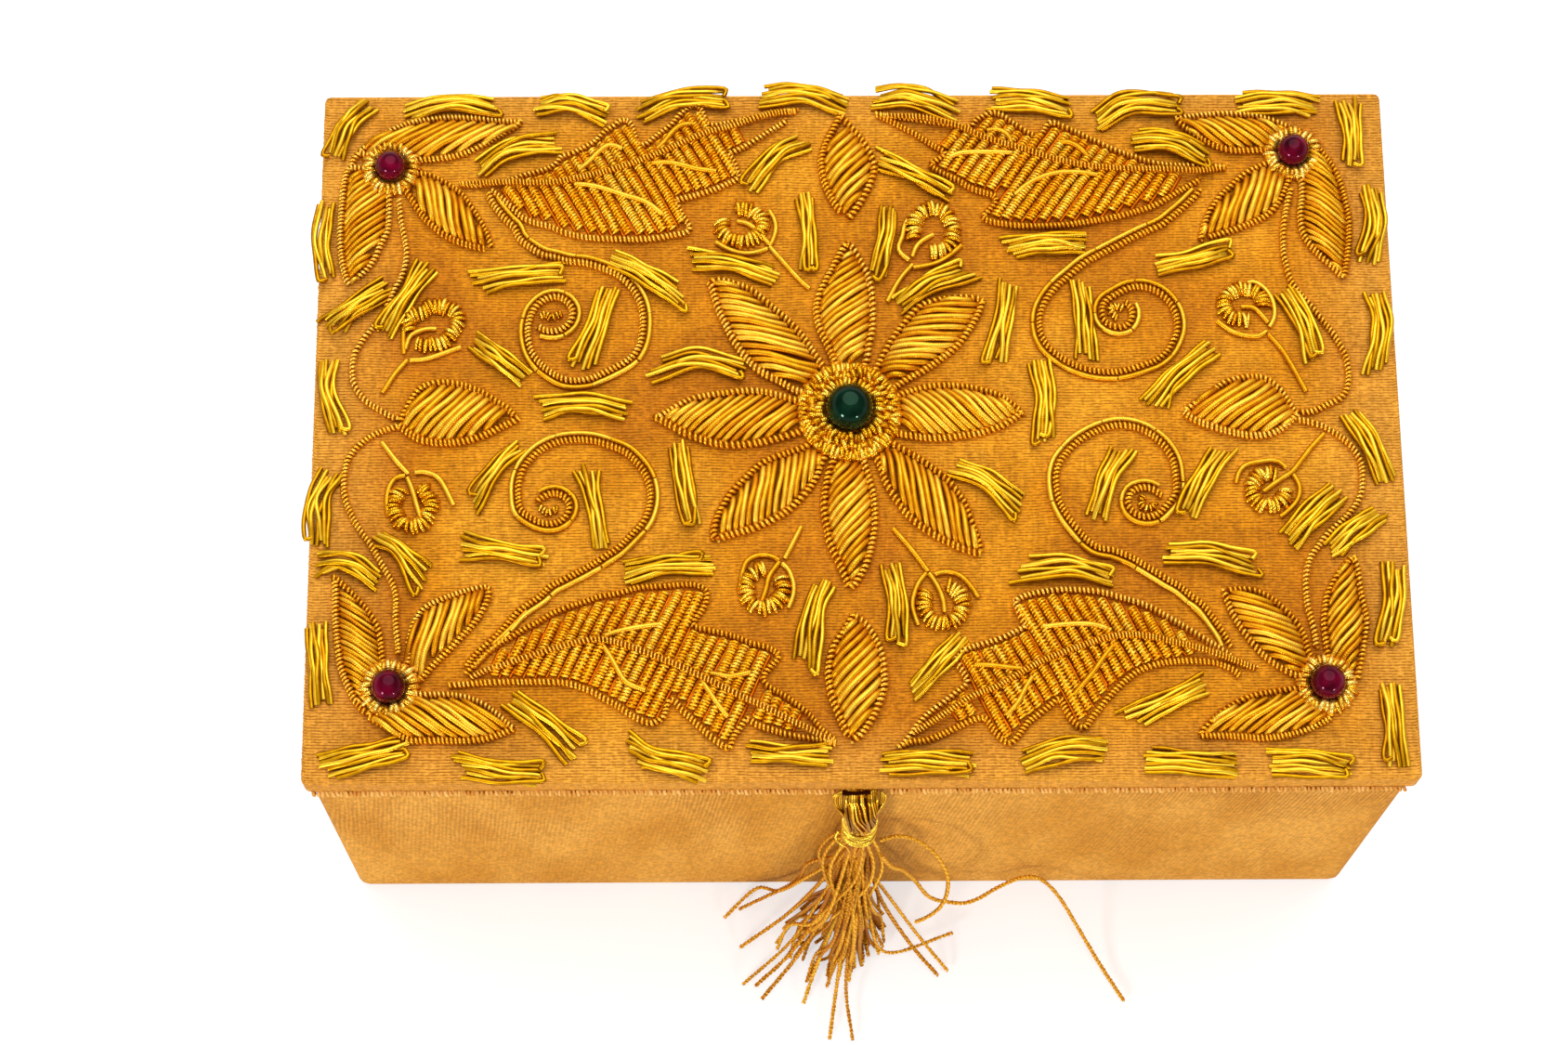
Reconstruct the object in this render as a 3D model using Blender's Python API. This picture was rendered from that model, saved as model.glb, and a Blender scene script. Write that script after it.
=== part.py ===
"""Keepsake gift box covered in tissue silk, with gold bullion embroidery and a tassel on its hinged lid.

The frame is in metres, +Z up, +X to the right and +Y to the back, with its origin at the centre of the
underside. Places on the lid are shares of its width and depth, measured from the lid's centre.
"""

import math

import bmesh
import bpy
from mathutils import Matrix, Vector

# Lid and body
LID_WIDTH = 0.152
LID_DEPTH = 0.1016
BOX_HEIGHT = 0.068
LID_THICKNESS = 0.005
LID_OVERHANG_SIDE = 0.0008
LID_OVERHANG_FRONT = 0.0005
LID_CORNER_RADIUS = 0.0015
LID_EDGE_RADIUS = 0.0009
BODY_CORNER_RADIUS = 0.0015
INNER_CORNER_SHARE = 0.5
CORNER_SEGMENTS = 4
EDGE_SEGMENTS = 2

# Sheets, boards and padding
COVER_CLOTH = 0.0005
BASE_CLOTH = 0.0006
WALL_BOARD = 0.0024
BOTTOM_BOARD = 0.0024
LID_WADDING = 0.0008
TURN_IN = 0.009
WALL_LINING = 0.002
FLOOR_PAD = 0.003
LID_LINING = 0.0016
PAD_ROUNDING = 0.0006
GAP = 0.0003
LID_LINING_CLEARANCE = 0.0005
OVERRUN = 0.001
WELD = 0.00001

# Cloth hinge across the back
HINGE_STRIP_WIDTH = 0.140
HINGE_STRIP_CLOTH = 0.0004
HINGE_WALL_LEAF = 0.012
HINGE_LID_LEAF = 0.0038
HINGE_FOLD_GAP = 0.0005

# Gold work on the lid
COIL_WIDTH = 0.00095
COIL_HEIGHT = 0.0009
STRAND_WIDTH = 0.0008
STRAND_HEIGHT = 0.0006
PETAL_RIM = 0.0009
PETAL_CROWN = 0.0006
PETAL_BORDER_SHARE = 0.35
PETAL_SHOULDER_SHARE = 0.65
LEAF_HEIGHT = 0.0011
MIDRIB_WIDTH = 0.0019
MIDRIB_HEIGHT = 0.0016
STRIP_TOP_SHARE = 0.55
DASH_WIDTH = 0.0020
DASH_HEIGHT = 0.0008
DASH_ROOT = 0.0003

# Beads and the collars of cut bullion round them
CENTRE_BEAD_RADIUS = 0.0033
CENTRE_COLLAR_RADIUS = 0.0072
CENTRE_COLLAR_HEIGHT = 0.0018
CORNER_BEAD_RADIUS = 0.0022
CORNER_COLLAR_RADIUS = 0.0042
CORNER_COLLAR_HEIGHT = 0.0015
COLLAR_CHIP_DEPTH = 0.0003
CENTRE_CHIPS = 32
CORNER_CHIPS = 20
BEAD_SEGMENTS = 16
BEAD_RINGS = 10
BEAD_FLAT_SHARE = 0.72

# Rosettes of crimped bullion
ROSETTE_RADIUS = 0.0036
ROSETTE_RING_WIDTH = 0.0017
ROSETTE_HEIGHT = 0.0014
ROSETTE_ARC_POINTS = 13
ROSETTE_MOUTH_DEGREES = 24
PRONG_OVERLAP = 0.0003
PRONG_DEGREES = 95
PRONG_POINTS = 6

# Tassel
TIE_WIDTH = 0.0064
TIE_THICKNESS = 0.0007
TIE_LENGTH = 0.0142
TIE_OUT = 0.0014
HEAD_RADIUS = 0.0024
HEAD_DROP = 0.0009
NECK_RADIUS = 0.0016
BINDING_THREAD = 0.0007
BINDING_GAP = 0.00046
BINDING_TURNS = 4
BINDING_LOOP_POINTS = 24
SKIRT_TOP_RADIUS = 0.0022
SKIRT_STRAND = 0.0009
SKIRT_STRAND_POINTS = 7
STRAY_STRAND = 0.001
STRAY_STEP = 0.0025

# Planes and faces worked out from the sizes above
LID_X = LID_WIDTH / 2
LID_Y = LID_DEPTH / 2
LID_TOP = BOX_HEIGHT
LID_UNDERSIDE = BOX_HEIGHT - LID_THICKNESS
RIM_TOP = LID_UNDERSIDE - GAP
BODY_X = LID_X - LID_OVERHANG_SIDE
BODY_FRONT = -LID_Y + LID_OVERHANG_FRONT
BODY_BACK = LID_Y
BOARD_X = BODY_X - COVER_CLOTH - GAP
BOARD_FRONT = BODY_FRONT + COVER_CLOTH + GAP
BOARD_BACK = BODY_BACK - COVER_CLOTH - GAP
INNER_X = BOARD_X - WALL_BOARD
INNER_FRONT = BOARD_FRONT + WALL_BOARD
INNER_BACK = BOARD_BACK - WALL_BOARD
BOARD_BOTTOM = BASE_CLOTH + GAP
BOARD_TOP = RIM_TOP - COVER_CLOTH - GAP
PAD_BOTTOM = BOARD_BOTTOM + BOTTOM_BOARD + GAP
LINED_X = INNER_X - GAP - WALL_LINING
LINED_FRONT = INNER_FRONT + GAP + WALL_LINING
LINED_BACK = INNER_BACK - GAP - WALL_LINING

# Embroidered outlines, as shares of the lid's width and depth
CENTRE_SHARE = (-0.009, 0.018)

CENTRE_PETAL_SHARES = {
    "petal_back": [
        (-0.025, 0.102), (-0.031, 0.121), (-0.036, 0.140), (-0.039, 0.160), (-0.039, 0.180), (-0.035, 0.200),
        (-0.029, 0.220), (-0.022, 0.240), (-0.015, 0.259), (-0.007, 0.272), (0.000, 0.263), (0.006, 0.248),
        (0.012, 0.230), (0.016, 0.210), (0.018, 0.190), (0.018, 0.165), (0.017, 0.140), (0.014, 0.120),
        (0.012, 0.101)],
    "petal_back_right": [
        (0.023, 0.107), (0.028, 0.122), (0.035, 0.138), (0.043, 0.154), (0.052, 0.169), (0.062, 0.181),
        (0.075, 0.188), (0.090, 0.191), (0.105, 0.192), (0.119, 0.186), (0.118, 0.170), (0.112, 0.153),
        (0.105, 0.136), (0.096, 0.118), (0.086, 0.104), (0.074, 0.090), (0.062, 0.078), (0.051, 0.069),
        (0.042, 0.060)],
    "petal_right": [
        (0.044, 0.050), (0.055, 0.057), (0.070, 0.061), (0.086, 0.062), (0.101, 0.060), (0.116, 0.055),
        (0.131, 0.047), (0.143, 0.036), (0.153, 0.017), (0.145, 0.006), (0.134, -0.003), (0.122, -0.010),
        (0.108, -0.016), (0.094, -0.020), (0.079, -0.022), (0.064, -0.022), (0.052, -0.020), (0.043, -0.017)],
    "petal_front_right": [
        (0.039, -0.029), (0.050, -0.038), (0.062, -0.050), (0.073, -0.063), (0.082, -0.076), (0.090, -0.090),
        (0.096, -0.105), (0.101, -0.122), (0.105, -0.141), (0.109, -0.159), (0.111, -0.182), (0.100, -0.184),
        (0.088, -0.177), (0.075, -0.168), (0.063, -0.157), (0.052, -0.145), (0.042, -0.130), (0.035, -0.115),
        (0.028, -0.098), (0.022, -0.080), (0.019, -0.062)],
    "petal_front": [
        (-0.029, -0.066), (-0.032, -0.085), (-0.034, -0.105), (-0.034, -0.125), (-0.032, -0.145),
        (-0.029, -0.165), (-0.025, -0.185), (-0.019, -0.205), (-0.014, -0.222), (-0.007, -0.233),
        (0.001, -0.220), (0.008, -0.200), (0.012, -0.180), (0.015, -0.160), (0.017, -0.140), (0.017, -0.120),
        (0.016, -0.100), (0.013, -0.080), (0.010, -0.064)],
    "petal_front_left": [
        (-0.053, -0.032), (-0.067, -0.038), (-0.081, -0.045), (-0.094, -0.056), (-0.104, -0.069),
        (-0.114, -0.085), (-0.122, -0.102), (-0.129, -0.121), (-0.133, -0.140), (-0.134, -0.163),
        (-0.116, -0.159), (-0.101, -0.153), (-0.088, -0.146), (-0.075, -0.136), (-0.063, -0.124),
        (-0.053, -0.109), (-0.044, -0.093), (-0.038, -0.077), (-0.034, -0.062)],
    "petal_left": [
        (-0.063, 0.042), (-0.074, 0.049), (-0.089, 0.054), (-0.106, 0.055), (-0.123, 0.052), (-0.140, 0.047),
        (-0.155, 0.041), (-0.169, 0.031), (-0.187, 0.013), (-0.173, -0.001), (-0.160, -0.013),
        (-0.146, -0.022), (-0.131, -0.028), (-0.115, -0.030), (-0.100, -0.029), (-0.086, -0.026),
        (-0.072, -0.021), (-0.060, -0.015)],
    "petal_back_left": [
        (-0.034, 0.098), (-0.041, 0.115), (-0.049, 0.134), (-0.059, 0.152), (-0.071, 0.170), (-0.083, 0.187),
        (-0.095, 0.202), (-0.108, 0.212), (-0.121, 0.218), (-0.136, 0.217), (-0.135, 0.200), (-0.132, 0.182),
        (-0.128, 0.164), (-0.123, 0.147), (-0.118, 0.130), (-0.112, 0.115), (-0.105, 0.100), (-0.096, 0.085),
        (-0.085, 0.073), (-0.073, 0.062), (-0.062, 0.052)],
}

ALMOND_SHARES = {
    "almond_leaf_back": [
        (-0.012, 0.467), (-0.018, 0.455), (-0.023, 0.440), (-0.029, 0.421), (-0.033, 0.400), (-0.033, 0.380),
        (-0.030, 0.360), (-0.025, 0.340), (-0.019, 0.323), (-0.007, 0.306), (0.002, 0.318), (0.008, 0.331),
        (0.014, 0.347), (0.018, 0.364), (0.020, 0.381), (0.019, 0.398), (0.015, 0.413), (0.009, 0.428),
        (0.003, 0.442), (-0.004, 0.456)],
    "almond_leaf_front": [
        (-0.004, -0.270), (-0.013, -0.280), (-0.019, -0.295), (-0.026, -0.312), (-0.030, -0.331),
        (-0.032, -0.351), (-0.031, -0.371), (-0.028, -0.391), (-0.023, -0.410), (-0.017, -0.428),
        (-0.009, -0.446), (0.001, -0.437), (0.008, -0.423), (0.014, -0.408), (0.019, -0.390), (0.023, -0.370),
        (0.023, -0.350), (0.022, -0.330), (0.018, -0.311), (0.012, -0.293)],
}

SERRATED_LEAF_SHARES = {
    "back_left": [
        (-0.368, 0.362), (-0.352, 0.361), (-0.335, 0.364), (-0.318, 0.370), (-0.302, 0.379), (-0.288, 0.389),
        (-0.276, 0.402), (-0.262, 0.410), (-0.248, 0.423), (-0.236, 0.438), (-0.221, 0.456), (-0.211, 0.454),
        (-0.206, 0.436), (-0.202, 0.420), (-0.188, 0.430), (-0.175, 0.447), (-0.164, 0.466), (-0.152, 0.480),
        (-0.144, 0.474), (-0.139, 0.453), (-0.122, 0.453), (-0.103, 0.459), (-0.082, 0.466), (-0.053, 0.471),
        (-0.066, 0.456), (-0.084, 0.435), (-0.100, 0.420), (-0.117, 0.407), (-0.112, 0.390), (-0.108, 0.372),
        (-0.122, 0.360), (-0.140, 0.347), (-0.167, 0.336), (-0.163, 0.318), (-0.156, 0.291), (-0.172, 0.283),
        (-0.195, 0.278), (-0.220, 0.277), (-0.245, 0.280), (-0.270, 0.286), (-0.293, 0.298), (-0.314, 0.315),
        (-0.330, 0.338), (-0.342, 0.354)],
    "back_right": [
        (0.342, 0.378), (0.324, 0.385), (0.305, 0.387), (0.288, 0.389), (0.272, 0.396), (0.258, 0.404),
        (0.245, 0.411), (0.230, 0.422), (0.215, 0.434), (0.202, 0.444), (0.189, 0.452), (0.181, 0.444),
        (0.173, 0.431), (0.160, 0.442), (0.148, 0.455), (0.132, 0.467), (0.121, 0.460), (0.108, 0.446),
        (0.088, 0.452), (0.062, 0.460), (0.028, 0.465), (0.046, 0.446), (0.060, 0.433), (0.073, 0.419),
        (0.087, 0.404), (0.082, 0.388), (0.097, 0.365), (0.112, 0.351), (0.131, 0.341), (0.129, 0.328),
        (0.121, 0.311), (0.138, 0.299), (0.160, 0.295), (0.182, 0.295), (0.203, 0.298), (0.223, 0.303),
        (0.243, 0.309), (0.262, 0.316), (0.280, 0.326), (0.295, 0.339), (0.310, 0.353), (0.325, 0.366)],
    "front_left": [
        (-0.368, -0.364), (-0.352, -0.349), (-0.343, -0.333), (-0.332, -0.318), (-0.318, -0.304),
        (-0.303, -0.289), (-0.288, -0.275), (-0.271, -0.262), (-0.252, -0.252), (-0.232, -0.242),
        (-0.210, -0.234), (-0.188, -0.229), (-0.165, -0.227), (-0.141, -0.232), (-0.142, -0.256),
        (-0.149, -0.284), (-0.130, -0.293), (-0.109, -0.303), (-0.090, -0.312), (-0.076, -0.323),
        (-0.081, -0.340), (-0.088, -0.356), (-0.072, -0.380), (-0.056, -0.397), (-0.043, -0.416),
        (-0.027, -0.446), (-0.048, -0.441), (-0.066, -0.437), (-0.084, -0.428), (-0.101, -0.415),
        (-0.109, -0.430), (-0.120, -0.452), (-0.134, -0.441), (-0.150, -0.418), (-0.168, -0.389),
        (-0.176, -0.402), (-0.188, -0.419), (-0.207, -0.408), (-0.228, -0.388), (-0.248, -0.371),
        (-0.270, -0.363), (-0.300, -0.361), (-0.335, -0.362)],
    "front_right": [
        (0.352, -0.352), (0.340, -0.340), (0.326, -0.323), (0.310, -0.306), (0.295, -0.291), (0.280, -0.277),
        (0.263, -0.262), (0.246, -0.253), (0.230, -0.245), (0.213, -0.239), (0.193, -0.236), (0.171, -0.238),
        (0.151, -0.244), (0.141, -0.254), (0.145, -0.273), (0.149, -0.289), (0.131, -0.301), (0.112, -0.311),
        (0.086, -0.326), (0.088, -0.342), (0.096, -0.364), (0.083, -0.382), (0.069, -0.397), (0.056, -0.413),
        (0.045, -0.432), (0.034, -0.452), (0.052, -0.446), (0.070, -0.438), (0.087, -0.427), (0.104, -0.414),
        (0.114, -0.425), (0.131, -0.449), (0.141, -0.437), (0.153, -0.418), (0.166, -0.402), (0.178, -0.389),
        (0.185, -0.407), (0.198, -0.429), (0.208, -0.411), (0.222, -0.386), (0.236, -0.366), (0.252, -0.349),
        (0.272, -0.339), (0.300, -0.337), (0.325, -0.343)],
}

MIDRIB_SHARES = {
    "back_left": [
        (-0.350, 0.361), (-0.320, 0.360), (-0.280, 0.361), (-0.240, 0.373), (-0.200, 0.393), (-0.160, 0.420),
        (-0.125, 0.440), (-0.095, 0.456), (-0.070, 0.467)],
    "back_right": [
        (0.330, 0.377), (0.300, 0.376), (0.260, 0.377), (0.220, 0.383), (0.180, 0.397), (0.140, 0.417),
        (0.110, 0.436), (0.080, 0.450), (0.050, 0.460)],
    "front_left": [
        (-0.345, -0.352), (-0.320, -0.340), (-0.285, -0.323), (-0.255, -0.310), (-0.225, -0.308),
        (-0.195, -0.323), (-0.165, -0.342), (-0.135, -0.364), (-0.105, -0.387), (-0.075, -0.410),
        (-0.048, -0.431)],
    "front_right": [
        (0.335, -0.337), (0.300, -0.320), (0.265, -0.306), (0.225, -0.306), (0.190, -0.323), (0.160, -0.341),
        (0.130, -0.366), (0.105, -0.383), (0.080, -0.405), (0.055, -0.430)],
}

SCROLL_SHARES = {
    "back_left": [
        (-0.336, 0.353), (-0.340, 0.338), (-0.335, 0.320), (-0.326, 0.302), (-0.316, 0.284), (-0.304, 0.266),
        (-0.289, 0.253), (-0.270, 0.246), (-0.250, 0.241), (-0.232, 0.231), (-0.218, 0.217), (-0.207, 0.200),
        (-0.200, 0.181), (-0.198, 0.160), (-0.198, 0.139), (-0.202, 0.120), (-0.209, 0.103), (-0.221, 0.087),
        (-0.237, 0.075), (-0.256, 0.068), (-0.274, 0.072), (-0.289, 0.088), (-0.299, 0.107), (-0.304, 0.129),
        (-0.303, 0.151), (-0.297, 0.171), (-0.285, 0.186), (-0.272, 0.187), (-0.264, 0.174), (-0.264, 0.159),
        (-0.271, 0.147), (-0.282, 0.141)],
    "back_right": [
        (0.318, 0.370), (0.326, 0.352), (0.318, 0.336), (0.306, 0.320), (0.292, 0.304), (0.275, 0.290),
        (0.258, 0.275), (0.240, 0.260), (0.222, 0.246), (0.205, 0.228), (0.190, 0.208), (0.179, 0.187),
        (0.172, 0.166), (0.170, 0.145), (0.173, 0.125), (0.182, 0.107), (0.196, 0.092), (0.212, 0.082),
        (0.230, 0.077), (0.249, 0.081), (0.267, 0.089), (0.282, 0.101), (0.292, 0.119), (0.297, 0.140),
        (0.296, 0.162), (0.290, 0.182), (0.278, 0.198), (0.262, 0.203), (0.247, 0.197), (0.234, 0.184),
        (0.228, 0.166), (0.234, 0.150), (0.244, 0.144), (0.254, 0.154), (0.255, 0.168)],
    "front_left": [
        (-0.339, -0.330), (-0.332, -0.306), (-0.320, -0.284), (-0.306, -0.265), (-0.291, -0.244),
        (-0.274, -0.222), (-0.255, -0.207), (-0.237, -0.191), (-0.220, -0.174), (-0.207, -0.154),
        (-0.196, -0.134), (-0.191, -0.112), (-0.191, -0.089), (-0.197, -0.066), (-0.208, -0.044),
        (-0.224, -0.029), (-0.243, -0.020), (-0.263, -0.019), (-0.282, -0.026), (-0.298, -0.043),
        (-0.308, -0.065), (-0.310, -0.090), (-0.307, -0.114), (-0.294, -0.133), (-0.277, -0.138),
        (-0.265, -0.125), (-0.265, -0.108), (-0.275, -0.098), (-0.287, -0.101)],
    "front_right": [
        (0.320, -0.322), (0.316, -0.290), (0.305, -0.264), (0.294, -0.243), (0.279, -0.224), (0.264, -0.207),
        (0.248, -0.193), (0.230, -0.181), (0.214, -0.172), (0.201, -0.155), (0.190, -0.133), (0.183, -0.110),
        (0.180, -0.087), (0.183, -0.062), (0.192, -0.039), (0.207, -0.019), (0.225, -0.006), (0.244, -0.002),
        (0.261, -0.008), (0.275, -0.023), (0.285, -0.044), (0.290, -0.067), (0.289, -0.092), (0.281, -0.114),
        (0.268, -0.131), (0.253, -0.128), (0.246, -0.113), (0.249, -0.098), (0.261, -0.091), (0.273, -0.097)],
}

SIDE_VINE_SHARES = {
    "left": [
        [(-0.425, 0.325), (-0.422, 0.300), (-0.419, 0.275), (-0.418, 0.250), (-0.422, 0.223), (-0.430, 0.200),
         (-0.438, 0.170), (-0.448, 0.146), (-0.458, 0.124), (-0.465, 0.100), (-0.465, 0.075), (-0.458, 0.051),
         (-0.444, 0.031), (-0.430, 0.017), (-0.415, 0.008)],
        [(-0.415, 0.004), (-0.432, -0.002), (-0.447, -0.013), (-0.459, -0.029), (-0.467, -0.048),
         (-0.470, -0.071), (-0.468, -0.095), (-0.463, -0.119), (-0.454, -0.145), (-0.444, -0.167),
         (-0.435, -0.190), (-0.426, -0.213), (-0.420, -0.238), (-0.418, -0.265), (-0.417, -0.290),
         (-0.416, -0.310)]],
    "right": [
        [(0.408, 0.345), (0.404, 0.322), (0.401, 0.298), (0.400, 0.272), (0.401, 0.245), (0.405, 0.216),
         (0.414, 0.190), (0.425, 0.167), (0.437, 0.144), (0.447, 0.118), (0.453, 0.092), (0.454, 0.066),
         (0.447, 0.043), (0.433, 0.028), (0.417, 0.018), (0.400, 0.014)],
        [(0.400, 0.009), (0.417, 0.003), (0.434, -0.009), (0.448, -0.025), (0.457, -0.044), (0.461, -0.068),
         (0.459, -0.096), (0.450, -0.125), (0.437, -0.145), (0.423, -0.164), (0.412, -0.188),
         (0.405, -0.213), (0.404, -0.240), (0.405, -0.265), (0.408, -0.288), (0.410, -0.312)]],
}

SIDE_ALMOND_SHARES = {
    "left": [
        (-0.421, 0.006), (-0.416, 0.030), (-0.409, 0.050), (-0.400, 0.063), (-0.386, 0.069), (-0.372, 0.068),
        (-0.358, 0.063), (-0.344, 0.053), (-0.331, 0.041), (-0.320, 0.029), (-0.311, 0.014), (-0.320, 0.001),
        (-0.332, -0.008), (-0.346, -0.018), (-0.361, -0.025), (-0.377, -0.027), (-0.392, -0.024),
        (-0.406, -0.015)],
    "right": [
        (0.406, 0.012), (0.402, 0.026), (0.395, 0.043), (0.386, 0.059), (0.374, 0.070), (0.360, 0.073),
        (0.346, 0.068), (0.333, 0.059), (0.320, 0.045), (0.309, 0.032), (0.300, 0.017), (0.312, 0.000),
        (0.325, -0.008), (0.338, -0.014), (0.352, -0.019), (0.367, -0.020), (0.381, -0.016), (0.392, -0.007),
        (0.400, 0.002)],
}

CORNER_BEAD_SHARES = {
    "back_left": (-0.435, 0.386),
    "back_right": (0.412, 0.406),
    "front_left": (-0.423, -0.370),
    "front_right": (0.417, -0.370),
}

CORNER_PETAL_SHARES = {
    "back_left": [
        [(-0.452, 0.406), (-0.438, 0.416), (-0.424, 0.412), (-0.414, 0.398), (-0.397, 0.397), (-0.380, 0.399),
         (-0.365, 0.405), (-0.350, 0.416), (-0.335, 0.430), (-0.322, 0.443), (-0.313, 0.456),
         (-0.340, 0.463), (-0.360, 0.466), (-0.380, 0.467), (-0.400, 0.464), (-0.420, 0.457),
         (-0.438, 0.445), (-0.453, 0.430), (-0.463, 0.415)],
        [(-0.457, 0.385), (-0.474, 0.390), (-0.480, 0.370), (-0.482, 0.340), (-0.483, 0.310), (-0.483, 0.280),
         (-0.481, 0.250), (-0.478, 0.230), (-0.473, 0.210), (-0.462, 0.218), (-0.452, 0.233),
         (-0.445, 0.250), (-0.440, 0.270), (-0.435, 0.290), (-0.433, 0.310), (-0.432, 0.332),
         (-0.437, 0.356), (-0.449, 0.366)],
        [(-0.413, 0.378), (-0.400, 0.379), (-0.389, 0.373), (-0.375, 0.360), (-0.365, 0.347), (-0.357, 0.330),
         (-0.350, 0.313), (-0.343, 0.293), (-0.337, 0.268), (-0.354, 0.263), (-0.370, 0.270),
         (-0.384, 0.281), (-0.396, 0.295), (-0.405, 0.310), (-0.413, 0.328), (-0.420, 0.345),
         (-0.424, 0.360)]],
    "back_right": [
        [(0.391, 0.404), (0.373, 0.405), (0.360, 0.405), (0.348, 0.408), (0.335, 0.417), (0.323, 0.428),
         (0.312, 0.440), (0.303, 0.456), (0.315, 0.464), (0.331, 0.467), (0.347, 0.469), (0.363, 0.468),
         (0.380, 0.466), (0.394, 0.460), (0.407, 0.452), (0.418, 0.442), (0.412, 0.433), (0.399, 0.428)],
        [(0.433, 0.407), (0.442, 0.410), (0.450, 0.392), (0.456, 0.375), (0.460, 0.355), (0.463, 0.330),
         (0.465, 0.310), (0.465, 0.290), (0.464, 0.270), (0.462, 0.250), (0.459, 0.231), (0.455, 0.214),
         (0.446, 0.225), (0.437, 0.238), (0.429, 0.250), (0.422, 0.265), (0.418, 0.280), (0.416, 0.297),
         (0.417, 0.315), (0.418, 0.335), (0.419, 0.356), (0.421, 0.382)],
        [(0.391, 0.396), (0.378, 0.388), (0.365, 0.375), (0.353, 0.360), (0.344, 0.346), (0.337, 0.333),
         (0.331, 0.320), (0.327, 0.306), (0.323, 0.290), (0.321, 0.274), (0.336, 0.275), (0.351, 0.282),
         (0.364, 0.290), (0.375, 0.297), (0.384, 0.305), (0.392, 0.315), (0.398, 0.328), (0.402, 0.343),
         (0.405, 0.360), (0.405, 0.376)]],
    "front_left": [
        [(-0.443, -0.361), (-0.432, -0.345), (-0.430, -0.320), (-0.430, -0.305), (-0.431, -0.290),
         (-0.436, -0.273), (-0.443, -0.258), (-0.451, -0.244), (-0.460, -0.230), (-0.468, -0.218),
         (-0.477, -0.211), (-0.476, -0.240), (-0.476, -0.270), (-0.475, -0.300), (-0.471, -0.330),
         (-0.466, -0.355), (-0.459, -0.377), (-0.450, -0.390), (-0.441, -0.380)],
        [(-0.405, -0.383), (-0.392, -0.376), (-0.378, -0.375), (-0.365, -0.376), (-0.352, -0.380),
         (-0.340, -0.387), (-0.330, -0.397), (-0.321, -0.408), (-0.310, -0.424), (-0.322, -0.438),
         (-0.338, -0.444), (-0.355, -0.446), (-0.373, -0.446), (-0.390, -0.446), (-0.404, -0.444),
         (-0.420, -0.432), (-0.432, -0.420), (-0.432, -0.402), (-0.418, -0.398)],
        [(-0.412, -0.345), (-0.409, -0.328), (-0.408, -0.308), (-0.406, -0.290), (-0.403, -0.275),
         (-0.397, -0.260), (-0.389, -0.250), (-0.379, -0.242), (-0.369, -0.236), (-0.358, -0.230),
         (-0.346, -0.226), (-0.333, -0.227), (-0.334, -0.245), (-0.338, -0.260), (-0.344, -0.276),
         (-0.351, -0.290), (-0.360, -0.305), (-0.369, -0.320), (-0.379, -0.335), (-0.388, -0.348),
         (-0.400, -0.361)]],
    "front_right": [
        [(0.396, -0.376), (0.385, -0.376), (0.372, -0.376), (0.360, -0.379), (0.347, -0.384), (0.335, -0.392),
         (0.325, -0.401), (0.315, -0.413), (0.308, -0.423), (0.302, -0.438), (0.322, -0.446),
         (0.340, -0.447), (0.356, -0.448), (0.371, -0.447), (0.385, -0.443), (0.398, -0.437),
         (0.410, -0.428), (0.420, -0.419), (0.419, -0.400), (0.405, -0.393)],
        [(0.401, -0.354), (0.389, -0.361), (0.379, -0.353), (0.369, -0.343), (0.359, -0.330), (0.351, -0.315),
         (0.344, -0.300), (0.338, -0.285), (0.333, -0.270), (0.330, -0.255), (0.328, -0.237),
         (0.342, -0.233), (0.355, -0.234), (0.366, -0.240), (0.376, -0.250), (0.384, -0.262),
         (0.391, -0.275), (0.398, -0.290), (0.402, -0.306), (0.404, -0.323), (0.408, -0.342)],
        [(0.424, -0.343), (0.418, -0.325), (0.416, -0.300), (0.416, -0.280), (0.418, -0.260), (0.420, -0.245),
         (0.425, -0.230), (0.431, -0.215), (0.438, -0.202), (0.447, -0.192), (0.454, -0.205),
         (0.455, -0.220), (0.456, -0.240), (0.458, -0.260), (0.459, -0.280), (0.458, -0.300),
         (0.455, -0.320), (0.452, -0.340), (0.446, -0.360), (0.436, -0.362)]],
}

ROSETTE_SHARES = {
    "rosette_left_back": [(-0.390, 0.150), (-0.414, 0.101), (-0.437, 0.051)],
    "rosette_left_front": [(-0.406, -0.112), (-0.412, -0.067), (-0.434, -0.026)],
    "rosette_back_left": [(-0.106, 0.299), (-0.080, 0.265), (-0.047, 0.208)],
    "rosette_back_right": [(0.074, 0.289), (0.052, 0.243), (0.030, 0.185)],
    "rosette_front_left": [(-0.085, -0.230), (-0.070, -0.191), (-0.053, -0.147)],
    "rosette_front_right": [(0.077, -0.253), (0.063, -0.209), (0.032, -0.150)],
    "rosette_right_back": [(0.360, 0.175), (0.383, 0.138), (0.414, 0.050)],
    "rosette_right_front": [(0.375, -0.096), (0.396, -0.067), (0.425, -0.020)],
}

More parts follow.
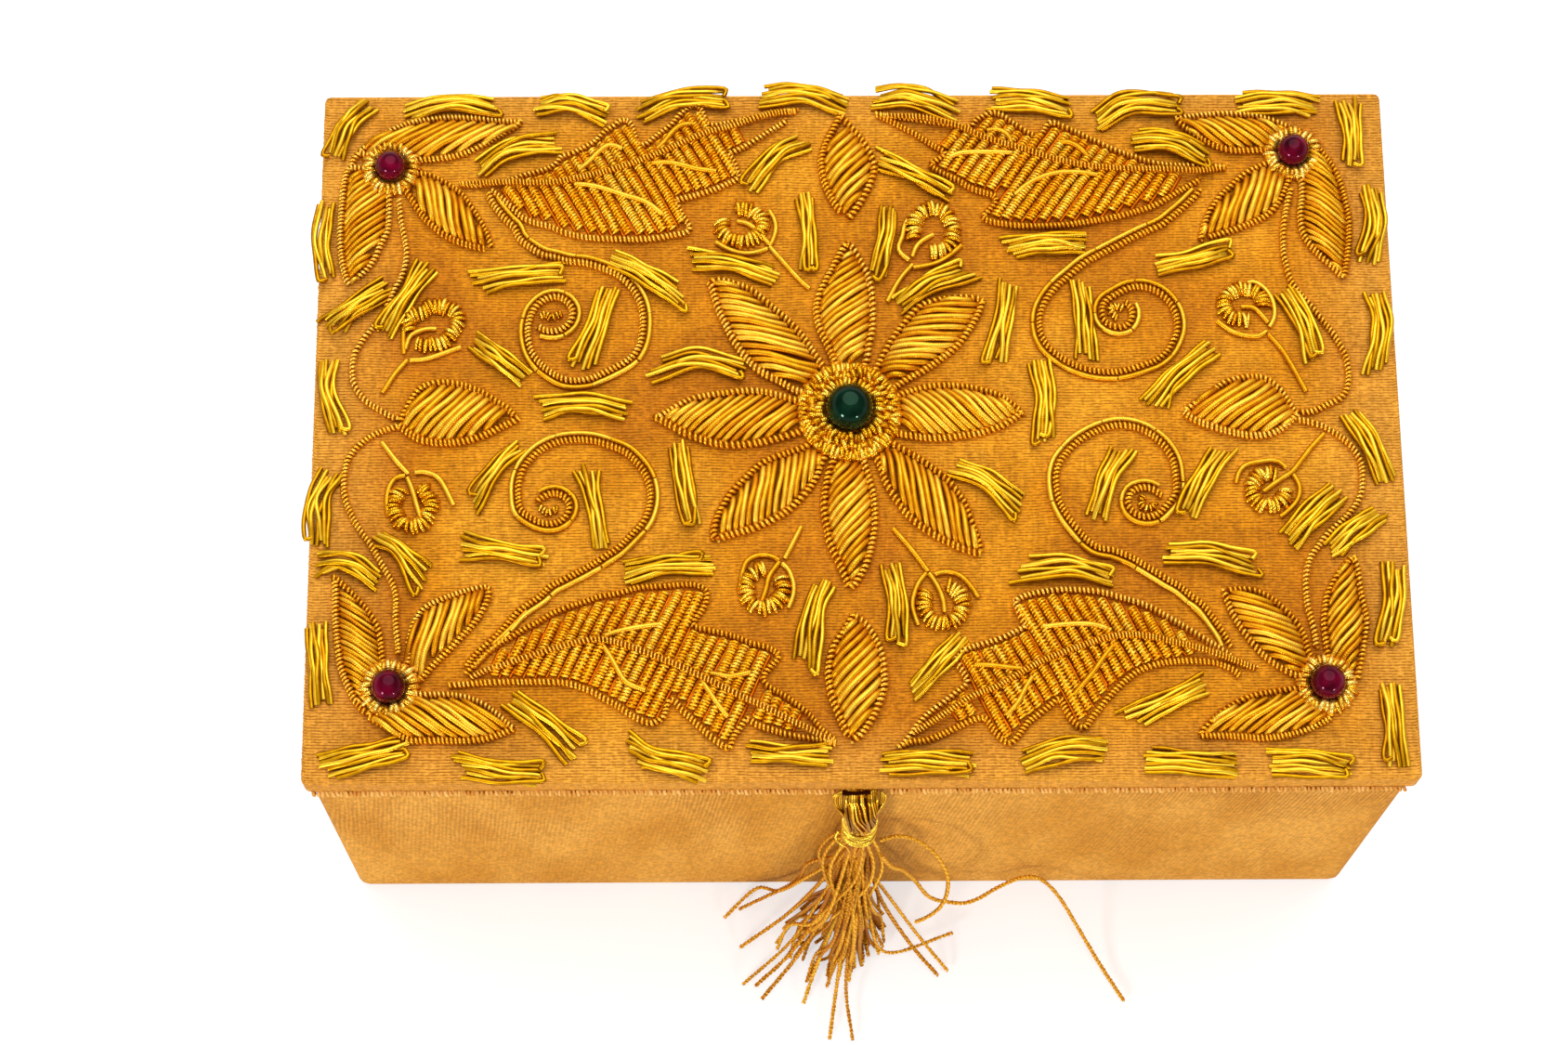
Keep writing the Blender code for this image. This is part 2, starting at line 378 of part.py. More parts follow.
# Dashes: first end, middle and last end, then the width at both ends as a share of the full width
DASH_SHARES = [
    ((-0.459, 0.482), (-0.480, 0.450), (-0.491, 0.405), 0.8, 1.0),
    ((-0.420, 0.474), (-0.380, 0.486), (-0.340, 0.480), 0.7, 0.9),
    ((-0.352, 0.386), (-0.326, 0.411), (-0.286, 0.426), 0.6, 1.1),
    ((-0.494, 0.330), (-0.495, 0.280), (-0.493, 0.228), 0.8, 0.7),
    ((-0.443, 0.201), (-0.464, 0.177), (-0.488, 0.147), 0.7, 1.2),
    ((-0.397, 0.238), (-0.410, 0.200), (-0.426, 0.165), 1.0, 0.6),
    ((-0.486, 0.093), (-0.487, 0.050), (-0.478, -0.003), 1.0, 0.9),
    ((-0.357, 0.218), (-0.320, 0.220), (-0.274, 0.230), 1.1, 0.7),
    ((-0.356, 0.126), (-0.336, 0.098), (-0.316, 0.072), 1.0, 0.9),
    ((-0.485, -0.072), (-0.492, -0.105), (-0.492, -0.160), 0.8, 0.8),
    ((-0.484, -0.190), (-0.465, -0.191), (-0.437, -0.216), 1.0, 0.8),
    ((-0.432, -0.158), (-0.412, -0.184), (-0.392, -0.212), 0.7, 1.2),
    ((-0.320, -0.031), (-0.338, -0.060), (-0.353, -0.100), 0.8, 1.0),
    ((-0.358, -0.172), (-0.330, -0.180), (-0.288, -0.188), 1.2, 0.7),
    ((-0.490, -0.287), (-0.488, -0.330), (-0.485, -0.388), 0.6, 1.1),
    ((-0.482, -0.466), (-0.450, -0.466), (-0.423, -0.461), 1.3, 0.7),
    ((-0.355, -0.476), (-0.320, -0.487), (-0.286, -0.488), 1.3, 0.8),
    ((-0.306, -0.386), (-0.281, -0.418), (-0.256, -0.448), 0.8, 1.1),
    ((-0.297, 0.484), (-0.270, 0.484), (-0.236, 0.473), 0.7, 1.0),
    ((-0.202, 0.471), (-0.186, 0.482), (-0.170, 0.488), 0.9, 0.7),
    ((-0.221, 0.259), (-0.189, 0.236), (-0.160, 0.203), 0.8, 1.1),
    ((-0.155, 0.248), (-0.120, 0.240), (-0.076, 0.224), 1.2, 0.8),
    ((-0.229, 0.200), (-0.238, 0.150), (-0.249, 0.095), 0.6, 1.1),
    ((-0.182, 0.092), (-0.150, 0.096), (-0.120, 0.087), 1.2, 0.7),
    ((-0.290, 0.035), (-0.255, 0.032), (-0.215, 0.024), 1.2, 0.8),
    ((-0.246, -0.060), (-0.237, -0.105), (-0.231, -0.153), 1.0, 0.7),
    ((-0.165, -0.038), (-0.160, -0.080), (-0.153, -0.134), 1.0, 0.8),
    ((-0.210, -0.209), (-0.175, -0.200), (-0.139, -0.197), 0.8, 1.1),
    ((-0.208, -0.448), (-0.182, -0.471), (-0.142, -0.486), 1.2, 0.7),
    ((-0.096, -0.462), (-0.065, -0.465), (-0.028, -0.465), 1.1, 0.8),
    ((-0.083, 0.489), (-0.050, 0.491), (-0.022, 0.483), 0.8, 1.0),
    ((-0.050, 0.420), (-0.075, 0.400), (-0.097, 0.360), 1.1, 0.8),
    ((-0.047, 0.343), (-0.044, 0.295), (-0.043, 0.242), 1.1, 0.6),
    ((0.035, 0.392), (0.057, 0.373), (0.087, 0.350), 1.0, 0.6),
    ((0.024, 0.487), (0.055, 0.487), (0.094, 0.473), 0.8, 1.0),
    ((0.032, 0.320), (0.027, 0.280), (0.026, 0.240), 1.0, 0.6),
    ((0.041, 0.180), (0.065, 0.205), (0.105, 0.225), 0.7, 1.2),
    ((0.096, -0.063), (0.117, -0.079), (0.147, -0.110), 0.7, 1.3),
    ((-0.035, -0.235), (-0.044, -0.275), (-0.049, -0.333), 0.6, 1.2),
    ((0.029, -0.208), (0.032, -0.250), (0.033, -0.300), 0.7, 0.8),
    ((0.076, -0.306), (0.063, -0.335), (0.041, -0.374), 0.6, 1.2),
    ((0.024, -0.477), (0.060, -0.478), (0.096, -0.479), 1.3, 0.7),
    ((0.134, 0.487), (0.165, 0.486), (0.199, 0.475), 0.9, 1.1),
    ((0.231, 0.457), (0.262, 0.480), (0.306, 0.482), 0.8, 0.9),
    ((0.266, 0.426), (0.295, 0.422), (0.322, 0.406), 1.2, 0.8),
    ((0.137, 0.266), (0.175, 0.267), (0.210, 0.271), 1.2, 0.7),
    ((0.284, 0.235), (0.315, 0.240), (0.347, 0.256), 1.2, 0.9),
    ((0.142, 0.207), (0.136, 0.150), (0.125, 0.098), 0.7, 1.2),
    ((0.208, 0.206), (0.209, 0.155), (0.210, 0.105), 0.7, 0.9),
    ((0.169, 0.080), (0.171, 0.040), (0.168, -0.010), 0.8, 1.0),
    ((0.326, 0.110), (0.297, 0.072), (0.271, 0.032), 0.6, 1.3),
    ((0.240, -0.039), (0.222, -0.080), (0.214, -0.124), 1.1, 0.7),
    ((0.333, -0.042), (0.322, -0.078), (0.312, -0.117), 1.1, 0.6),
    ((0.150, -0.204), (0.185, -0.202), (0.220, -0.214), 1.2, 0.6),
    ((0.281, -0.184), (0.315, -0.188), (0.352, -0.197), 0.8, 1.3),
    ((0.307, -0.369), (0.275, -0.393), (0.241, -0.412), 0.7, 1.2),
    ((0.151, -0.472), (0.182, -0.463), (0.215, -0.459), 1.2, 0.7),
    ((0.256, -0.473), (0.290, -0.479), (0.329, -0.483), 1.1, 0.7),
    ((0.366, 0.482), (0.400, 0.484), (0.436, 0.481), 0.7, 1.0),
    ((0.467, 0.484), (0.470, 0.440), (0.470, 0.393), 1.2, 0.7),
    ((0.485, 0.347), (0.488, 0.300), (0.484, 0.246), 0.7, 1.1),
    ((0.396, 0.197), (0.409, 0.155), (0.419, 0.101), 0.6, 1.1),
    ((0.484, 0.189), (0.486, 0.145), (0.480, 0.087), 0.6, 1.1),
    ((0.457, 0.012), (0.472, -0.030), (0.482, -0.078), 0.8, 0.9),
    ((0.437, -0.100), (0.415, -0.130), (0.392, -0.164), 0.7, 1.2),
    ((0.475, -0.130), (0.453, -0.155), (0.434, -0.180), 0.8, 0.8),
    ((0.484, -0.208), (0.483, -0.255), (0.477, -0.303), 0.6, 1.1),
    ((0.474, -0.373), (0.475, -0.430), (0.477, -0.477), 0.6, 1.2),
    ((0.367, -0.472), (0.400, -0.480), (0.432, -0.486), 1.2, 0.8),
]

# The tassel's head leans out from the lid's front edge: offset out and down from the tie, and width share
HEAD_LENGTH = 0.0180
HEAD_LEAN = 0.0015
HEAD_SHARES = [(0.00, 0.88), (0.12, 1.0), (0.35, 1.0), (0.52, 0.95), (0.62, 0.80), (0.70, 0.667), (1.0, 0.667)]

# The skirt: height share, then half width, half depth and outward lean as shares of the skirt's drop
SKIRT_SHARES = [
    (1.00, 0.049, 0.049, 0.000), (0.80, 0.068, 0.060, 0.024), (0.55, 0.100, 0.080, 0.062),
    (0.28, 0.135, 0.100, 0.108), (0.00, 0.180, 0.130, 0.160)]

# Where the skirt's strands end on the table, across and out from the neck, as shares of the skirt's drop
STRAND_END_SHARES = [
    (-0.44, 0.03), (-0.38, 0.12), (-0.375, 0.25), (-0.31, 0.30), (-0.17, 0.31), (-0.085, 0.44), (0.00, 0.445),
    (0.08, 0.25), (0.285, 0.22), (0.34, 0.19), (0.36, 0.07), (-0.25, 0.08)]
STRAND_START_SHARE = 0.26
STRAND_SAG_SHARE = 0.55
STRAND_SPREAD_SHARE = 0.2
STRAND_ROOT_SHARE = 0.1
STRAND_FAN_SHARE = 0.15
STRAND_LIFT_SHARE = 1.1
SKIRT_SIDES = 12

# Routes of the two loose gold threads, from the neck to where they lie on the table
LONG_STRAY_ROUTE = [
    (0.0032, -0.0556, 0.0432), (0.0050, -0.0556, 0.0360), (0.0069, -0.0544, 0.0280), (0.0090, -0.0542, 0.0200),
    (0.0114, -0.0552, 0.0130), (0.0144, -0.0554, 0.0098), (0.0180, -0.0552, 0.0092), (0.0225, -0.0530, 0.0102), (0.0260, -0.0521, 0.0122), (0.0287, -0.0525, 0.0112),
    (0.0315, -0.0543, 0.0072), (0.0346, -0.0582, 0.0030), (0.0380, -0.0635, 0.0009), (0.0414, -0.0689, 0.0006)]
LOOP_STRAY_ROUTE = [
    (0.0031, -0.0536, 0.0443), (0.0056, -0.0532, 0.0450), (0.0084, -0.0534, 0.0429), (0.0113, -0.0546, 0.0385),
    (0.0131, -0.0561, 0.0325), (0.0134, -0.0574, 0.0270), (0.0127, -0.0585, 0.0220), (0.0110, -0.0592, 0.0180),
    (0.0092, -0.0596, 0.0158)]

# Finishes: colour, roughness and metallic value
FINISHES = {
    "tissue_silk": ((0.72, 0.36, 0.09), 0.55, 0.0),
    "cardboard": ((0.55, 0.42, 0.28), 0.9, 0.0),
    "wadding": ((0.86, 0.84, 0.78), 0.95, 0.0),
    "lining_satin": ((0.80, 0.46, 0.16), 0.4, 0.0),
    "hinge_cloth": ((0.68, 0.33, 0.08), 0.6, 0.0),
    "gold_wire": ((0.83, 0.55, 0.10), 0.3, 1.0),
    "gold_thread": ((0.72, 0.43, 0.10), 0.4, 0.6),
    "green_glass": ((0.01, 0.06, 0.035), 0.15, 0.0),
    "ruby_glass": ((0.12, 0.005, 0.02), 0.15, 0.0),
}


def clear_scene():
    for thing in list(bpy.data.objects):
        bpy.data.objects.remove(thing)


def finish(name):
    """The named material, made on first use."""
    if name in bpy.data.materials:
        return bpy.data.materials[name]
    colour, roughness, metallic = FINISHES[name]
    material = bpy.data.materials.new(name)
    material.use_nodes = True
    shader = material.node_tree.nodes["Principled BSDF"]
    shader.inputs["Base Color"].default_value = (*colour, 1.0)
    shader.inputs["Roughness"].default_value = roughness
    shader.inputs["Metallic"].default_value = metallic
    return material


def add_mesh(name, mesh, finish_name):
    mesh.name = name
    mesh.materials.clear()
    mesh.materials.append(finish(finish_name))
    thing = bpy.data.objects.new(name, mesh)
    bpy.context.scene.collection.objects.link(thing)
    return thing


def add_solid(name, bm, finish_name):
    """Link a bmesh body as a named object, with its faces turned outwards."""
    bmesh.ops.recalc_face_normals(bm, faces=bm.faces)
    mesh = bpy.data.meshes.new(name)
    bm.to_mesh(mesh)
    bm.free()
    return add_mesh(name, mesh, finish_name)


def as_tool(thing):
    """Mark an object that only cuts or joins another."""
    thing.hide_render = True
    thing.display_type = "WIRE"
    return thing


def combine(thing, tool, operation):
    boolean = thing.modifiers.new(operation.lower(), "BOOLEAN")
    boolean.operation = operation
    boolean.solver = "EXACT"
    boolean.object = as_tool(tool)


def prism_body(low, high, corner_radius=0.0, edge_radius=0.0):
    """A box between two corners, with its upright corners and its top edge rounded where asked."""
    bm = bmesh.new()
    bmesh.ops.create_cube(bm, size=1.0)
    low, high = Vector(low), Vector(high)
    for vert in bm.verts:
        vert.co = Vector(b if c > 0 else a for a, b, c in zip(low, high, vert.co))
    if corner_radius:
        upright = [e for e in bm.edges if abs(e.verts[0].co.z - e.verts[1].co.z) > (high.z - low.z) / 2]
        bmesh.ops.bevel(bm, geom=upright, offset=corner_radius, segments=CORNER_SEGMENTS, profile=0.5,
                        affect="EDGES", material=-1)
    if edge_radius:
        bm.normal_update()
        cap = max(bm.faces, key=lambda face: face.normal.z * face.calc_area())
        bmesh.ops.bevel(bm, geom=list(cap.edges), offset=edge_radius, segments=EDGE_SEGMENTS, profile=0.5,
                        affect="EDGES", material=-1)
    return bm


def board(name, low, high, finish_name):
    return add_solid(name, prism_body(low, high), finish_name)


def padded_panel(name, low, high):
    """A satin-covered pad with softened edges."""
    panel = add_solid(name, prism_body(low, high), "lining_satin")
    rounding = panel.modifiers.new("soft_edges", "BEVEL")
    rounding.width = PAD_ROUNDING
    rounding.segments = EDGE_SEGMENTS
    return panel


def on_lid(share, height=0.0):
    return Vector((share[0] * LID_WIDTH, share[1] * LID_DEPTH, LID_TOP + height))


def profile_curve(name, points):
    """A closed cross-section for a sweep, drawn across and up."""
    curve = bpy.data.curves.new(name, "CURVE")
    curve.dimensions = "2D"
    spline = curve.splines.new("POLY")
    spline.points.add(len(points) - 1)
    for point, (across, up) in zip(spline.points, points):
        point.co = (across, up, 0.0, 1.0)
    spline.use_cyclic_u = True
    profile = bpy.data.objects.new(name, curve)
    bpy.context.scene.collection.objects.link(profile)
    return as_tool(profile)


def strip_profile(name, width, height, root=0.0):
    """A flat-bottomed strip with sloping sides."""
    half = width / 2
    shoulder = half * STRIP_TOP_SHARE
    return profile_curve(name, [(-half, -root), (half, -root), (shoulder, height), (-shoulder, height)])


def swept_mesh(name, paths, profile, widths=None):
    """One mesh of flat-bottomed strips, each swept upright along its own path."""
    curve = bpy.data.curves.new(name, "CURVE")
    curve.dimensions = "3D"
    curve.twist_mode = "Z_UP"
    curve.bevel_mode = "OBJECT"
    curve.bevel_object = profile
    curve.use_fill_caps = True
    for index, path in enumerate(paths):
        spline = curve.splines.new("POLY")
        spline.points.add(len(path) - 1)
        for step, (point, place) in enumerate(zip(spline.points, path)):
            point.co = (*place, 1.0)
            point.radius = widths[index][step] if widths else 1.0
    return mesh_of(curve)


def mesh_of(curve):
    holder = bpy.data.objects.new(curve.name, curve)
    bpy.context.scene.collection.objects.link(holder)
    shown = holder.evaluated_get(bpy.context.evaluated_depsgraph_get())
    mesh = bpy.data.meshes.new_from_object(shown)
    bpy.data.objects.remove(holder)
    bm = bmesh.new()
    bm.from_mesh(mesh)
    bmesh.ops.remove_doubles(bm, verts=bm.verts, dist=WELD)
    bmesh.ops.recalc_face_normals(bm, faces=bm.faces)
    bm.to_mesh(mesh)
    bm.free()
    return mesh


def walked_shares(places):
    """How far along a row of points each one lies, from nought to one."""
    lengths = [0.0]
    for a, b in zip(places, places[1:]):
        lengths.append(lengths[-1] + (b - a).length)
    return [length / lengths[-1] for length in lengths]


def place_along(places, share):
    walked = walked_shares(places)
    for a, b, low, high in zip(places, places[1:], walked, walked[1:]):
        if share <= high:
            return a.lerp(b, (share - low) / (high - low))
    return places[-1]


def midline_of(outline):
    """For each point of an outline, the place halfway to the other edge at the same walk from the base."""
    base = (outline[0] + outline[-1]) / 2
    tip = max(range(len(outline)), key=lambda number: (outline[number] - base).length)
    first = outline[:tip + 1]
    second = outline[tip:][::-1]
    middles = [(p + place_along(second, share)) / 2 for p, share in zip(first, walked_shares(first))]
    others = [(p + place_along(first, share)) / 2 for p, share in zip(second, walked_shares(second))]
    return middles + others[::-1][1:]


def crowned_patch(name, shares):
    """Couched work inside a leaf outline: an upright rim, then a filling that crowns along its midline."""
    outline = [on_lid(share) for share in shares]
    middles = midline_of(outline)
    rows = [(0.0, 0.0), (0.0, PETAL_RIM), (PETAL_BORDER_SHARE, PETAL_RIM + PETAL_CROWN / 2),
            (PETAL_SHOULDER_SHARE, PETAL_RIM + PETAL_CROWN)]
    bm = bmesh.new()
    loops = []
    for inward, height in rows:
        verts = [bm.verts.new(p.lerp(m, inward) + Vector((0.0, 0.0, height))) for p, m in zip(outline, middles)]
        if inward:
            tip = max(range(len(outline)), key=lambda n: (outline[n] - (outline[0] + outline[-1]) / 2).length)
            verts[tip].co = (verts[tip - 1].co + verts[tip + 1].co) / 2
        loops.append([bm.edges.new((a, b)) for a, b in zip(verts, verts[1:] + verts[:1])])
    for lower, upper in zip(loops, loops[1:]):
        bmesh.ops.bridge_loops(bm, edges=lower + upper)
    for loop in (loops[0], loops[-1]):
        bmesh.ops.contextual_create(bm, geom=loop)
    return add_solid(name, bm, "gold_wire")


def flat_patch(name, shares, height):
    """Close rows of bullion inside an outline, level on top."""
    bm = bmesh.new()
    outline = bm.faces.new([bm.verts.new(on_lid(share)) for share in shares])
    raised = bmesh.ops.extrude_face_region(bm, geom=[outline])["geom"]
    bmesh.ops.translate(bm, verts=[v for v in raised if isinstance(v, bmesh.types.BMVert)], vec=(0, 0, height))
    return add_solid(name, bm, "gold_wire")


def collar_body(centre, outer, inner, height, chips):
    """A ring of cut bullion: a chipped annulus, every second chip a little lower and shorter."""
    bm = bmesh.new()
    middle = (outer + inner) / 2
    section = [(inner, 0.0), (outer, 0.0), (outer, height / 2), (middle, height), (inner, height / 2)]
    verts = [bm.verts.new(centre + Vector((radius, 0.0, up))) for radius, up in section]
    edges = [bm.edges.new((a, b)) for a, b in zip(verts, verts[1:] + verts[:1])]
    bmesh.ops.spin(bm, geom=verts + edges, cent=centre, axis=(0, 0, 1), angle=math.tau, steps=chips,
                   use_merge=True)
    for vert in bm.verts:
        arm = vert.co - centre
        step = round(math.atan2(arm.y, arm.x) / math.tau * chips)
        if step % 2 and arm.z > height / 4:
            vert.co.z -= COLLAR_CHIP_DEPTH
    return bm


def add_collar(name, share, outer, bead_radius, height, chips):
    body = collar_body(on_lid(share), outer, bead_radius + GAP, height, chips)
    return add_solid(name, body, "gold_wire")


def add_bead(name, share, radius, finish_name):
    """A round bead, flattened underneath where it is sewn down."""
    centre = on_lid(share, radius * BEAD_FLAT_SHARE)
    bm = bmesh.new()
    bmesh.ops.create_uvsphere(bm, u_segments=BEAD_SEGMENTS, v_segments=BEAD_RINGS, radius=radius)
    bmesh.ops.translate(bm, verts=bm.verts, vec=centre)
    geometry = list(bm.verts) + list(bm.edges) + list(bm.faces)
    bmesh.ops.bisect_plane(bm, geom=geometry, plane_co=on_lid(share), plane_no=(0, 0, 1), clear_inner=True)
    bmesh.ops.holes_fill(bm, edges=bm.edges)
    bead = add_solid(name, bm, finish_name)
    bead.data.shade_smooth()
    bead.data.set_sharp_from_angle(angle=math.radians(50))
    return bead


def add_base():
    """Cloth under the bottom, boards, the cloth wrapped round the walls and the padded linings."""
    base = prism_body((-BODY_X, BODY_FRONT, 0.0), (BODY_X, BODY_BACK, BASE_CLOTH), BODY_CORNER_RADIUS)
    add_solid("base_cover", base, "tissue_silk")
    board("bottom_board", (-INNER_X + GAP, INNER_FRONT + GAP, BOARD_BOTTOM),
          (INNER_X - GAP, INNER_BACK - GAP, BOARD_BOTTOM + BOTTOM_BOARD), "cardboard")
    board("front_board", (-BOARD_X, BOARD_FRONT, BOARD_BOTTOM), (BOARD_X, INNER_FRONT, BOARD_TOP), "cardboard")
    board("back_board", (-BOARD_X, INNER_BACK, BOARD_BOTTOM), (BOARD_X, BOARD_BACK, BOARD_TOP), "cardboard")
    board("left_board", (-BOARD_X, INNER_FRONT + GAP, BOARD_BOTTOM),
          (-INNER_X, INNER_BACK - GAP, BOARD_TOP), "cardboard")
    board("right_board", (INNER_X, INNER_FRONT + GAP, BOARD_BOTTOM),
          (BOARD_X, INNER_BACK - GAP, BOARD_TOP), "cardboard")
    add_side_cover()
    lining_top = RIM_TOP - GAP
    padded_panel("front_lining", (-INNER_X + GAP, INNER_FRONT + GAP, PAD_BOTTOM),
                 (INNER_X - GAP, LINED_FRONT, lining_top))
    padded_panel("back_lining", (-INNER_X + GAP, LINED_BACK, PAD_BOTTOM),
                 (INNER_X - GAP, INNER_BACK - GAP, lining_top))
    padded_panel("left_lining", (-INNER_X + GAP, LINED_FRONT + GAP, PAD_BOTTOM),
                 (-LINED_X, LINED_BACK - GAP, lining_top))
    padded_panel("right_lining", (LINED_X, LINED_FRONT + GAP, PAD_BOTTOM),
                 (INNER_X - GAP, LINED_BACK - GAP, lining_top))
    padded_panel("floor_pad", (-LINED_X + GAP, LINED_FRONT + GAP, PAD_BOTTOM),
                 (LINED_X - GAP, LINED_BACK - GAP, PAD_BOTTOM + FLOOR_PAD))


def add_side_cover():
    """The cloth round the four walls, turned in over their top edges."""
    bottom = BASE_CLOTH + GAP
    outside = prism_body((-BODY_X, BODY_FRONT, bottom), (BODY_X, BODY_BACK, RIM_TOP), BODY_CORNER_RADIUS)
    cover = add_solid("side_cover", outside, "tissue_silk")
    core = prism_body((-BODY_X + COVER_CLOTH, BODY_FRONT + COVER_CLOTH, bottom - OVERRUN),
                      (BODY_X - COVER_CLOTH, BODY_BACK - COVER_CLOTH, RIM_TOP - COVER_CLOTH),
                      BODY_CORNER_RADIUS * INNER_CORNER_SHARE)
    combine(cover, add_solid("side_cover_core", core, "tissue_silk"), "DIFFERENCE")
    mouth = prism_body((-INNER_X, INNER_FRONT, RIM_TOP - COVER_CLOTH - OVERRUN),
                       (INNER_X, INNER_BACK, RIM_TOP + OVERRUN))
    combine(cover, add_solid("side_cover_mouth", mouth, "tissue_silk"), "DIFFERENCE")


def add_lid():
    """The lid's board and wadding inside their turned-in cloth, and the padded panel under them."""
    turned = COVER_CLOTH
    board_low = LID_UNDERSIDE + turned + GAP
    wadding_high = LID_TOP - turned - GAP
    wadding_low = wadding_high - LID_WADDING
    inner_x = LID_X - turned
    inner_y = LID_Y - turned
    lid_board = board("lid_board", (-inner_x + GAP, -inner_y + GAP, board_low),
                      (inner_x - GAP, inner_y - GAP, wadding_low - GAP), "cardboard")
    board("lid_wadding", (-inner_x + GAP, -inner_y + GAP, wadding_low),
          (inner_x - GAP, inner_y - GAP, wadding_high), "wadding")
    cover = add_lid_cover(inner_x, inner_y)
    for piece in (lid_board, cover):
        combine(piece, tie_slot(piece.name + "_slot"), "DIFFERENCE")
    fit_x = LINED_X - LID_LINING_CLEARANCE
    padded_panel("lid_lining",
                 (-fit_x, LINED_FRONT + LID_LINING_CLEARANCE, LID_UNDERSIDE - GAP - LID_LINING),
                 (fit_x, LINED_BACK - LID_LINING_CLEARANCE, LID_UNDERSIDE - GAP))


def add_lid_cover(inner_x, inner_y):
    outside = prism_body((-LID_X, -LID_Y, LID_UNDERSIDE), (LID_X, LID_Y, LID_TOP), LID_CORNER_RADIUS,
                         LID_EDGE_RADIUS)
    cover = add_solid("lid_cover", outside, "tissue_silk")
    hollow = prism_body((-inner_x, -inner_y, LID_UNDERSIDE + COVER_CLOTH),
                        (inner_x, inner_y, LID_TOP - COVER_CLOTH), LID_CORNER_RADIUS * INNER_CORNER_SHARE)
    combine(cover, add_solid("lid_cover_hollow", hollow, "tissue_silk"), "DIFFERENCE")
    open_x = LID_X - TURN_IN
    open_y = LID_Y - TURN_IN
    opening = prism_body((-open_x, -open_y, LID_UNDERSIDE - OVERRUN),
                         (open_x, open_y, LID_UNDERSIDE + COVER_CLOTH + OVERRUN))
    combine(cover, add_solid("lid_cover_opening", opening, "tissue_silk"), "DIFFERENCE")
    profile = strip_profile("dash_profile", DASH_WIDTH, DASH_HEIGHT, DASH_ROOT)
    paths = [[on_lid(first), on_lid(middle), on_lid(last)] for first, middle, last, _, _ in DASH_SHARES]
    widths = [[start, (start + end) / 2, end] for _, _, _, start, end in DASH_SHARES]
    dashes = add_mesh("lid_dashes", swept_mesh("lid_dashes", paths, profile, widths), "gold_wire")
    combine(cover, dashes, "UNION")
    return cover


def tie_slot(name):
    low_y = -LID_Y - OVERRUN
    slot = prism_body((-TIE_WIDTH / 2 - GAP, low_y, LID_UNDERSIDE - OVERRUN),
                      (TIE_WIDTH / 2 + GAP, -LID_Y - TIE_OUT + TIE_LENGTH + GAP,
                       LID_UNDERSIDE + GAP / 3 + TIE_THICKNESS + GAP))
    return add_solid(name, slot, "cardboard")


def add_hinge():
    """The cloth strip across the back, as the leaf on the wall and the leaf on the lid."""
    near = LID_Y + GAP
    far = near + HINGE_STRIP_CLOTH
    half = HINGE_STRIP_WIDTH / 2
    fold = LID_UNDERSIDE - GAP / 2
    board("hinge_wall_leaf", (-half, near, fold - HINGE_FOLD_GAP - HINGE_WALL_LEAF),
          (half, far, fold - HINGE_FOLD_GAP), "hinge_cloth")
    board("hinge_lid_leaf", (-half, near, fold + HINGE_FOLD_GAP),
          (half, far, fold + HINGE_FOLD_GAP + HINGE_LID_LEAF), "hinge_cloth")


def add_centre_flower():
    for name, shares in CENTRE_PETAL_SHARES.items():
        crowned_patch(name, shares)
    for name, shares in ALMOND_SHARES.items():
        crowned_patch(name, shares)
    add_collar("centre_collar", CENTRE_SHARE, CENTRE_COLLAR_RADIUS, CENTRE_BEAD_RADIUS, CENTRE_COLLAR_HEIGHT,
               CENTRE_CHIPS)
    add_bead("centre_bead", CENTRE_SHARE, CENTRE_BEAD_RADIUS, "green_glass")


def add_corner_flower(corner):
    share = CORNER_BEAD_SHARES[corner]
    flower = add_collar("corner_flower_" + corner, share, CORNER_COLLAR_RADIUS, CORNER_BEAD_RADIUS,
                        CORNER_COLLAR_HEIGHT, CORNER_CHIPS)
    for number, shares in enumerate(CORNER_PETAL_SHARES[corner]):
        combine(flower, crowned_patch("petal_%s_%d" % (corner, number), shares), "UNION")
    add_bead("corner_bead_" + corner, share, CORNER_BEAD_RADIUS, "ruby_glass")


def add_leaf_spray(corner, coil_profile, rib_profile):
    """A serrated leaf with its midrib, and the scroll that grows from its base."""
    leaf = flat_patch("leaf_spray_" + corner, SERRATED_LEAF_SHARES[corner], LEAF_HEIGHT)
    rib_path = [on_lid(share) for share in MIDRIB_SHARES[corner]]
    rib = swept_mesh("midrib_" + corner, [rib_path], rib_profile)
    combine(leaf, add_mesh("midrib_" + corner, rib, "gold_wire"), "UNION")
    scroll_path = [on_lid(share) for share in SCROLL_SHARES[corner]]
    scroll = swept_mesh("scroll_" + corner, [scroll_path], coil_profile)
    combine(leaf, add_mesh("scroll_" + corner, scroll, "gold_wire"), "UNION")


def add_side_spray(side, coil_profile):
    """The almond leaf at one side of the lid and the two vines that meet at it."""
    spray = crowned_patch("side_spray_" + side, SIDE_ALMOND_SHARES[side])
    for number, shares in enumerate(SIDE_VINE_SHARES[side]):
        name = "vine_%s_%d" % (side, number)
        vine = swept_mesh(name, [[on_lid(share) for share in shares]], coil_profile)
        combine(spray, add_mesh(name, vine, "gold_wire"), "UNION")


def arc_points(centre, radius, start, sweep, count):
    """Points on a level arc; the angles are in radians."""
    places = []
    for step in range(count):
        angle = start + sweep * step / (count - 1)
        places.append(centre + Vector((radius * math.cos(angle), radius * math.sin(angle), 0.0)))
    return places


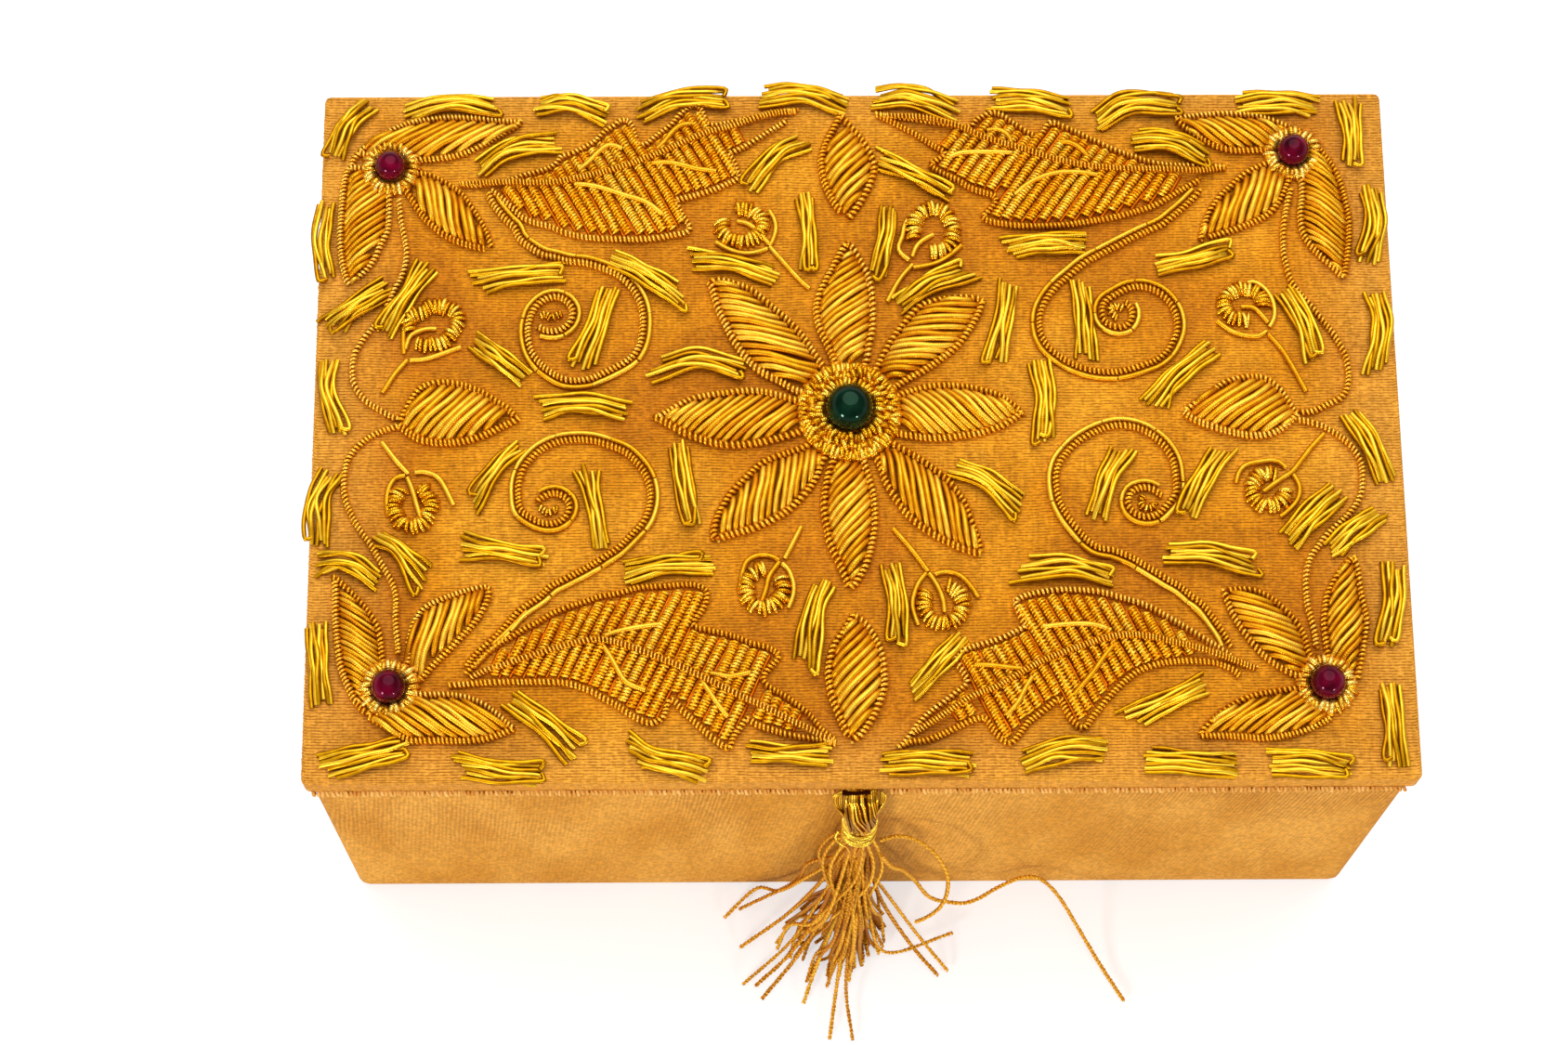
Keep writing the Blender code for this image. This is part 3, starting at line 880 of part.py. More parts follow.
def add_rosette(name, shares, ring_profile, strand_profile):
    """A horseshoe of crimped bullion, with its calyx of two prongs and its stem."""
    centre, junction, root = (on_lid(share) for share in shares)
    toward = junction - centre
    angle = math.atan2(toward.y, toward.x)
    mouth = math.radians(ROSETTE_MOUTH_DEGREES)
    ring_radius = ROSETTE_RADIUS - ROSETTE_RING_WIDTH / 2
    ring_path = arc_points(centre, ring_radius, angle + mouth, math.tau - 2 * mouth, ROSETTE_ARC_POINTS)
    ring = swept_mesh(name, [ring_path], ring_profile)
    rosette = add_mesh(name, ring, "gold_wire")
    prong_radius = ROSETTE_RADIUS - PRONG_OVERLAP + STRAND_WIDTH / 2
    knot = centre + toward.normalized() * prong_radius
    reach = math.radians(PRONG_DEGREES)
    prongs = arc_points(centre, prong_radius, angle - reach, 2 * reach, 2 * PRONG_POINTS)
    stem = [root, junction, knot, centre + toward.normalized() * ROSETTE_RING_WIDTH / 2]
    for part, path in (("calyx", prongs), ("stem", stem)):
        strand = add_mesh(name + "_" + part, swept_mesh(name + part, [path], strand_profile), "gold_wire")
        combine(rosette, strand, "UNION")


def add_embroidery():
    coil_profile = strip_profile("coil_profile", COIL_WIDTH, COIL_HEIGHT)
    rib_profile = strip_profile("rib_profile", MIDRIB_WIDTH, MIDRIB_HEIGHT)
    ring_profile = strip_profile("ring_profile", ROSETTE_RING_WIDTH, ROSETTE_HEIGHT)
    strand_profile = strip_profile("strand_profile", STRAND_WIDTH, STRAND_HEIGHT)
    add_centre_flower()
    for corner in CORNER_BEAD_SHARES:
        add_corner_flower(corner)
        add_leaf_spray(corner, coil_profile, rib_profile)
    for side in SIDE_ALMOND_SHARES:
        add_side_spray(side, coil_profile)
    for name, shares in ROSETTE_SHARES.items():
        add_rosette(name, shares, ring_profile, strand_profile)


def smooth_route(route, step):
    """Points at an even step on a smooth curve through the route's own points."""
    places = [Vector(place) for place in route]
    ends = [2 * places[0] - places[1]] + places + [2 * places[-1] - places[-2]]
    fine = []
    for a, b, c, d in zip(ends, ends[1:], ends[2:], ends[3:]):
        for part in range(20):
            t = part / 20
            fine.append(0.5 * (2 * b + (c - a) * t + (2 * a - 5 * b + 4 * c - d) * t ** 2
                               + (3 * b - a - 3 * c + d) * t ** 3))
    fine.append(places[-1])
    length = sum((q - p).length for p, q in zip(fine, fine[1:]))
    spacing = length / round(length / step)
    chosen = [fine[0]]
    walked = 0.0
    for p, q in zip(fine, fine[1:]):
        walked += (q - p).length
        if walked >= spacing * len(chosen) and q is not fine[-1]:
            chosen.append(q)
    return chosen + [fine[-1]]


def add_tube(name, points, radius, sides_level, finish_name, radii=None):
    """A round tube with closed ends along the points."""
    curve = bpy.data.curves.new(name, "CURVE")
    curve.dimensions = "3D"
    curve.bevel_depth = radius
    curve.bevel_resolution = sides_level
    curve.use_fill_caps = True
    spline = curve.splines.new("POLY")
    spline.points.add(len(points) - 1)
    for number, (point, place) in enumerate(zip(spline.points, points)):
        point.co = (*place, 1.0)
        point.radius = radii[number] if radii else 1.0
    curve.materials.append(finish(finish_name))
    tube = bpy.data.objects.new(name, curve)
    bpy.context.scene.collection.objects.link(tube)
    return tube


def strand_mesh(name, points, radius):
    """A strand made into a mesh, ready to be joined to the skirt."""
    strand = add_tube(name, points, radius, 1, "gold_thread")
    curve = strand.data
    bpy.data.objects.remove(strand)
    return mesh_of(curve)


def least_gap(points, diameter, turn_points):
    """The least clear distance between a wound thread and itself, one turn or more along."""
    nearest = min((a - b).length for i, a in enumerate(points) for b in points[i + turn_points // 2:])
    return nearest - diameter


def add_tassel():
    tie_low = LID_UNDERSIDE + GAP / 3
    tie_front = -LID_Y - TIE_OUT
    board("tassel_tie", (-TIE_WIDTH / 2, tie_front, tie_low),
          (TIE_WIDTH / 2, tie_front + TIE_LENGTH, tie_low + TIE_THICKNESS), "gold_thread")
    crown = Vector((0.0, tie_front - HEAD_DROP, tie_low - GAP))
    head_path = [crown + Vector((0.0, -HEAD_LEAN * share, -HEAD_LENGTH * share)) for share, _ in HEAD_SHARES]
    head = add_tube("tassel_head", head_path, HEAD_RADIUS, 2, "gold_thread", [width for _, width in HEAD_SHARES])
    neck_bottom = head_path[-1]
    add_binding(neck_bottom)
    add_skirt(neck_bottom)
    for name, route in (("stray_strand_long", LONG_STRAY_ROUTE), ("stray_strand_loop", LOOP_STRAY_ROUTE)):
        add_tube(name, smooth_route(route, STRAY_STEP), STRAY_STRAND / 2, 2, "gold_thread")
    return head


def add_binding(neck_bottom):
    """The thread wound round the neck, one unbroken tube of several turns."""
    pitch = BINDING_THREAD + BINDING_GAP
    radius = NECK_RADIUS + GAP + BINDING_THREAD / 2
    lean = HEAD_LEAN / HEAD_LENGTH
    points = []
    for step in range(BINDING_TURNS * BINDING_LOOP_POINTS + 1):
        turn = step / BINDING_LOOP_POINTS
        rise = BINDING_THREAD + pitch * turn
        angle = math.tau * turn
        offset = Vector((radius * math.cos(angle), radius * math.sin(angle) + lean * rise, rise))
        points.append(neck_bottom + offset)
    add_tube("neck_binding", points, BINDING_THREAD / 2, 1, "gold_thread")
    print("neck binding, least gap to itself: %.5f m" % least_gap(points, BINDING_THREAD, BINDING_LOOP_POINTS))


def skirt_ring(top, drop, row):
    height, half_width, half_depth, lean = row
    centre = Vector((top.x, top.y - lean * drop, height * drop))
    places = []
    for side in range(SKIRT_SIDES):
        angle = math.tau * side / SKIRT_SIDES
        arm = Vector((half_width * math.cos(angle), half_depth * math.sin(angle), 0.0))
        places.append(centre + arm * drop)
    return places


def add_skirt(neck_bottom):
    """The tassel's skirt of gold threads, standing on the table and splaying over it."""
    top = Vector((neck_bottom.x, neck_bottom.y, neck_bottom.z - GAP))
    drop = top.z
    bm = bmesh.new()
    loops = []
    for row in SKIRT_SHARES:
        verts = [bm.verts.new(place) for place in skirt_ring(top, drop, row)]
        loops.append([bm.edges.new((a, b)) for a, b in zip(verts, verts[1:] + verts[:1])])
    for upper, lower in zip(loops, loops[1:]):
        bmesh.ops.bridge_loops(bm, edges=upper + lower)
    for loop in (loops[0], loops[-1]):
        bmesh.ops.contextual_create(bm, geom=loop)
    skirt = add_solid("tassel_skirt", bm, "gold_thread")
    start_height = drop * STRAND_START_SHARE
    radius = SKIRT_STRAND / 2
    for number, (across, out) in enumerate(STRAND_END_SHARES):
        end = Vector((top.x + across * drop, top.y - out * drop, radius * STRAND_LIFT_SHARE))
        start = Vector((top.x + across * drop * STRAND_SPREAD_SHARE,
                        top.y - drop * (STRAND_ROOT_SHARE + STRAND_FAN_SHARE * out), start_height))
        low = start.lerp(end, STRAND_SAG_SHARE)
        low.z = radius * 2
        points = [start.lerp(low, t).lerp(low.lerp(end, t), t)
                  for t in (k / (SKIRT_STRAND_POINTS - 1) for k in range(SKIRT_STRAND_POINTS))]
        name = "skirt_strand_%d" % number
        combine(skirt, add_mesh(name, strand_mesh(name, points, radius), "gold_thread"), "UNION")


def add_axis(name, place, holder=None):
    """An empty on a joint's axis, that carries the pieces which move on it."""
    axis = bpy.data.objects.new(name, None)
    bpy.context.scene.collection.objects.link(axis)
    axis.location = place
    axis.empty_display_size = LID_THICKNESS
    if holder:
        carry(holder, axis)
    return axis


def carry(holder, thing):
    """Parent a piece to a joint's empty where it stands."""
    thing.parent = holder
    thing.matrix_parent_inverse = Matrix.Translation(-holder.location)


def main():
    clear_scene()
    fold_height = LID_UNDERSIDE - GAP / 2
    lid_axis = add_axis("lid_axis", Vector((0.0, LID_Y + GAP + HINGE_STRIP_CLOTH / 2, fold_height)))
    tie_middle = LID_UNDERSIDE + GAP / 3 + TIE_THICKNESS / 2
    tassel_axis = add_axis("tassel_axis", Vector((0.0, -LID_Y - TIE_OUT, tie_middle)), lid_axis)
    add_base()
    fixed = set(bpy.data.objects)
    add_lid()
    add_hinge()
    add_embroidery()
    on_the_lid = set(bpy.data.objects) - fixed
    add_tassel()
    for thing in bpy.data.objects:
        if thing in fixed or thing.name == "hinge_wall_leaf":
            continue
        carries = lid_axis if thing in on_the_lid or thing.name == "tassel_tie" else tassel_axis
        carry(carries, thing)


main()
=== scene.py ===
import math
import random

import bmesh
import bpy
import numpy as np
from mathutils import Matrix, Vector


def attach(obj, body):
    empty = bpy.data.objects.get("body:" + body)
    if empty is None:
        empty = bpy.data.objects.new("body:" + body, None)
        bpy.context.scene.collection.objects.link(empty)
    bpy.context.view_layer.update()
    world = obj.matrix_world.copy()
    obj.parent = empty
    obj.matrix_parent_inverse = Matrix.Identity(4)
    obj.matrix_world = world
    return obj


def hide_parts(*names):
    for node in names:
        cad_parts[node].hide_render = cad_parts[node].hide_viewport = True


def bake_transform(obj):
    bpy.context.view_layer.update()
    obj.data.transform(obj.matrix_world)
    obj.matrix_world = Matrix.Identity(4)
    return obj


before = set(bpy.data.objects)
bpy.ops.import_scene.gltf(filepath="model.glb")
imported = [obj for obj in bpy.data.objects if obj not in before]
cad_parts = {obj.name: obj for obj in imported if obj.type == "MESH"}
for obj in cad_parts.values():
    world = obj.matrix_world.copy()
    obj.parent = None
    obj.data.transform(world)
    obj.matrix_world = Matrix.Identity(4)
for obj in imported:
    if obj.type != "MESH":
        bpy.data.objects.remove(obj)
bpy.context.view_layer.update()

# Sizes in millimetres; a piece is brought to metres when its mesh is made.
MM = 0.001
LID_W = 152.0
LID_D = 101.6
LID_TOP = 68.0
LID_UNDER = 63.0
CLOTH = 0.45

# Gold wires and threads: a coil has its wire's radius, its own radius, the pitch of its turns, its height
# over the cloth and how far it lies inside an edge; the other threads have their radius.
COIL_WIRE = 0.225
COIL_REACH = 0.39
COIL_PITCH = 0.6
COIL_HEIGHT = 0.55
COIL_INSET = 0.38
STRAND = 0.4
DASH_STRAND = 0.35
GIMP = 0.35

# Radius of the ring round a bead, where the petals start.
FLOWER_RING = 7.0
CORNER_RING = 3.7

# How high the tassel's tie lies, how near the tassel's threads come to the wall at its head, neck and
# skirt, and how near to the table.
TIE_LEVEL = 63.45
HEAD_FRONT = -50.9
NECK_FRONT = -50.8
SKIRT_FRONT = -51.1
SKIRT_FLOOR = 0.36

# Stray threads of the tassel, in metres: the same points as the solids'.
LONG_STRAY = (
    (0.0032, -0.0556, 0.0432), (0.0050, -0.0556, 0.0360), (0.0069, -0.0544, 0.0280),
    (0.0090, -0.0542, 0.0200), (0.0114, -0.0552, 0.0130), (0.0144, -0.0554, 0.0098),
    (0.0180, -0.0552, 0.0092), (0.0225, -0.0530, 0.0102), (0.0260, -0.0521, 0.0122),
    (0.0287, -0.0525, 0.0112), (0.0315, -0.0543, 0.0072), (0.0346, -0.0582, 0.0030),
    (0.0380, -0.0635, 0.0009), (0.0414, -0.0689, 0.0006),
)
LOOP_STRAY = (
    (0.0031, -0.0536, 0.0443), (0.0056, -0.0532, 0.0450), (0.0084, -0.0534, 0.0429),
    (0.0113, -0.0546, 0.0385), (0.0131, -0.0561, 0.0325), (0.0134, -0.0574, 0.0270),
    (0.0127, -0.0585, 0.0220), (0.0110, -0.0592, 0.0180), (0.0092, -0.0596, 0.0158),
)

# Places on the lid, in all tables from here to the dashes, are in percent of its width and depth,
# counted from its middle. Each corner bead has its place and then its diameter in millimetres.
CENTRE = (-0.75, 2.1)
CORNER_BEADS = {
    "back_left": (-43.5, 38.6, 4.27),
    "back_right": (41.3, 40.5, 4.5),
    "front_left": (-42.3, -37.0, 4.7),
    "front_right": (41.8, -37.0, 4.8),
}

# Centre petals and the four almond leaves: name, one edge, other edge, lay of the strands in degrees.
PETALS = (
    ("petal_back",
     ((-2.5, 10), (-3, 12), (-3.6, 14), (-3.9, 16), (-3.9, 18), (-3.5, 20), (-2.9, 22), (-2.2, 24),
      (-1.6, 25.8), (-1.1, 27), (-0.7, 27.3)),
     ((1.2, 9.8), (1.4, 12), (1.7, 14), (1.8, 16), (1.8, 18), (1.7, 20), (1.4, 22), (1, 23.5), (0.5, 25),
      (0, 26.5), (-0.4, 27.2)),
     38),
    ("petal_back_right",
     ((2.2, 10.5), (2.7, 12), (3.4, 13.6), (4.2, 15.2), (5, 16.7), (6, 18), (7.3, 18.7), (8.8, 19.1),
      (10.2, 19.2), (11.4, 19), (11.9, 18.5)),
     ((3.9, 5.6), (5, 6.7), (6.2, 7.7), (7.5, 9), (8.8, 10.5), (9.8, 12), (10.6, 13.8), (11.2, 15.3),
      (11.7, 16.8), (12, 18)),
     3),
    ("petal_right",
     ((4.2, 5), (5.5, 5.7), (7, 6.1), (8.5, 6.2), (10, 6), (11.5, 5.5), (13, 4.8), (14, 3.8), (14.8, 2.8),
      (15.2, 2), (15.4, 1.6)),
     ((3.9, -1.6), (5, -1.9), (6.5, -2.2), (8, -2.2), (9.5, -1.9), (11, -1.6), (12.5, -0.9), (13.5, -0.3),
      (14.5, 0.7), (15.3, 1.7)),
     -43),
    ("petal_front_right",
     ((3.8, -2.8), (5, -3.8), (6.2, -5), (7.3, -6.3), (8.2, -7.5), (8.9, -8.8), (9.6, -10.3), (10.1, -12),
      (10.5, -14), (10.9, -15.8), (11.2, -17.2), (11.1, -18.2)),
     ((1.8, -6), (2.2, -8), (2.8, -9.8), (3.5, -11.5), (4.2, -13), (5.2, -14.5), (6.3, -15.7), (7.5, -16.8),
      (8.8, -17.8), (10, -18.5), (10.9, -18.9)),
     -80),
    ("petal_front",
     ((-2.9, -6.5), (-3.2, -8.5), (-3.4, -10.5), (-3.4, -12.5), (-3.2, -14.5), (-3, -16.5), (-2.5, -18.5),
      (-1.9, -20.5), (-1.5, -22), (-1.3, -23)),
     ((1, -6.3), (1.3, -8), (1.6, -10), (1.7, -12), (1.7, -14), (1.5, -16), (1.2, -18), (0.8, -20),
      (0.2, -21.8), (-0.4, -23.2), (-0.7, -23.4)),
     50),
    ("petal_front_left",
     ((-5, -2.7), (-6.2, -3.4), (-7.8, -4.2), (-9.1, -5.2), (-10.1, -6.6), (-11.2, -8.3), (-12.1, -10),
      (-12.9, -12.2), (-13.4, -14.2), (-13.5, -15.8), (-13.2, -16.6)),
     ((-3.3, -6), (-3.6, -7.5), (-4.3, -9.2), (-5.2, -10.8), (-6.2, -12.3), (-7.4, -13.5), (-8.8, -14.6),
      (-10, -15.3), (-11.5, -15.9), (-12.8, -16.5)),
     82),
    ("petal_left",
     ((-6, 4.2), (-7.3, 4.9), (-8.8, 5.4), (-10.5, 5.5), (-12.2, 5.2), (-14, 4.8), (-15.5, 4.2),
      (-16.8, 3.2), (-17.8, 2.3), (-18.6, 1.6)),
     ((-5.6, -1.4), (-7, -2), (-8.5, -2.6), (-10, -3), (-11.5, -3.1), (-13, -2.9), (-14.5, -2.2),
      (-16, -1.3), (-17.2, -0.2), (-18.4, 0.8), (-18.9, 1.2)),
     40),
    ("petal_back_left",
     ((-3.2, 9.6), (-4, 11.5), (-4.8, 13.4), (-5.8, 15.2), (-7, 17), (-8.2, 18.6), (-9.4, 20.2),
      (-10.5, 21), (-11.7, 21.6), (-13, 21.9), (-13.6, 21.5)),
     ((-6, 5), (-7.2, 6.2), (-8.5, 7.2), (-9.6, 8.4), (-10.5, 10), (-11.2, 11.5), (-11.8, 13),
      (-12.3, 14.8), (-12.8, 16.3), (-13.2, 18), (-13.5, 20), (-13.8, 21)),
     -12),
    ("side_spray_left",
     ((-42.2, 1.2), (-41.6, 3), (-40.9, 5), (-40, 6.3), (-38.7, 6.9), (-37.5, 6.9), (-36, 6.4),
      (-34.5, 5.5), (-33.2, 4.2), (-32, 3), (-31.2, 1.6)),
     ((-42.2, 0), (-41.2, -1.2), (-40, -2.2), (-38.5, -2.6), (-37, -2.6), (-35.5, -2.2), (-34, -1.4),
      (-32.8, -0.4), (-31.8, 0.3), (-31, 1)),
     47),
    ("side_spray_right",
     ((40.6, 1.6), (40.3, 2.3), (39.9, 3.5), (39.3, 5), (38.5, 6.3), (37.5, 7.1), (36.3, 7.3), (35, 7),
      (33.8, 6.4), (32.8, 5.4), (31.8, 4.2), (30.8, 3.2), (30.1, 2.4)),
     ((40.6, 1.2), (40.3, 0.7), (39.8, 0), (39.1, -0.9), (38.2, -1.6), (37, -2), (35.8, -2), (34.5, -1.6),
      (33.3, -1.1), (32.2, -0.5), (31, 0.2), (30.2, 1), (29.9, 1.7)),
     35),
    ("almond_leaf_back",
     ((-1.4, 46.8), (-1.8, 45.5), (-2.3, 44), (-2.9, 42.2), (-3.3, 40), (-3.3, 38), (-3, 36), (-2.5, 34),
      (-1.9, 32.3), (-1.4, 31.3)),
     ((-0.9, 46.5), (-0.3, 45.3), (0.3, 44.2), (1, 42.8), (1.6, 41.2), (2, 39.8), (2.1, 38), (1.8, 36.3),
      (1.3, 34.6), (0.7, 33), (0.2, 31.8), (-0.2, 30.8), (-0.6, 30.5)),
     48),
    ("almond_leaf_front",
     ((-0.8, -26.8), (-1.3, -28), (-1.9, -29.5), (-2.6, -31), (-3, -33), (-3.2, -35), (-3.1, -37),
      (-2.8, -39), (-2.3, -41), (-1.9, -42.5), (-1.5, -44)),
     ((-0.3, -27), (0.6, -28), (1.2, -29.3), (1.8, -31), (2.2, -33), (2.3, -35), (2.3, -37), (1.9, -39),
      (1.3, -41), (0.7, -42.5), (0.1, -43.8), (-0.5, -44.6), (-0.9, -44.7)),
     48),
)

# Petals of each corner flower: one edge, other edge, lay of the strands.
CORNER_PETALS = {
    "back_left": (
        (((-40.8, 39.5), (-39.5, 39.6), (-38, 39.9), (-36.5, 40.5), (-35, 41.6), (-33.5, 43), (-32, 44.4),
          (-31.3, 45.2), (-31.2, 45.6)),
         ((-46.8, 41), (-45.5, 42.9), (-44, 44.4), (-42, 45.8), (-40, 46.4), (-38, 46.7), (-36, 46.6),
          (-34, 46.3), (-32.2, 46), (-31.2, 45.9)),
         32),
        (((-47.5, 39), (-48, 37), (-48.2, 34), (-48.3, 31), (-48.3, 28), (-48.1, 25), (-47.8, 23),
          (-47.4, 21), (-47.3, 20.9)),
         ((-43.3, 33), (-43.3, 31), (-43.4, 29), (-44, 27), (-44.5, 25), (-45.2, 23.3), (-46.2, 21.8)),
         42),
        (((-41, 38.2), (-40, 38), (-39, 37.4), (-37.5, 36), (-36.5, 34.7), (-35.7, 33), (-35, 31.3),
          (-34.3, 29.3), (-33.8, 27.5), (-33.7, 26.8)),
         ((-42, 34.5), (-41.3, 32.8), (-40.5, 31), (-39.5, 29.4), (-38.3, 28), (-37, 27), (-35.5, 26.3),
          (-34.6, 26)),
         -78),
    ),
    "back_right": (
        (((41.7, 44.4), (40.5, 45.3), (39.3, 46), (38, 46.6), (36.3, 46.8), (34.7, 46.9), (33, 46.7),
          (31.5, 46.4), (30.3, 46.4)),
         ((38.4, 40.6), (37.3, 40.5), (36, 40.5), (34.8, 40.8), (33.5, 41.7), (32.3, 42.8), (31.2, 44),
          (30.4, 45.2), (30.3, 45.7)),
         -35),
        (((42.5, 43.8), (43.3, 42.8), (44.2, 41), (45, 39.2), (45.6, 37.5), (46, 35.5), (46.3, 33),
          (46.5, 31), (46.5, 29), (46.4, 27), (46.2, 25), (46, 23.5), (45.8, 22), (45.6, 21.5)),
         ((41.8, 35.5), (41.7, 33.5), (41.5, 31.5), (41.5, 29.5), (41.7, 28), (42.2, 26.5), (43, 25),
          (43.8, 23.7), (44.6, 22.5), (45.2, 21.4)),
         -38),
        (((38.3, 39), (37.3, 38.3), (36.2, 37.2), (35.2, 35.8), (34.3, 34.5), (33.7, 33.3), (33.1, 32),
          (32.7, 30.6), (32.3, 29), (32.1, 27.5), (32, 27.3)),
         ((41, 36), (40.5, 34.5), (40, 33), (39.3, 31.5), (38.5, 30.5), (37.5, 29.7), (36.4, 29),
          (35.2, 28.3), (34, 27.7), (33, 27.3)),
         72),
    ),
    "front_right": (
        (((38.6, -37.3), (37.3, -37.6), (36, -37.9), (34.7, -38.4), (33.5, -39.2), (32.5, -40.1),
          (31.5, -41.3), (30.8, -42.3), (30.3, -43), (30.1, -43.7)),
         ((42.2, -41.8), (41, -42.8), (39.8, -43.7), (38.5, -44.3), (37, -44.7), (35.5, -44.8), (34, -44.6),
          (32.5, -44.5), (31, -44.5), (30.2, -44.5)),
         35),
        (((40.5, -32.3), (40.3, -30.5), (39.9, -29), (39.2, -27.5), (38.5, -26.3), (37.6, -25), (36.6, -24),
          (35.5, -23.4), (34.2, -23.3), (33.2, -23.4)),
         ((38.9, -36.1), (37.9, -35.3), (36.9, -34.3), (35.9, -33), (35.1, -31.5), (34.4, -30),
          (33.8, -28.5), (33.3, -27), (33, -25.5), (32.7, -24.2), (32.8, -23.8)),
         -18),
        (((41.7, -32), (41.6, -30), (41.6, -28), (41.8, -26), (42, -24.5), (42.5, -23), (43.1, -21.5),
          (43.8, -20.2), (44.4, -19.1), (45, -19)),
         ((44.6, -36.8), (44.9, -35.8), (45.2, -34), (45.5, -32), (45.8, -30), (46, -28), (45.8, -26),
          (45.6, -24), (45.5, -22), (45.4, -20.5), (45.1, -19)),
         52),
    ),
    "front_left": (
        (((-42.8, -32.3), (-42.9, -30.5), (-43.1, -29), (-43.6, -27.3), (-44.3, -25.8), (-45.1, -24.4),
          (-46, -23), (-46.8, -21.8), (-47.5, -21), (-47.8, -21)),
         ((-45.3, -39.3), (-46, -37.5), (-46.6, -35.5), (-47, -33.8), (-47.2, -32), (-47.4, -30),
          (-47.5, -28), (-47.6, -26), (-47.6, -24), (-47.7, -22)),
         -33),
        (((-39.3, -37.5), (-38, -37.5), (-36.5, -37.6), (-35.2, -38), (-34, -38.7), (-33, -39.7),
          (-32.1, -40.8), (-31.4, -41.8), (-30.9, -42.4)),
         ((-44.4, -40.8), (-43.3, -42), (-42.2, -43), (-41.2, -43.9), (-40.3, -44.6), (-39, -44.6),
          (-37.5, -44.6), (-36, -44.7), (-34.5, -44.6), (-33, -44.2), (-31.8, -43.5), (-31, -43)),
         -33),
        (((-40.8, -32.8), (-40.9, -31), (-40.7, -29), (-40.4, -27.5), (-39.8, -26), (-39, -25),
          (-38, -24.3), (-37, -23.7), (-36, -23.2), (-34.8, -22.7), (-33.8, -22.5), (-33.3, -22.9)),
         ((-39.3, -36), (-38.7, -34.8), (-37.9, -33.5), (-36.9, -32), (-36, -30.5), (-35.1, -29),
          (-34.4, -27.6), (-33.8, -26), (-33.4, -24.5), (-33.3, -23.2)),
         76),
    ),
}

# Outer coils that carry on from petal to petal round a corner bead.
CORNER_JOINS = {
    "back_left": ((-46.8, 41), (-47.3, 40), (-47.5, 39)),
    "back_right": ((41.7, 44.4), (42.1, 44.2), (42.5, 43.8)),
    "front_left": ((-45.3, -39.3), (-44.9, -40.1), (-44.4, -40.8)),
}
# Width of a satin strand in each petal of the corner flowers.
CORNER_PITCH = {
    "back_left": (0.86, 0.74, 0.9), "back_right": (0.78, 0.68, 0.92),
    "front_left": (0.62, 0.8, 0.84), "front_right": (0.78, 0.8, 0.74),
}

# Single smooth strands beside the stems of the front leaves.
STEMS = {
    "leaf_spray_front_left": ((-33.2, -31.0), (-31.6, -28.7), (-30.1, -26.3)),
    "leaf_spray_front_right": ((30.0, -26.0), (31.2, -28.0), (32.4, -30.7)),
}

# Coil vines that run from the corner flowers to the side leaves.
SIDE_VINES = {
    "side_spray_left": (
        ((-42.6, 33.8), (-42.5, 32), (-42.3, 30), (-42, 28), (-41.8, 26), (-41.9, 24), (-42.2, 22.3),
         (-42.8, 20.4), (-43.3, 18.5), (-43.8, 16.5), (-44.8, 14.6), (-45.6, 13), (-46.3, 11), (-46.5, 9),
         (-46.4, 7), (-46, 5.5), (-45.2, 4), (-44.2, 2.9), (-43, 1.8), (-42.2, 1.2)),
        ((-42.2, 0.2), (-43.5, -0.4), (-44.7, -1.3), (-45.8, -2.7), (-46.6, -4.3), (-46.9, -6.5),
         (-46.9, -9), (-46.6, -11), (-46, -13), (-45.2, -15), (-44.4, -16.7), (-43.8, -18.2),
         (-43.2, -19.7), (-42.6, -21.3), (-42.2, -22.5), (-41.9, -24.5), (-41.9, -27), (-41.8, -29),
         (-41.6, -31), (-41.6, -32.3)),
    ),
    "side_spray_right": (
        ((41, 35), (40.6, 33), (40.3, 31), (40.1, 29), (40, 27), (40, 25), (40.2, 23.5), (40.4, 21.8),
         (40.8, 20.4), (41.4, 19), (42.1, 17.7), (42.9, 16), (43.6, 14.5), (44.3, 13), (44.8, 11.5),
         (45.2, 10), (45.4, 8), (45.3, 6), (45, 4.7), (44.3, 3.6), (43.3, 2.9), (42.3, 2.1), (41.3, 1.7),
         (40.6, 1.8)),
        ((40.5, 0.6), (41.5, 0.3), (42.7, -0.3), (43.8, -1.3), (44.8, -2.5), (45.6, -4), (46.1, -6),
         (46.1, -8), (45.9, -10), (45.3, -11.8), (44.5, -13.2), (43.5, -14.6), (42.5, -16), (41.7, -17.5),
         (41, -19), (40.6, -20.7), (40.4, -22.5), (40.4, -24.5), (40.5, -26.5), (40.8, -28.5), (41, -30.5),
         (41, -32)),
    ),
}

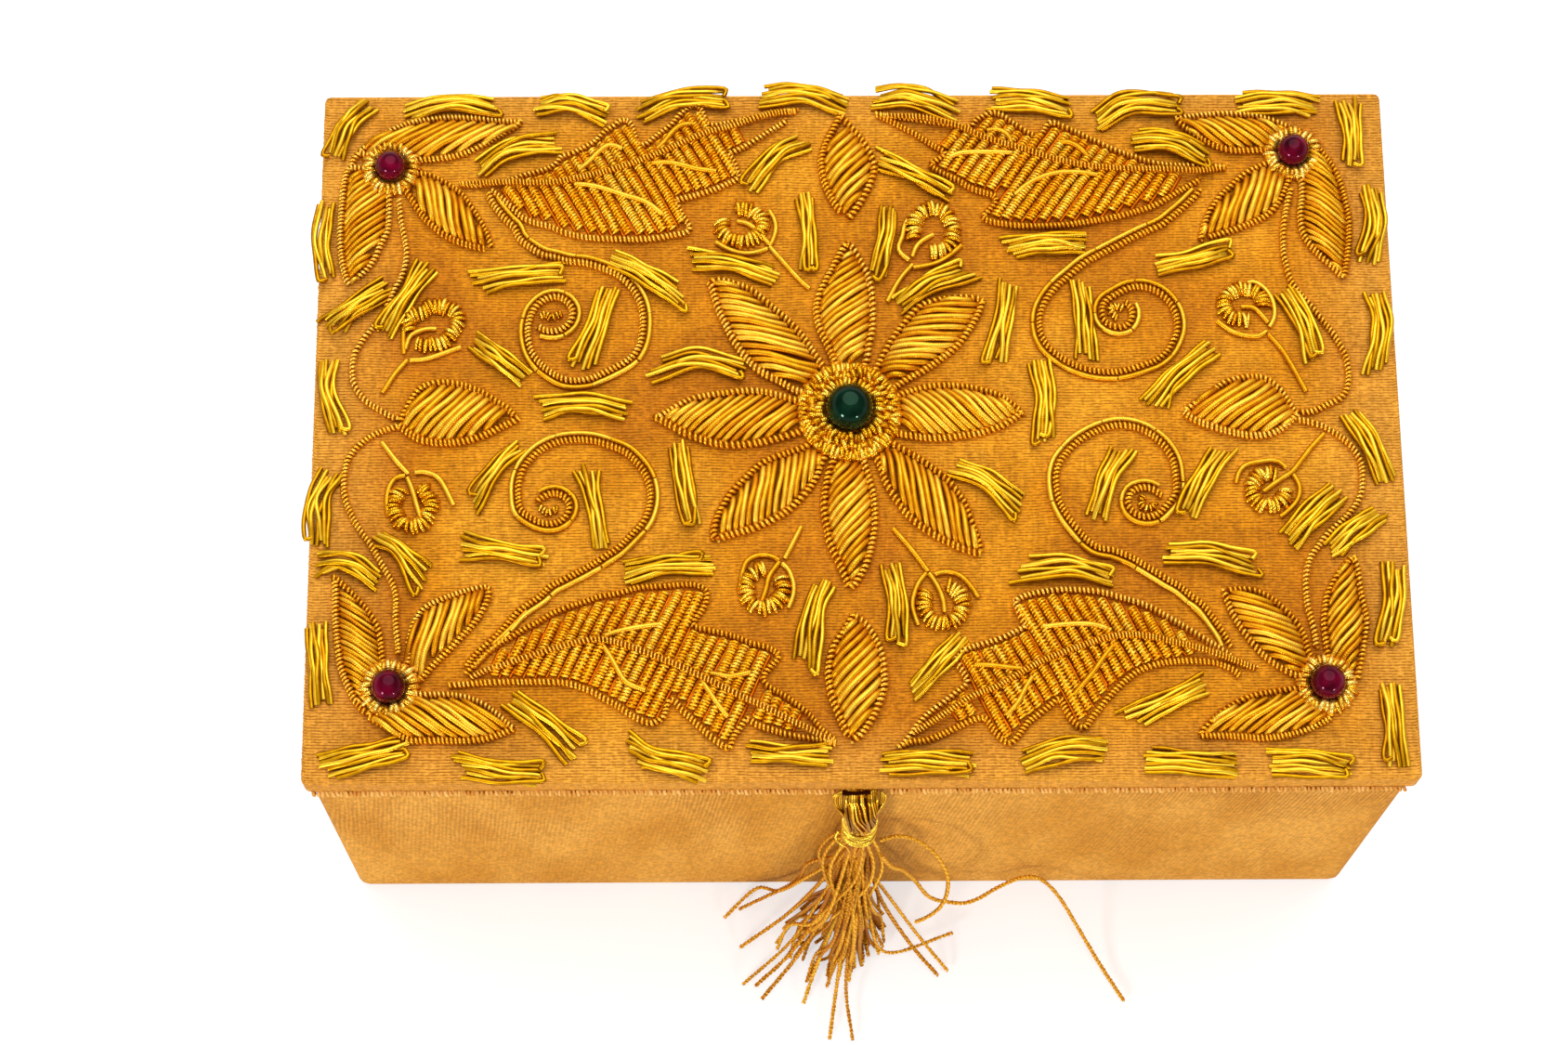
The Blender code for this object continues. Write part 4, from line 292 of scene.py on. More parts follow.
# Spiral vine of each leaf: coil, and the curl of cut wire at its middle.
SCROLLS = {
    "leaf_spray_back_left": (
        ((-34.3, 34.8), (-34, 33.5), (-33.3, 32), (-32.5, 30.5), (-31.8, 29.5), (-31.3, 27.8), (-30, 26.2),
         (-29, 25.3), (-28, 25), (-27, 24.5), (-26, 24.3), (-25, 24.1), (-24, 23.6), (-23, 23), (-22, 22.2),
         (-21, 20.8), (-20.4, 19.4), (-20, 18), (-19.8, 16.3), (-19.8, 14.5), (-20, 12.5), (-20.5, 10.8),
         (-21.3, 9.6), (-22.2, 8.8), (-23.5, 7.8), (-24.8, 7), (-26, 6.8), (-27, 7), (-28, 7.8), (-29, 9),
         (-29.8, 10.5), (-30.2, 12), (-30.4, 14), (-30.3, 15.5), (-30, 17), (-29.5, 18), (-28.7, 18.9),
         (-27.7, 19.1), (-26.8, 18.4), (-26.3, 17), (-26.5, 15.5), (-27, 14.7), (-27.8, 14.1),
         (-28.8, 14.2), (-29.5, 14.9)),
        ((-29.2, 16.4), (-28.7, 16.6), (-28.2, 16.1), (-27.6, 16.5), (-27.2, 16.8)),
    ),
    "leaf_spray_back_right": (
        ((32.5, 34.8), (31, 32.5), (30, 31.2), (28.7, 29.6), (27.5, 28.8), (26, 27.7), (24.5, 26.5),
         (23, 25.3), (22, 24.5), (21, 23.5), (20, 22.2), (19, 20.9), (18.2, 19.6), (17.5, 18), (17.1, 16.5),
         (17, 15), (17.1, 13.5), (17.5, 12), (18.2, 10.8), (19.1, 9.7), (20, 8.9), (21.2, 8.2), (22.5, 7.8),
         (24, 7.8), (25.3, 8.2), (26.5, 8.8), (27.7, 9.5), (28.7, 10.8), (29.3, 12.3), (29.7, 14),
         (29.7, 15.7), (29.4, 17.2), (28.8, 18.6), (28, 19.6), (27, 20.2), (26, 20.3), (25, 19.9),
         (24.2, 19.2), (23.4, 18.5), (22.9, 17.6), (22.8, 16.3), (23, 15.3), (23.6, 14.6), (24.4, 14.3),
         (25.1, 14.7), (25.5, 15.6), (25.6, 16.7), (25.3, 17.7), (25, 18.1)),
        ((24.7, 17.3), (24.2, 17.6), (23.7, 17.2), (23.6, 16.6), (24, 16), (24.4, 15.8)),
    ),
    "leaf_spray_front_left": (
        ((-35.5, -34), (-34.3, -31.8), (-33, -30), (-31.8, -28), (-31, -26.5), (-30, -25.3), (-29, -24.3),
         (-28, -22.8), (-27, -22), (-26, -21.2), (-25, -20.4), (-24, -19.5), (-23, -18.5), (-22, -17.5),
         (-21, -16), (-20.2, -14.7), (-19.5, -13.3), (-19.1, -11.5), (-19, -9.8), (-19.2, -8),
         (-19.7, -6.3), (-20.5, -4.8), (-21.3, -3.7), (-22.5, -2.9), (-23.8, -2.2), (-25, -1.9),
         (-26.2, -1.9), (-27.5, -2.2), (-28.7, -3), (-29.7, -4.2), (-30.6, -6), (-31, -8), (-31, -10),
         (-30.8, -11.8), (-30, -12.9), (-29, -13.7), (-27.9, -13.9), (-27, -13.3), (-26.4, -12),
         (-26.5, -10.7), (-27.2, -9.8), (-28, -9.6), (-28.9, -10.2), (-29.4, -10.8)),
        ((-29, -11.7), (-28.3, -12.2), (-27.7, -11.8), (-27.2, -11.9)),
    ),
    "leaf_spray_front_right": (
        ((33.3, -31.8), (32.8, -30), (32, -28), (31, -25.8), (30, -24.6), (29, -23.2), (28, -22.3),
         (27, -21.3), (26, -20.3), (25, -19.3), (24, -18.6), (23, -18), (22.2, -17.8), (21.5, -17.5),
         (20.7, -16.5), (20, -15.2), (19.3, -13.8), (18.7, -12.3), (18.3, -10.8), (18.1, -9), (18.1, -7.3),
         (18.4, -5.5), (19, -4.2), (19.8, -2.9), (20.8, -1.8), (21.8, -1), (22.8, -0.4), (24, -0.1),
         (25.2, -0.3), (26.3, -0.9), (27.2, -1.8), (28, -3), (28.6, -4.5), (28.9, -6), (29, -8), (29, -9.5),
         (28.7, -10.5), (28.1, -11.6), (27.3, -12.8), (26.5, -13.3), (25.7, -13.2), (25, -12.6),
         (24.6, -11.5), (24.7, -10.3), (25.1, -9.5), (25.9, -9.1), (26.6, -9.2), (27.2, -9.7),
         (27.7, -10.3)),
        ((26, -10.5), (25.7, -11.3), (26.2, -12), (26.9, -11.8), (26.8, -11)),
    ),
}

# Saw-edged leaves: name, back edge, front edge, midrib, four side veins, lay of the strands.
SAW_LEAVES = (
    ("leaf_spray_back_left",
     ((-36.8, 36.2), (-35.5, 36), (-34.5, 36.2), (-33, 36.5), (-32, 36.9), (-30.5, 37.7), (-29, 38.3),
      (-28, 39.3), (-27.5, 40.3), (-26.5, 40.8), (-25.5, 41.6), (-24.5, 42.5), (-24, 43.3), (-23.3, 44.3),
      (-22.5, 45.1), (-22, 45.8), (-21.2, 45.7), (-20.8, 44.5), (-20.5, 43), (-20.3, 42), (-19.5, 42.2),
      (-19, 42.9), (-18.3, 43.8), (-17.3, 45), (-16.5, 46.5), (-15.8, 47.5), (-15.2, 48.2), (-14.6, 48),
      (-14.2, 47), (-14, 46), (-13.8, 45.2), (-13, 45), (-12, 45.3), (-10.5, 45.8), (-9.5, 46.2),
      (-8, 46.6), (-6.5, 47.1), (-5.2, 47.1)),
     ((-34, 35.3), (-33, 33.9), (-32, 32.5), (-31, 31), (-30, 30.3), (-28.5, 29.7), (-27, 28.7), (-25, 28),
      (-23, 27.8), (-21, 27.7), (-19, 27.8), (-17.5, 28.2), (-15.7, 28.8), (-15.5, 29.8), (-16, 31),
      (-16.5, 32.5), (-16.9, 33.5), (-16.2, 33.8), (-15, 34.3), (-13.5, 35), (-12, 36), (-10.8, 37),
      (-11, 38), (-11.3, 39.5), (-11.8, 40.6), (-11.2, 41), (-10, 42), (-8.5, 43.5), (-7.5, 44.5),
      (-6.3, 45.7)),
     ((-37, 36.2), (-32, 36), (-30, 35.9), (-28, 36), (-26, 36.6), (-24, 37.3), (-22, 38.2), (-20, 39.3),
      (-18, 40.6), (-16, 42), (-14, 43.4), (-12, 44.2), (-10.5, 45), (-9, 45.8), (-7.5, 46.6),
      (-5.3, 47.2)),
     ((-25.8, 38), (-25, 39), (-24, 40.6), (-23.2, 41.6), (-22.5, 41.6), (-21.8, 41.2)),
     ((-18.5, 41.2), (-17.8, 42.2), (-17, 43.8), (-16.2, 44.7), (-15.2, 45)),
     ((-26.2, 35.9), (-24.5, 35.5), (-23, 34.8), (-21.5, 34), (-20, 33.3), (-19, 32.5), (-18, 31.2)),
     ((-19, 39), (-17.5, 39), (-16, 38.5), (-14.8, 38), (-13, 37.7)),
     119),
    ("leaf_spray_back_right",
     ((2.1, 46.6), (4, 46.2), (6, 45.8), (8, 45.3), (10.8, 44.6), (11.5, 45.6), (12.3, 46.3), (13.1, 46.8),
      (14, 46.4), (15, 45.3), (16, 44.2), (17.3, 43.1), (18, 44.2), (18.3, 45), (18.8, 45.3), (20, 44.5),
      (21, 43.8), (22, 43), (23.3, 42), (24.7, 40.9), (26, 40.2), (27.5, 39.3), (29, 38.8), (31, 38.6),
      (33, 38.5), (35, 38.4)),
     ((2.1, 46.6), (3.7, 45.4), (4.7, 44.5), (6, 43.4), (7.3, 42), (8.6, 40.5), (7.7, 39.5), (7.2, 38.7),
      (8.3, 37.5), (9.7, 36.5), (11, 35.2), (12.5, 34.4), (13.2, 34), (13.2, 33), (12.5, 31.8), (12, 31),
      (12.5, 30.3), (14, 29.8), (16, 29.5), (18, 29.5), (20, 29.7), (22, 30.2), (24, 30.7), (26, 31.5),
      (28, 32.5), (29.5, 33.8), (31, 35.2), (32.5, 36.5)),
     ((2.2, 46.5), (4, 46.2), (6, 45.8), (8, 45.2), (10, 44.3), (12, 42.8), (14, 41.7), (16, 40.8),
      (18, 39.7), (20, 38.8), (22, 38.2), (24, 37.9), (26, 37.7), (28, 37.7), (30, 37.6), (32, 37.5),
      (34, 38), (35, 38.3)),
     ((12.6, 43.8), (13.6, 43.8), (14.5, 43), (14.8, 41.9)),
     ((22, 39.7), (21.2, 41), (20.3, 41.8), (19.3, 42)),
     ((9, 39.8), (10, 40.3), (12, 40.4), (14.8, 40.4)),
     ((22.8, 37), (21, 37.3), (19, 37.2), (17.3, 36.4), (16, 35.3), (15, 34)),
     55),
    ("leaf_spray_front_right",
     ((3.2, -45.5), (3.4, -45.4), (4.2, -44), (5, -42.3), (6, -40.8), (7.2, -39.4), (8.5, -37.9),
      (9.5, -36.6), (9.2, -35.2), (8.7, -34), (8.4, -33), (9, -32.3), (10, -31.6), (11.5, -31), (13, -30.2),
      (14.3, -29.2), (14.9, -28.9), (14.5, -27.5), (14.2, -26), (14, -25.2), (14.5, -24.7), (15.5, -24.2),
      (17, -23.8), (18.5, -23.6), (20, -23.7), (21.5, -23.9), (23, -24.5), (24.5, -25.2), (26, -26),
      (27.5, -27.3), (29, -28.7), (30.5, -30.2), (32, -31.7), (33, -32.8), (34, -34)),
     ((3.2, -45.5), (4.3, -44.7), (5.5, -44.6), (7, -43.8), (8.5, -42.7), (10, -41.7), (11, -41.5),
      (11.7, -43), (12.5, -44.4), (13.2, -45), (14, -43.8), (14.9, -42), (16, -40.8), (17, -39.6),
      (17.8, -38.9), (18.3, -40.5), (18.9, -42), (19.8, -43), (20.5, -41.6), (21.3, -40.2), (22.2, -38.6),
      (23, -37.3), (24, -36), (25, -35), (26.5, -34.2), (28, -33.8), (30, -33.7), (32, -34), (33.5, -35),
      (34, -35.8)),
     ((4.5, -43.5), (6, -42.3), (8, -40.5), (10, -38.6), (12, -37.5), (14, -35.7), (16, -34), (18, -32.8),
      (20, -31.7), (22, -30.7), (24, -30.3), (26, -30.5), (28, -31.3), (30, -32), (32, -33), (34, -34),
      (35.5, -34.8)),
     ((22.5, -29.5), (21, -28.8), (19, -28.7), (16.5, -29)),
     ((15.2, -35), (13.5, -34.8), (11.5, -34.4), (10.2, -34.3)),
     ((22.7, -31.6), (21.7, -33.5), (20.6, -35.8), (19, -38.5)),
     ((15.3, -36), (14.7, -37.5), (13.9, -39.7), (12.9, -41.3)),
     117),
    ("leaf_spray_front_left",
     ((-35.5, -35), (-34.5, -33.5), (-33.5, -32), (-32.5, -30.8), (-31.3, -29.8), (-30.3, -28.8),
      (-29, -27.8), (-28, -26.8), (-26.5, -25.8), (-25, -25.1), (-23.5, -24.3), (-22, -23.9), (-20, -23.1),
      (-18, -22.9), (-16.5, -22.7), (-15, -22.7), (-13.9, -23.5), (-13.9, -25), (-14.3, -26.2),
      (-14.9, -27.5), (-15, -28.5), (-14, -29), (-12.5, -29.5), (-11, -30.2), (-9.8, -31), (-8.8, -31.3),
      (-7.6, -32.2), (-7.4, -33), (-8.2, -34.3), (-8.8, -35.6), (-8.5, -36.8), (-7, -38.2), (-5.5, -39.8),
      (-4.3, -41.6), (-3.6, -43), (-2.5, -44.3)),
     ((-37, -36.6), (-35, -36.4), (-33, -36.2), (-31, -36.2), (-29, -36.2), (-27, -36.3), (-25.5, -36.8),
      (-24, -37.7), (-23, -38.6), (-21.8, -39.6), (-20.8, -40.7), (-19.7, -41.6), (-18.8, -42),
      (-17.8, -41.2), (-17.5, -40), (-17.3, -39), (-16.8, -38.8), (-16.2, -40), (-15.3, -41.3),
      (-14.3, -42.8), (-13.4, -44), (-12.8, -44.7), (-11.9, -45.5), (-11.5, -44), (-11, -42.8),
      (-10.2, -41.4), (-9.5, -42.2), (-8, -43), (-6.5, -43.7), (-5, -44.1), (-4, -44.3), (-2.4, -44.9)),
     ((-35, -35.5), (-33.5, -34.5), (-32, -34), (-30, -33), (-28.5, -32.3), (-27, -31.6), (-25.5, -31),
      (-24, -30.6), (-22.5, -30.8), (-21, -31.5), (-19.5, -32.3), (-18, -33.3), (-16.5, -34.2),
      (-15, -35.3), (-13.5, -36.4), (-12, -37.6), (-10.5, -38.8), (-9, -39.8), (-7.5, -41), (-6, -42.2),
      (-4.5, -43.2), (-3.3, -44.2), (-2.3, -44.8)),
     ((-23, -30), (-22, -29.5), (-20.5, -29), (-18, -28.4)),
     ((-13.5, -35.3), (-12, -35.8), (-11.3, -35.7), (-10, -35.2)),
     ((-23.1, -31.5), (-22.3, -33.5), (-21.3, -36.2), (-20.5, -37), (-19.4, -37.6)),
     ((-14.3, -36.3), (-13.6, -38), (-12.8, -39.8), (-12, -41.3)),
     64),
)

# Rosettes: name, ring of cut wire, inner prong, two calyx prongs, stem.
ROSETTES = (
    ("rosette_left_back",
     ((-40.6, 12.3), (-38.8, 12.2), (-37.5, 13.7), (-36.8, 15.5), (-37.5, 17.3), (-39, 18), (-40.3, 17),
      (-41.5, 15.8), (-41.3, 14.3)),
     ((-41.7, 11.5), (-41.2, 13.5), (-39.9, 14.4), (-38.9, 14.5)),
     ((-41.8, 10.8), (-41.9, 13), (-41.8, 14.8), (-41.3, 16.2)),
     ((-41.2, 9.9), (-39.8, 10), (-38.2, 10.8), (-36.6, 11.8)),
     ((-41.5, 9.9), (-42.5, 8), (-43.7, 5.1))),
    ("rosette_left_front",
     ((-41.8, -9.1), (-42.3, -10.7), (-42.1, -12.6), (-41.4, -13.9), (-40.3, -14.1), (-39.4, -13.2),
      (-39, -11.5), (-39.3, -9.7), (-40.1, -8.5)),
     ((-41.2, -7.2), (-40.7, -9), (-40.3, -11), (-39.9, -13)),
     ((-41.4, -6.9), (-42.3, -7.3), (-42.9, -9), (-43, -11), (-42.8, -12.8)),
     ((-40.5, -6.5), (-39.7, -6.4), (-38.5, -7.1), (-37.8, -8.5), (-36.9, -11.2)),
     ((-43.6, -2.1), (-42.3, -4.7), (-41.1, -6.7))),
    ("rosette_back_left",
     ((-12.5, 30.3), (-12.3, 28.7), (-11.4, 27.6), (-10.2, 27.4), (-9.1, 28.3), (-8.7, 29.8), (-9, 31.3),
      (-10, 32.3), (-11.2, 32.3)),
     ((-11, 30.4), (-10, 30), (-9.2, 29), (-8.5, 27.8), (-8, 26.9)),
     ((-13, 27.3), (-12, 26.3), (-10.8, 25.6), (-9.5, 25.6), (-8.2, 26.3)),
     ((-8, 32), (-7.5, 30.5), (-7.4, 29), (-7.7, 27.5), (-8, 26.7)),
     ((-8, 26.6), (-6.6, 24), (-5.3, 21.7), (-4.3, 20.3))),
    ("rosette_back_right",
     ((7.1, 25.6), (8.3, 26.1), (9.1, 27.7), (9.1, 29.8), (8.5, 31.6), (7.3, 32.3), (6.1, 31.6),
      (5.5, 29.9), (5.5, 27.7)),
     ((5.3, 25), (5.8, 26.7), (6.8, 27.9), (7.3, 28.3)),
     ((5, 24.5), (4, 26), (4.4, 28), (4.6, 29.6), (4.9, 30.5)),
     ((5.4, 23.4), (6.5, 23.6), (7.6, 24), (8.7, 25), (9.9, 26.7)),
     ((5.3, 23.8), (4.3, 22), (3.6, 20.3), (2.9, 18.3))),
    ("rosette_front_left",
     ((-8.7, -20.3), (-9.7, -21), (-10.3, -22.5), (-10.2, -24.3), (-9.5, -25.6), (-8.4, -25.9),
      (-7.5, -25.1), (-7, -23.5), (-7.2, -21.8)),
     ((-7.3, -19.5), (-8.2, -21.5), (-8.5, -23.3), (-8.9, -25)),
     ((-7.3, -19.2), (-8.2, -18.6), (-9.3, -18.6), (-10.3, -19.5), (-10.7, -21.5), (-10.9, -23.5)),
     ((-7, -19.7), (-6.4, -20.8), (-6, -22.8), (-6.1, -24.5), (-6.5, -26)),
     ((-5.3, -14.5), (-6, -16.7), (-6.8, -19))),
    ("rosette_front_right",
     ((6, -23.9), (5.7, -25.6), (6.1, -27.2), (7, -28.2), (8.2, -28.1), (9.1, -26.9), (9.3, -25.2),
      (8.8, -23.6), (7.8, -22.8)),
     ((6.3, -21.2), (7, -23), (7.5, -25), (7.6, -26.7)),
     ((6, -21.2), (5.4, -22.3), (4.9, -24), (4.7, -26), (5.2, -28.5)),
     ((6.8, -21.3), (7.9, -21), (9, -21.5), (9.9, -22.8), (10.7, -24.6)),
     ((3.1, -14.8), (4.7, -17.8), (6.2, -20.9))),
    ("rosette_right_back",
     ((37.9, 17.4), (37.7, 18.9), (36.8, 19.9), (35.7, 20.1), (34.6, 19.3), (34.2, 17.9), (34.5, 16.4),
      (35.4, 15.5), (36.6, 15.5)),
     ((38.2, 15), (37.5, 16.3), (36.8, 17.2), (35.8, 17.3)),
     ((38.3, 14.3), (38.8, 15.7), (38.8, 17.7), (38.2, 19.7), (37.2, 21), (36.5, 20.9)),
     ((38, 13.7), (37.2, 12.9), (36, 13), (34.7, 13.7), (33.5, 15.2)),
     ((38.2, 13.2), (39.3, 11), (40.2, 8.5), (41.4, 4.8))),
    ("rosette_right_front",
     ((38.1, -7.2), (37.1, -7.1), (36.2, -8), (35.9, -9.4), (36.2, -10.8), (37.1, -11.7), (38.1, -11.6),
      (38.9, -10.6), (39.1, -9.2)),
     ((39.6, -7), (38.3, -8.3), (37, -9.7)),
     ((39.2, -6.3), (38.3, -5.3), (37, -5.4), (35.5, -5.9), (34.8, -7), (34.5, -8.5)),
     ((39.8, -7.3), (40.2, -8.5), (40.3, -9.8), (39.9, -11.3), (39, -12.7), (38.4, -13.3)),
     ((42.8, -1.4), (41.5, -3.5), (40.2, -6), (39.6, -7))),
)

# Dashes: start, middle and end of the bundle, spread of its start, spread of its end, strands less one.
DASHES = (
    ((-45.9, 48.2), (-47.7, 45), (-49, 40.5), None, None, 5),
    ((-42, 47), (-38, 48.4), (-34, 47.7), None, None, 5),
    ((-35, 38.6), (-32.5, 41.3), (-28, 42.3), None, ((-28.4, 43.9), (-27.6, 40.7)), 5),
    ((-49.4, 33), (-49.8, 28), (-49.2, 22.6), None, None, 4),
    ((-43.6, 20.5), (-46.3, 17.6), (-48.8, 14.7), None, ((-49.7, 16), (-47.5, 13.8)), 6),
    ((-39.7, 23.6), (-41.7, 19), (-43.7, 14.2), ((-38.9, 22.8), (-40.9, 24.6)), None, 5),
    ((-48.6, 9.3), (-48.7, 5), (-47.6, -0.3), None, None, 5),
    ((-35.7, 21.8), (-32, 22), (-27.3, 23), ((-36, 23.2), (-34.5, 19.9)), None, 5),
    ((-35.2, 12.6), (-33, 9.8), (-30.5, 7), None, None, 5),
    ((-48, -6.8), (-49.2, -10.5), (-49.2, -16.5), None, None, 6),
    ((-48.5, -19.3), (-46.5, -19.3), (-43.6, -22), ((-48.9, -17.9), (-48.9, -21.3)), None, 5),
    ((-43.8, -15.6), (-41.5, -18), (-39.2, -21.3), None, ((-38.6, -19.8), (-40.3, -23.8)), 4),
    ((-31, -2.7), (-33, -5.8), (-34.9, -10.3), None, ((-35.5, -9), (-34.5, -12)), 4),
    ((-36, -17.2), (-33, -18), (-28.8, -18.8), ((-36, -15), (-36, -19)), None, 5),
    ((-49, -28.5), (-48.7, -33), (-48.3, -39), None, None, 5),
    ((-48.5, -46.8), (-44, -46.5), (-40.8, -45.2), ((-48.9, -46), (-47, -49.3)), None, 6),
    ((-35.8, -47.5), (-32, -48.8), (-28.6, -48.9), ((-36.3, -45.8), (-35.3, -49.2)), None, 6),
    ((-31.3, -38.5), (-28.5, -42), (-25.8, -45), None, ((-25.2, -43.8), (-26.3, -47.5)), 5),
    ((-29.7, 48.3), (-27, 48.4), (-23.3, 47), None, ((-23.2, 48.3), (-23.2, 45)), 5),
    ((-20, 47), (-16.5, 48.8), (-12.2, 49), None, None, 6),
    ((-22.7, 25), (-19.8, 22.6), (-16.4, 19.3), None, ((-16.3, 21), (-16.3, 17)), 5),
    ((-15.5, 24.8), (-12, 24), (-7.6, 22.3), ((-15.6, 26.3), (-15, 23)), None, 5),
    ((-23, 20), (-24, 15), (-25, 9), None, ((-26.5, 9.8), (-24.3, 8.8)), 5),
    ((-18.3, 9.3), (-14.5, 9.8), (-10.8, 8.3), ((-18, 10.4), (-19.2, 6.6)), None, 5),
    ((-29.2, 3.6), (-25.5, 3.2), (-21.3, 2.3), ((-29.3, 4.5), (-28.5, 1.2)), None, 5),
    ((-25, -6), (-24.2, -10.5), (-23.5, -16.8), ((-26.2, -6), (-23.8, -6.3)), None, 4),
    ((-16.4, -2.8), (-16, -8), (-15.3, -13.4), None, None, 4),
    ((-21, -21), (-17.5, -20), (-13.7, -19.7), None, ((-14.3, -18.3), (-13.1, -21.3)), 6),
    ((-21, -44.6), (-18.3, -47), (-14, -48.6), ((-21, -42.8), (-20, -47.8)), None, 6),
    ((-10, -45.8), (-6.5, -46.5), (-2.8, -46.4), None, None, 5),
    ((-8.4, 49.3), (-4.8, 49.6), (-0.9, 47.9), None, None, 6),
    ((-5, 42), (-7.5, 40), (-9.7, 35.8), ((-4, 41.5), (-6, 43.2)), None, 5),
    ((-4.7, 34.3), (-4.4, 29.5), (-4.3, 24), None, None, 4),
    ((2.4, 39.5), (5.3, 37.5), (8.8, 34.9), ((2.6, 41.4), (2.6, 38)), None, 5),
    ((2.3, 49), (5.5, 49), (9.6, 47), None, None, 6),
    ((3.2, 32), (2.7, 27), (2, 22.3), None, None, 4),
    ((4.2, 17.8), (6.5, 20.3), (10.6, 22.3), None, ((9.2, 24), (11.3, 21.6)), 5),
    ((8.8, -6), (11.5, -7.8), (14.8, -11), None, ((15.2, -10), (13.8, -13.8)), 5),
    ((-3.3, -22.6), (-4.3, -27), (-4.8, -33.5), None, ((-5.9, -32.7), (-3.8, -34.5)), 5),
    ((2.8, -20.3), (3.3, -25), (3.3, -30.5), None, None, 5),
    ((9, -30.6), (7.3, -33.5), (4.5, -37.8), None, ((4.3, -36.7), (4.6, -39.3)), 5),
    ((2.2, -47.6), (6, -47.7), (9.7, -47.9), ((2.2, -46.2), (2, -49)), None, 6),
    ((13.2, 48.8), (16.5, 48.6), (20, 47.5), None, None, 6),
    ((23, 45.6), (26, 47.9), (30.7, 48.1), None, None, 6),
    ((26.5, 42.5), (29.5, 42.3), (33, 40), None, None, 6),
    ((13.6, 26.8), (17.5, 26.7), (21.3, 27), ((13.5, 27.8), (15.2, 24.8)), None, 6),
    ((28.2, 23.5), (31.5, 24.3), (34.8, 25.7), ((28.1, 24.9), (28.6, 22.2)), None, 5),
    ((14.2, 20.8), (13.6, 15), (12.4, 9.6), None, ((11.4, 9.5), (13.8, 10)), 5),
    ((20.9, 20.8), (21.1, 15.5), (21.3, 10), None, ((20.3, 10.3), (22.3, 9.8)), 5),
    ((16.9, 9.3), (17.2, 4), (17, -1.7), None, ((16, -1.9), (18, -1.5)), 5),
    ((32.6, 11), (29.5, 7), (27, 3), None, ((25.8, 3.6), (28.5, 2.4)), 5),
    ((24.5, -3.8), (22.7, -8), (21.7, -13), ((23, -3.9), (25.5, -3.6)), None, 5),
    ((33.2, -3.5), (31.5, -8), (30, -12.6), ((32.2, -3.7), (34.6, -4)), None, 5),
    ((15, -20.5), (18.7, -20.3), (22.5, -21.8), ((15.6, -19), (14, -22.5)), None, 5),
    ((28, -18.4), (31.5, -18.8), (35.3, -19.8), None, ((35.5, -18.3), (35.5, -22)), 5),
    ((30.8, -36.8), (27.5, -39.3), (24, -41.2), None, ((23, -40.5), (25.4, -42.5)), 5),
    ((14.3, -47), (18, -46), (21.6, -45.8), ((14.7, -45.9), (14.2, -49.3)), None, 6),
    ((25.5, -47.3), (29, -47.9), (33, -48.3), None, None, 6),
    ((36.6, 48), (40, 48.2), (43.7, 47.8), None, ((43.7, 49), (43.5, 46.2)), 6),
    ((46.7, 48.6), (47, 44), (47, 39.2), ((45.6, 48.3), (48, 48.5)), None, 5),
    ((48.5, 34.8), (48.7, 30), (48, 24.5), None, ((46.7, 24.8), (48.7, 24.3)), 5),
    ((39.9, 19.9), (41.3, 15.5), (42.3, 10), None, None, 5),
    ((48.3, 19), (48.6, 14.5), (47.8, 8.5), None, ((46.7, 7.5), (48.8, 8.8)), 5),
    ((45.4, 1.3), (46.9, -3), (48.1, -8), None, None, 5),
    ((43.8, -10), (41.5, -13), (39.2, -16.5), None, None, 6),
    ((47.4, -13), (45, -15.5), (43, -18), None, None, 5),
    ((48.4, -20.7), (48.2, -26), (47.4, -31), None, None, 5),
    ((47.4, -37.2), (47.5, -43), (47.6, -47.8), None, ((46.4, -47.8), (48.8, -48.2)), 5),
    ((36.5, -47), (40, -48), (43.3, -48.6), ((36, -45.8), (37, -49.5)), None, 6),
)

# Skirt of the tassel, in millimetres: courses of its threads that show, below the neck.
SKIRT_ENDS = (
    ((-6.2, -54, 24), (-10.8, -53.3, 9), (-14.4, -51.7, 3), (-19.3, -55.7, 0.5)),
    ((-5.6, -55.5, 22), (-10, -56.5, 6), (-16.9, -60.3, 0.5)),
    ((-5, -57, 20), (-9.6, -60.5, 4), (-16.5, -66, 0.5)),
    ((-4, -58.5, 18), (-8.5, -62.5, 3), (-13.6, -68.2, 0.5)),
    ((-4.6, -58, 19), (-9.5, -62, 3.4), (-14.6, -66.4, 1.3)),
    ((-2.6, -59, 16), (-5.3, -63.6, 3), (-7.3, -68.9, 0.5)),
    ((-1.2, -59.4, 16), (-2.2, -66, 2.6), (-3.4, -74.4, 0.5)),
    ((-0.4, -59.6, 15), (-0.9, -66.8, 2.6), (0.1, -74.6, 0.5)),
    ((3.6, -56.2, 20), (8.6, -60.2, 4), (13.2, -64.8, 0.5)),
    ((4.2, -55.6, 21), (9.9, -59.2, 4.6), (14.7, -64.1, 0.5)),
    ((2.4, -58.2, 15), (5.4, -61.6, 2.4), (15.5, -58.4, 1.4)),
    ((-6.6, -53.6, 30), (-8.6, -53, 14), (-17, -54.4, 0.7)),
)
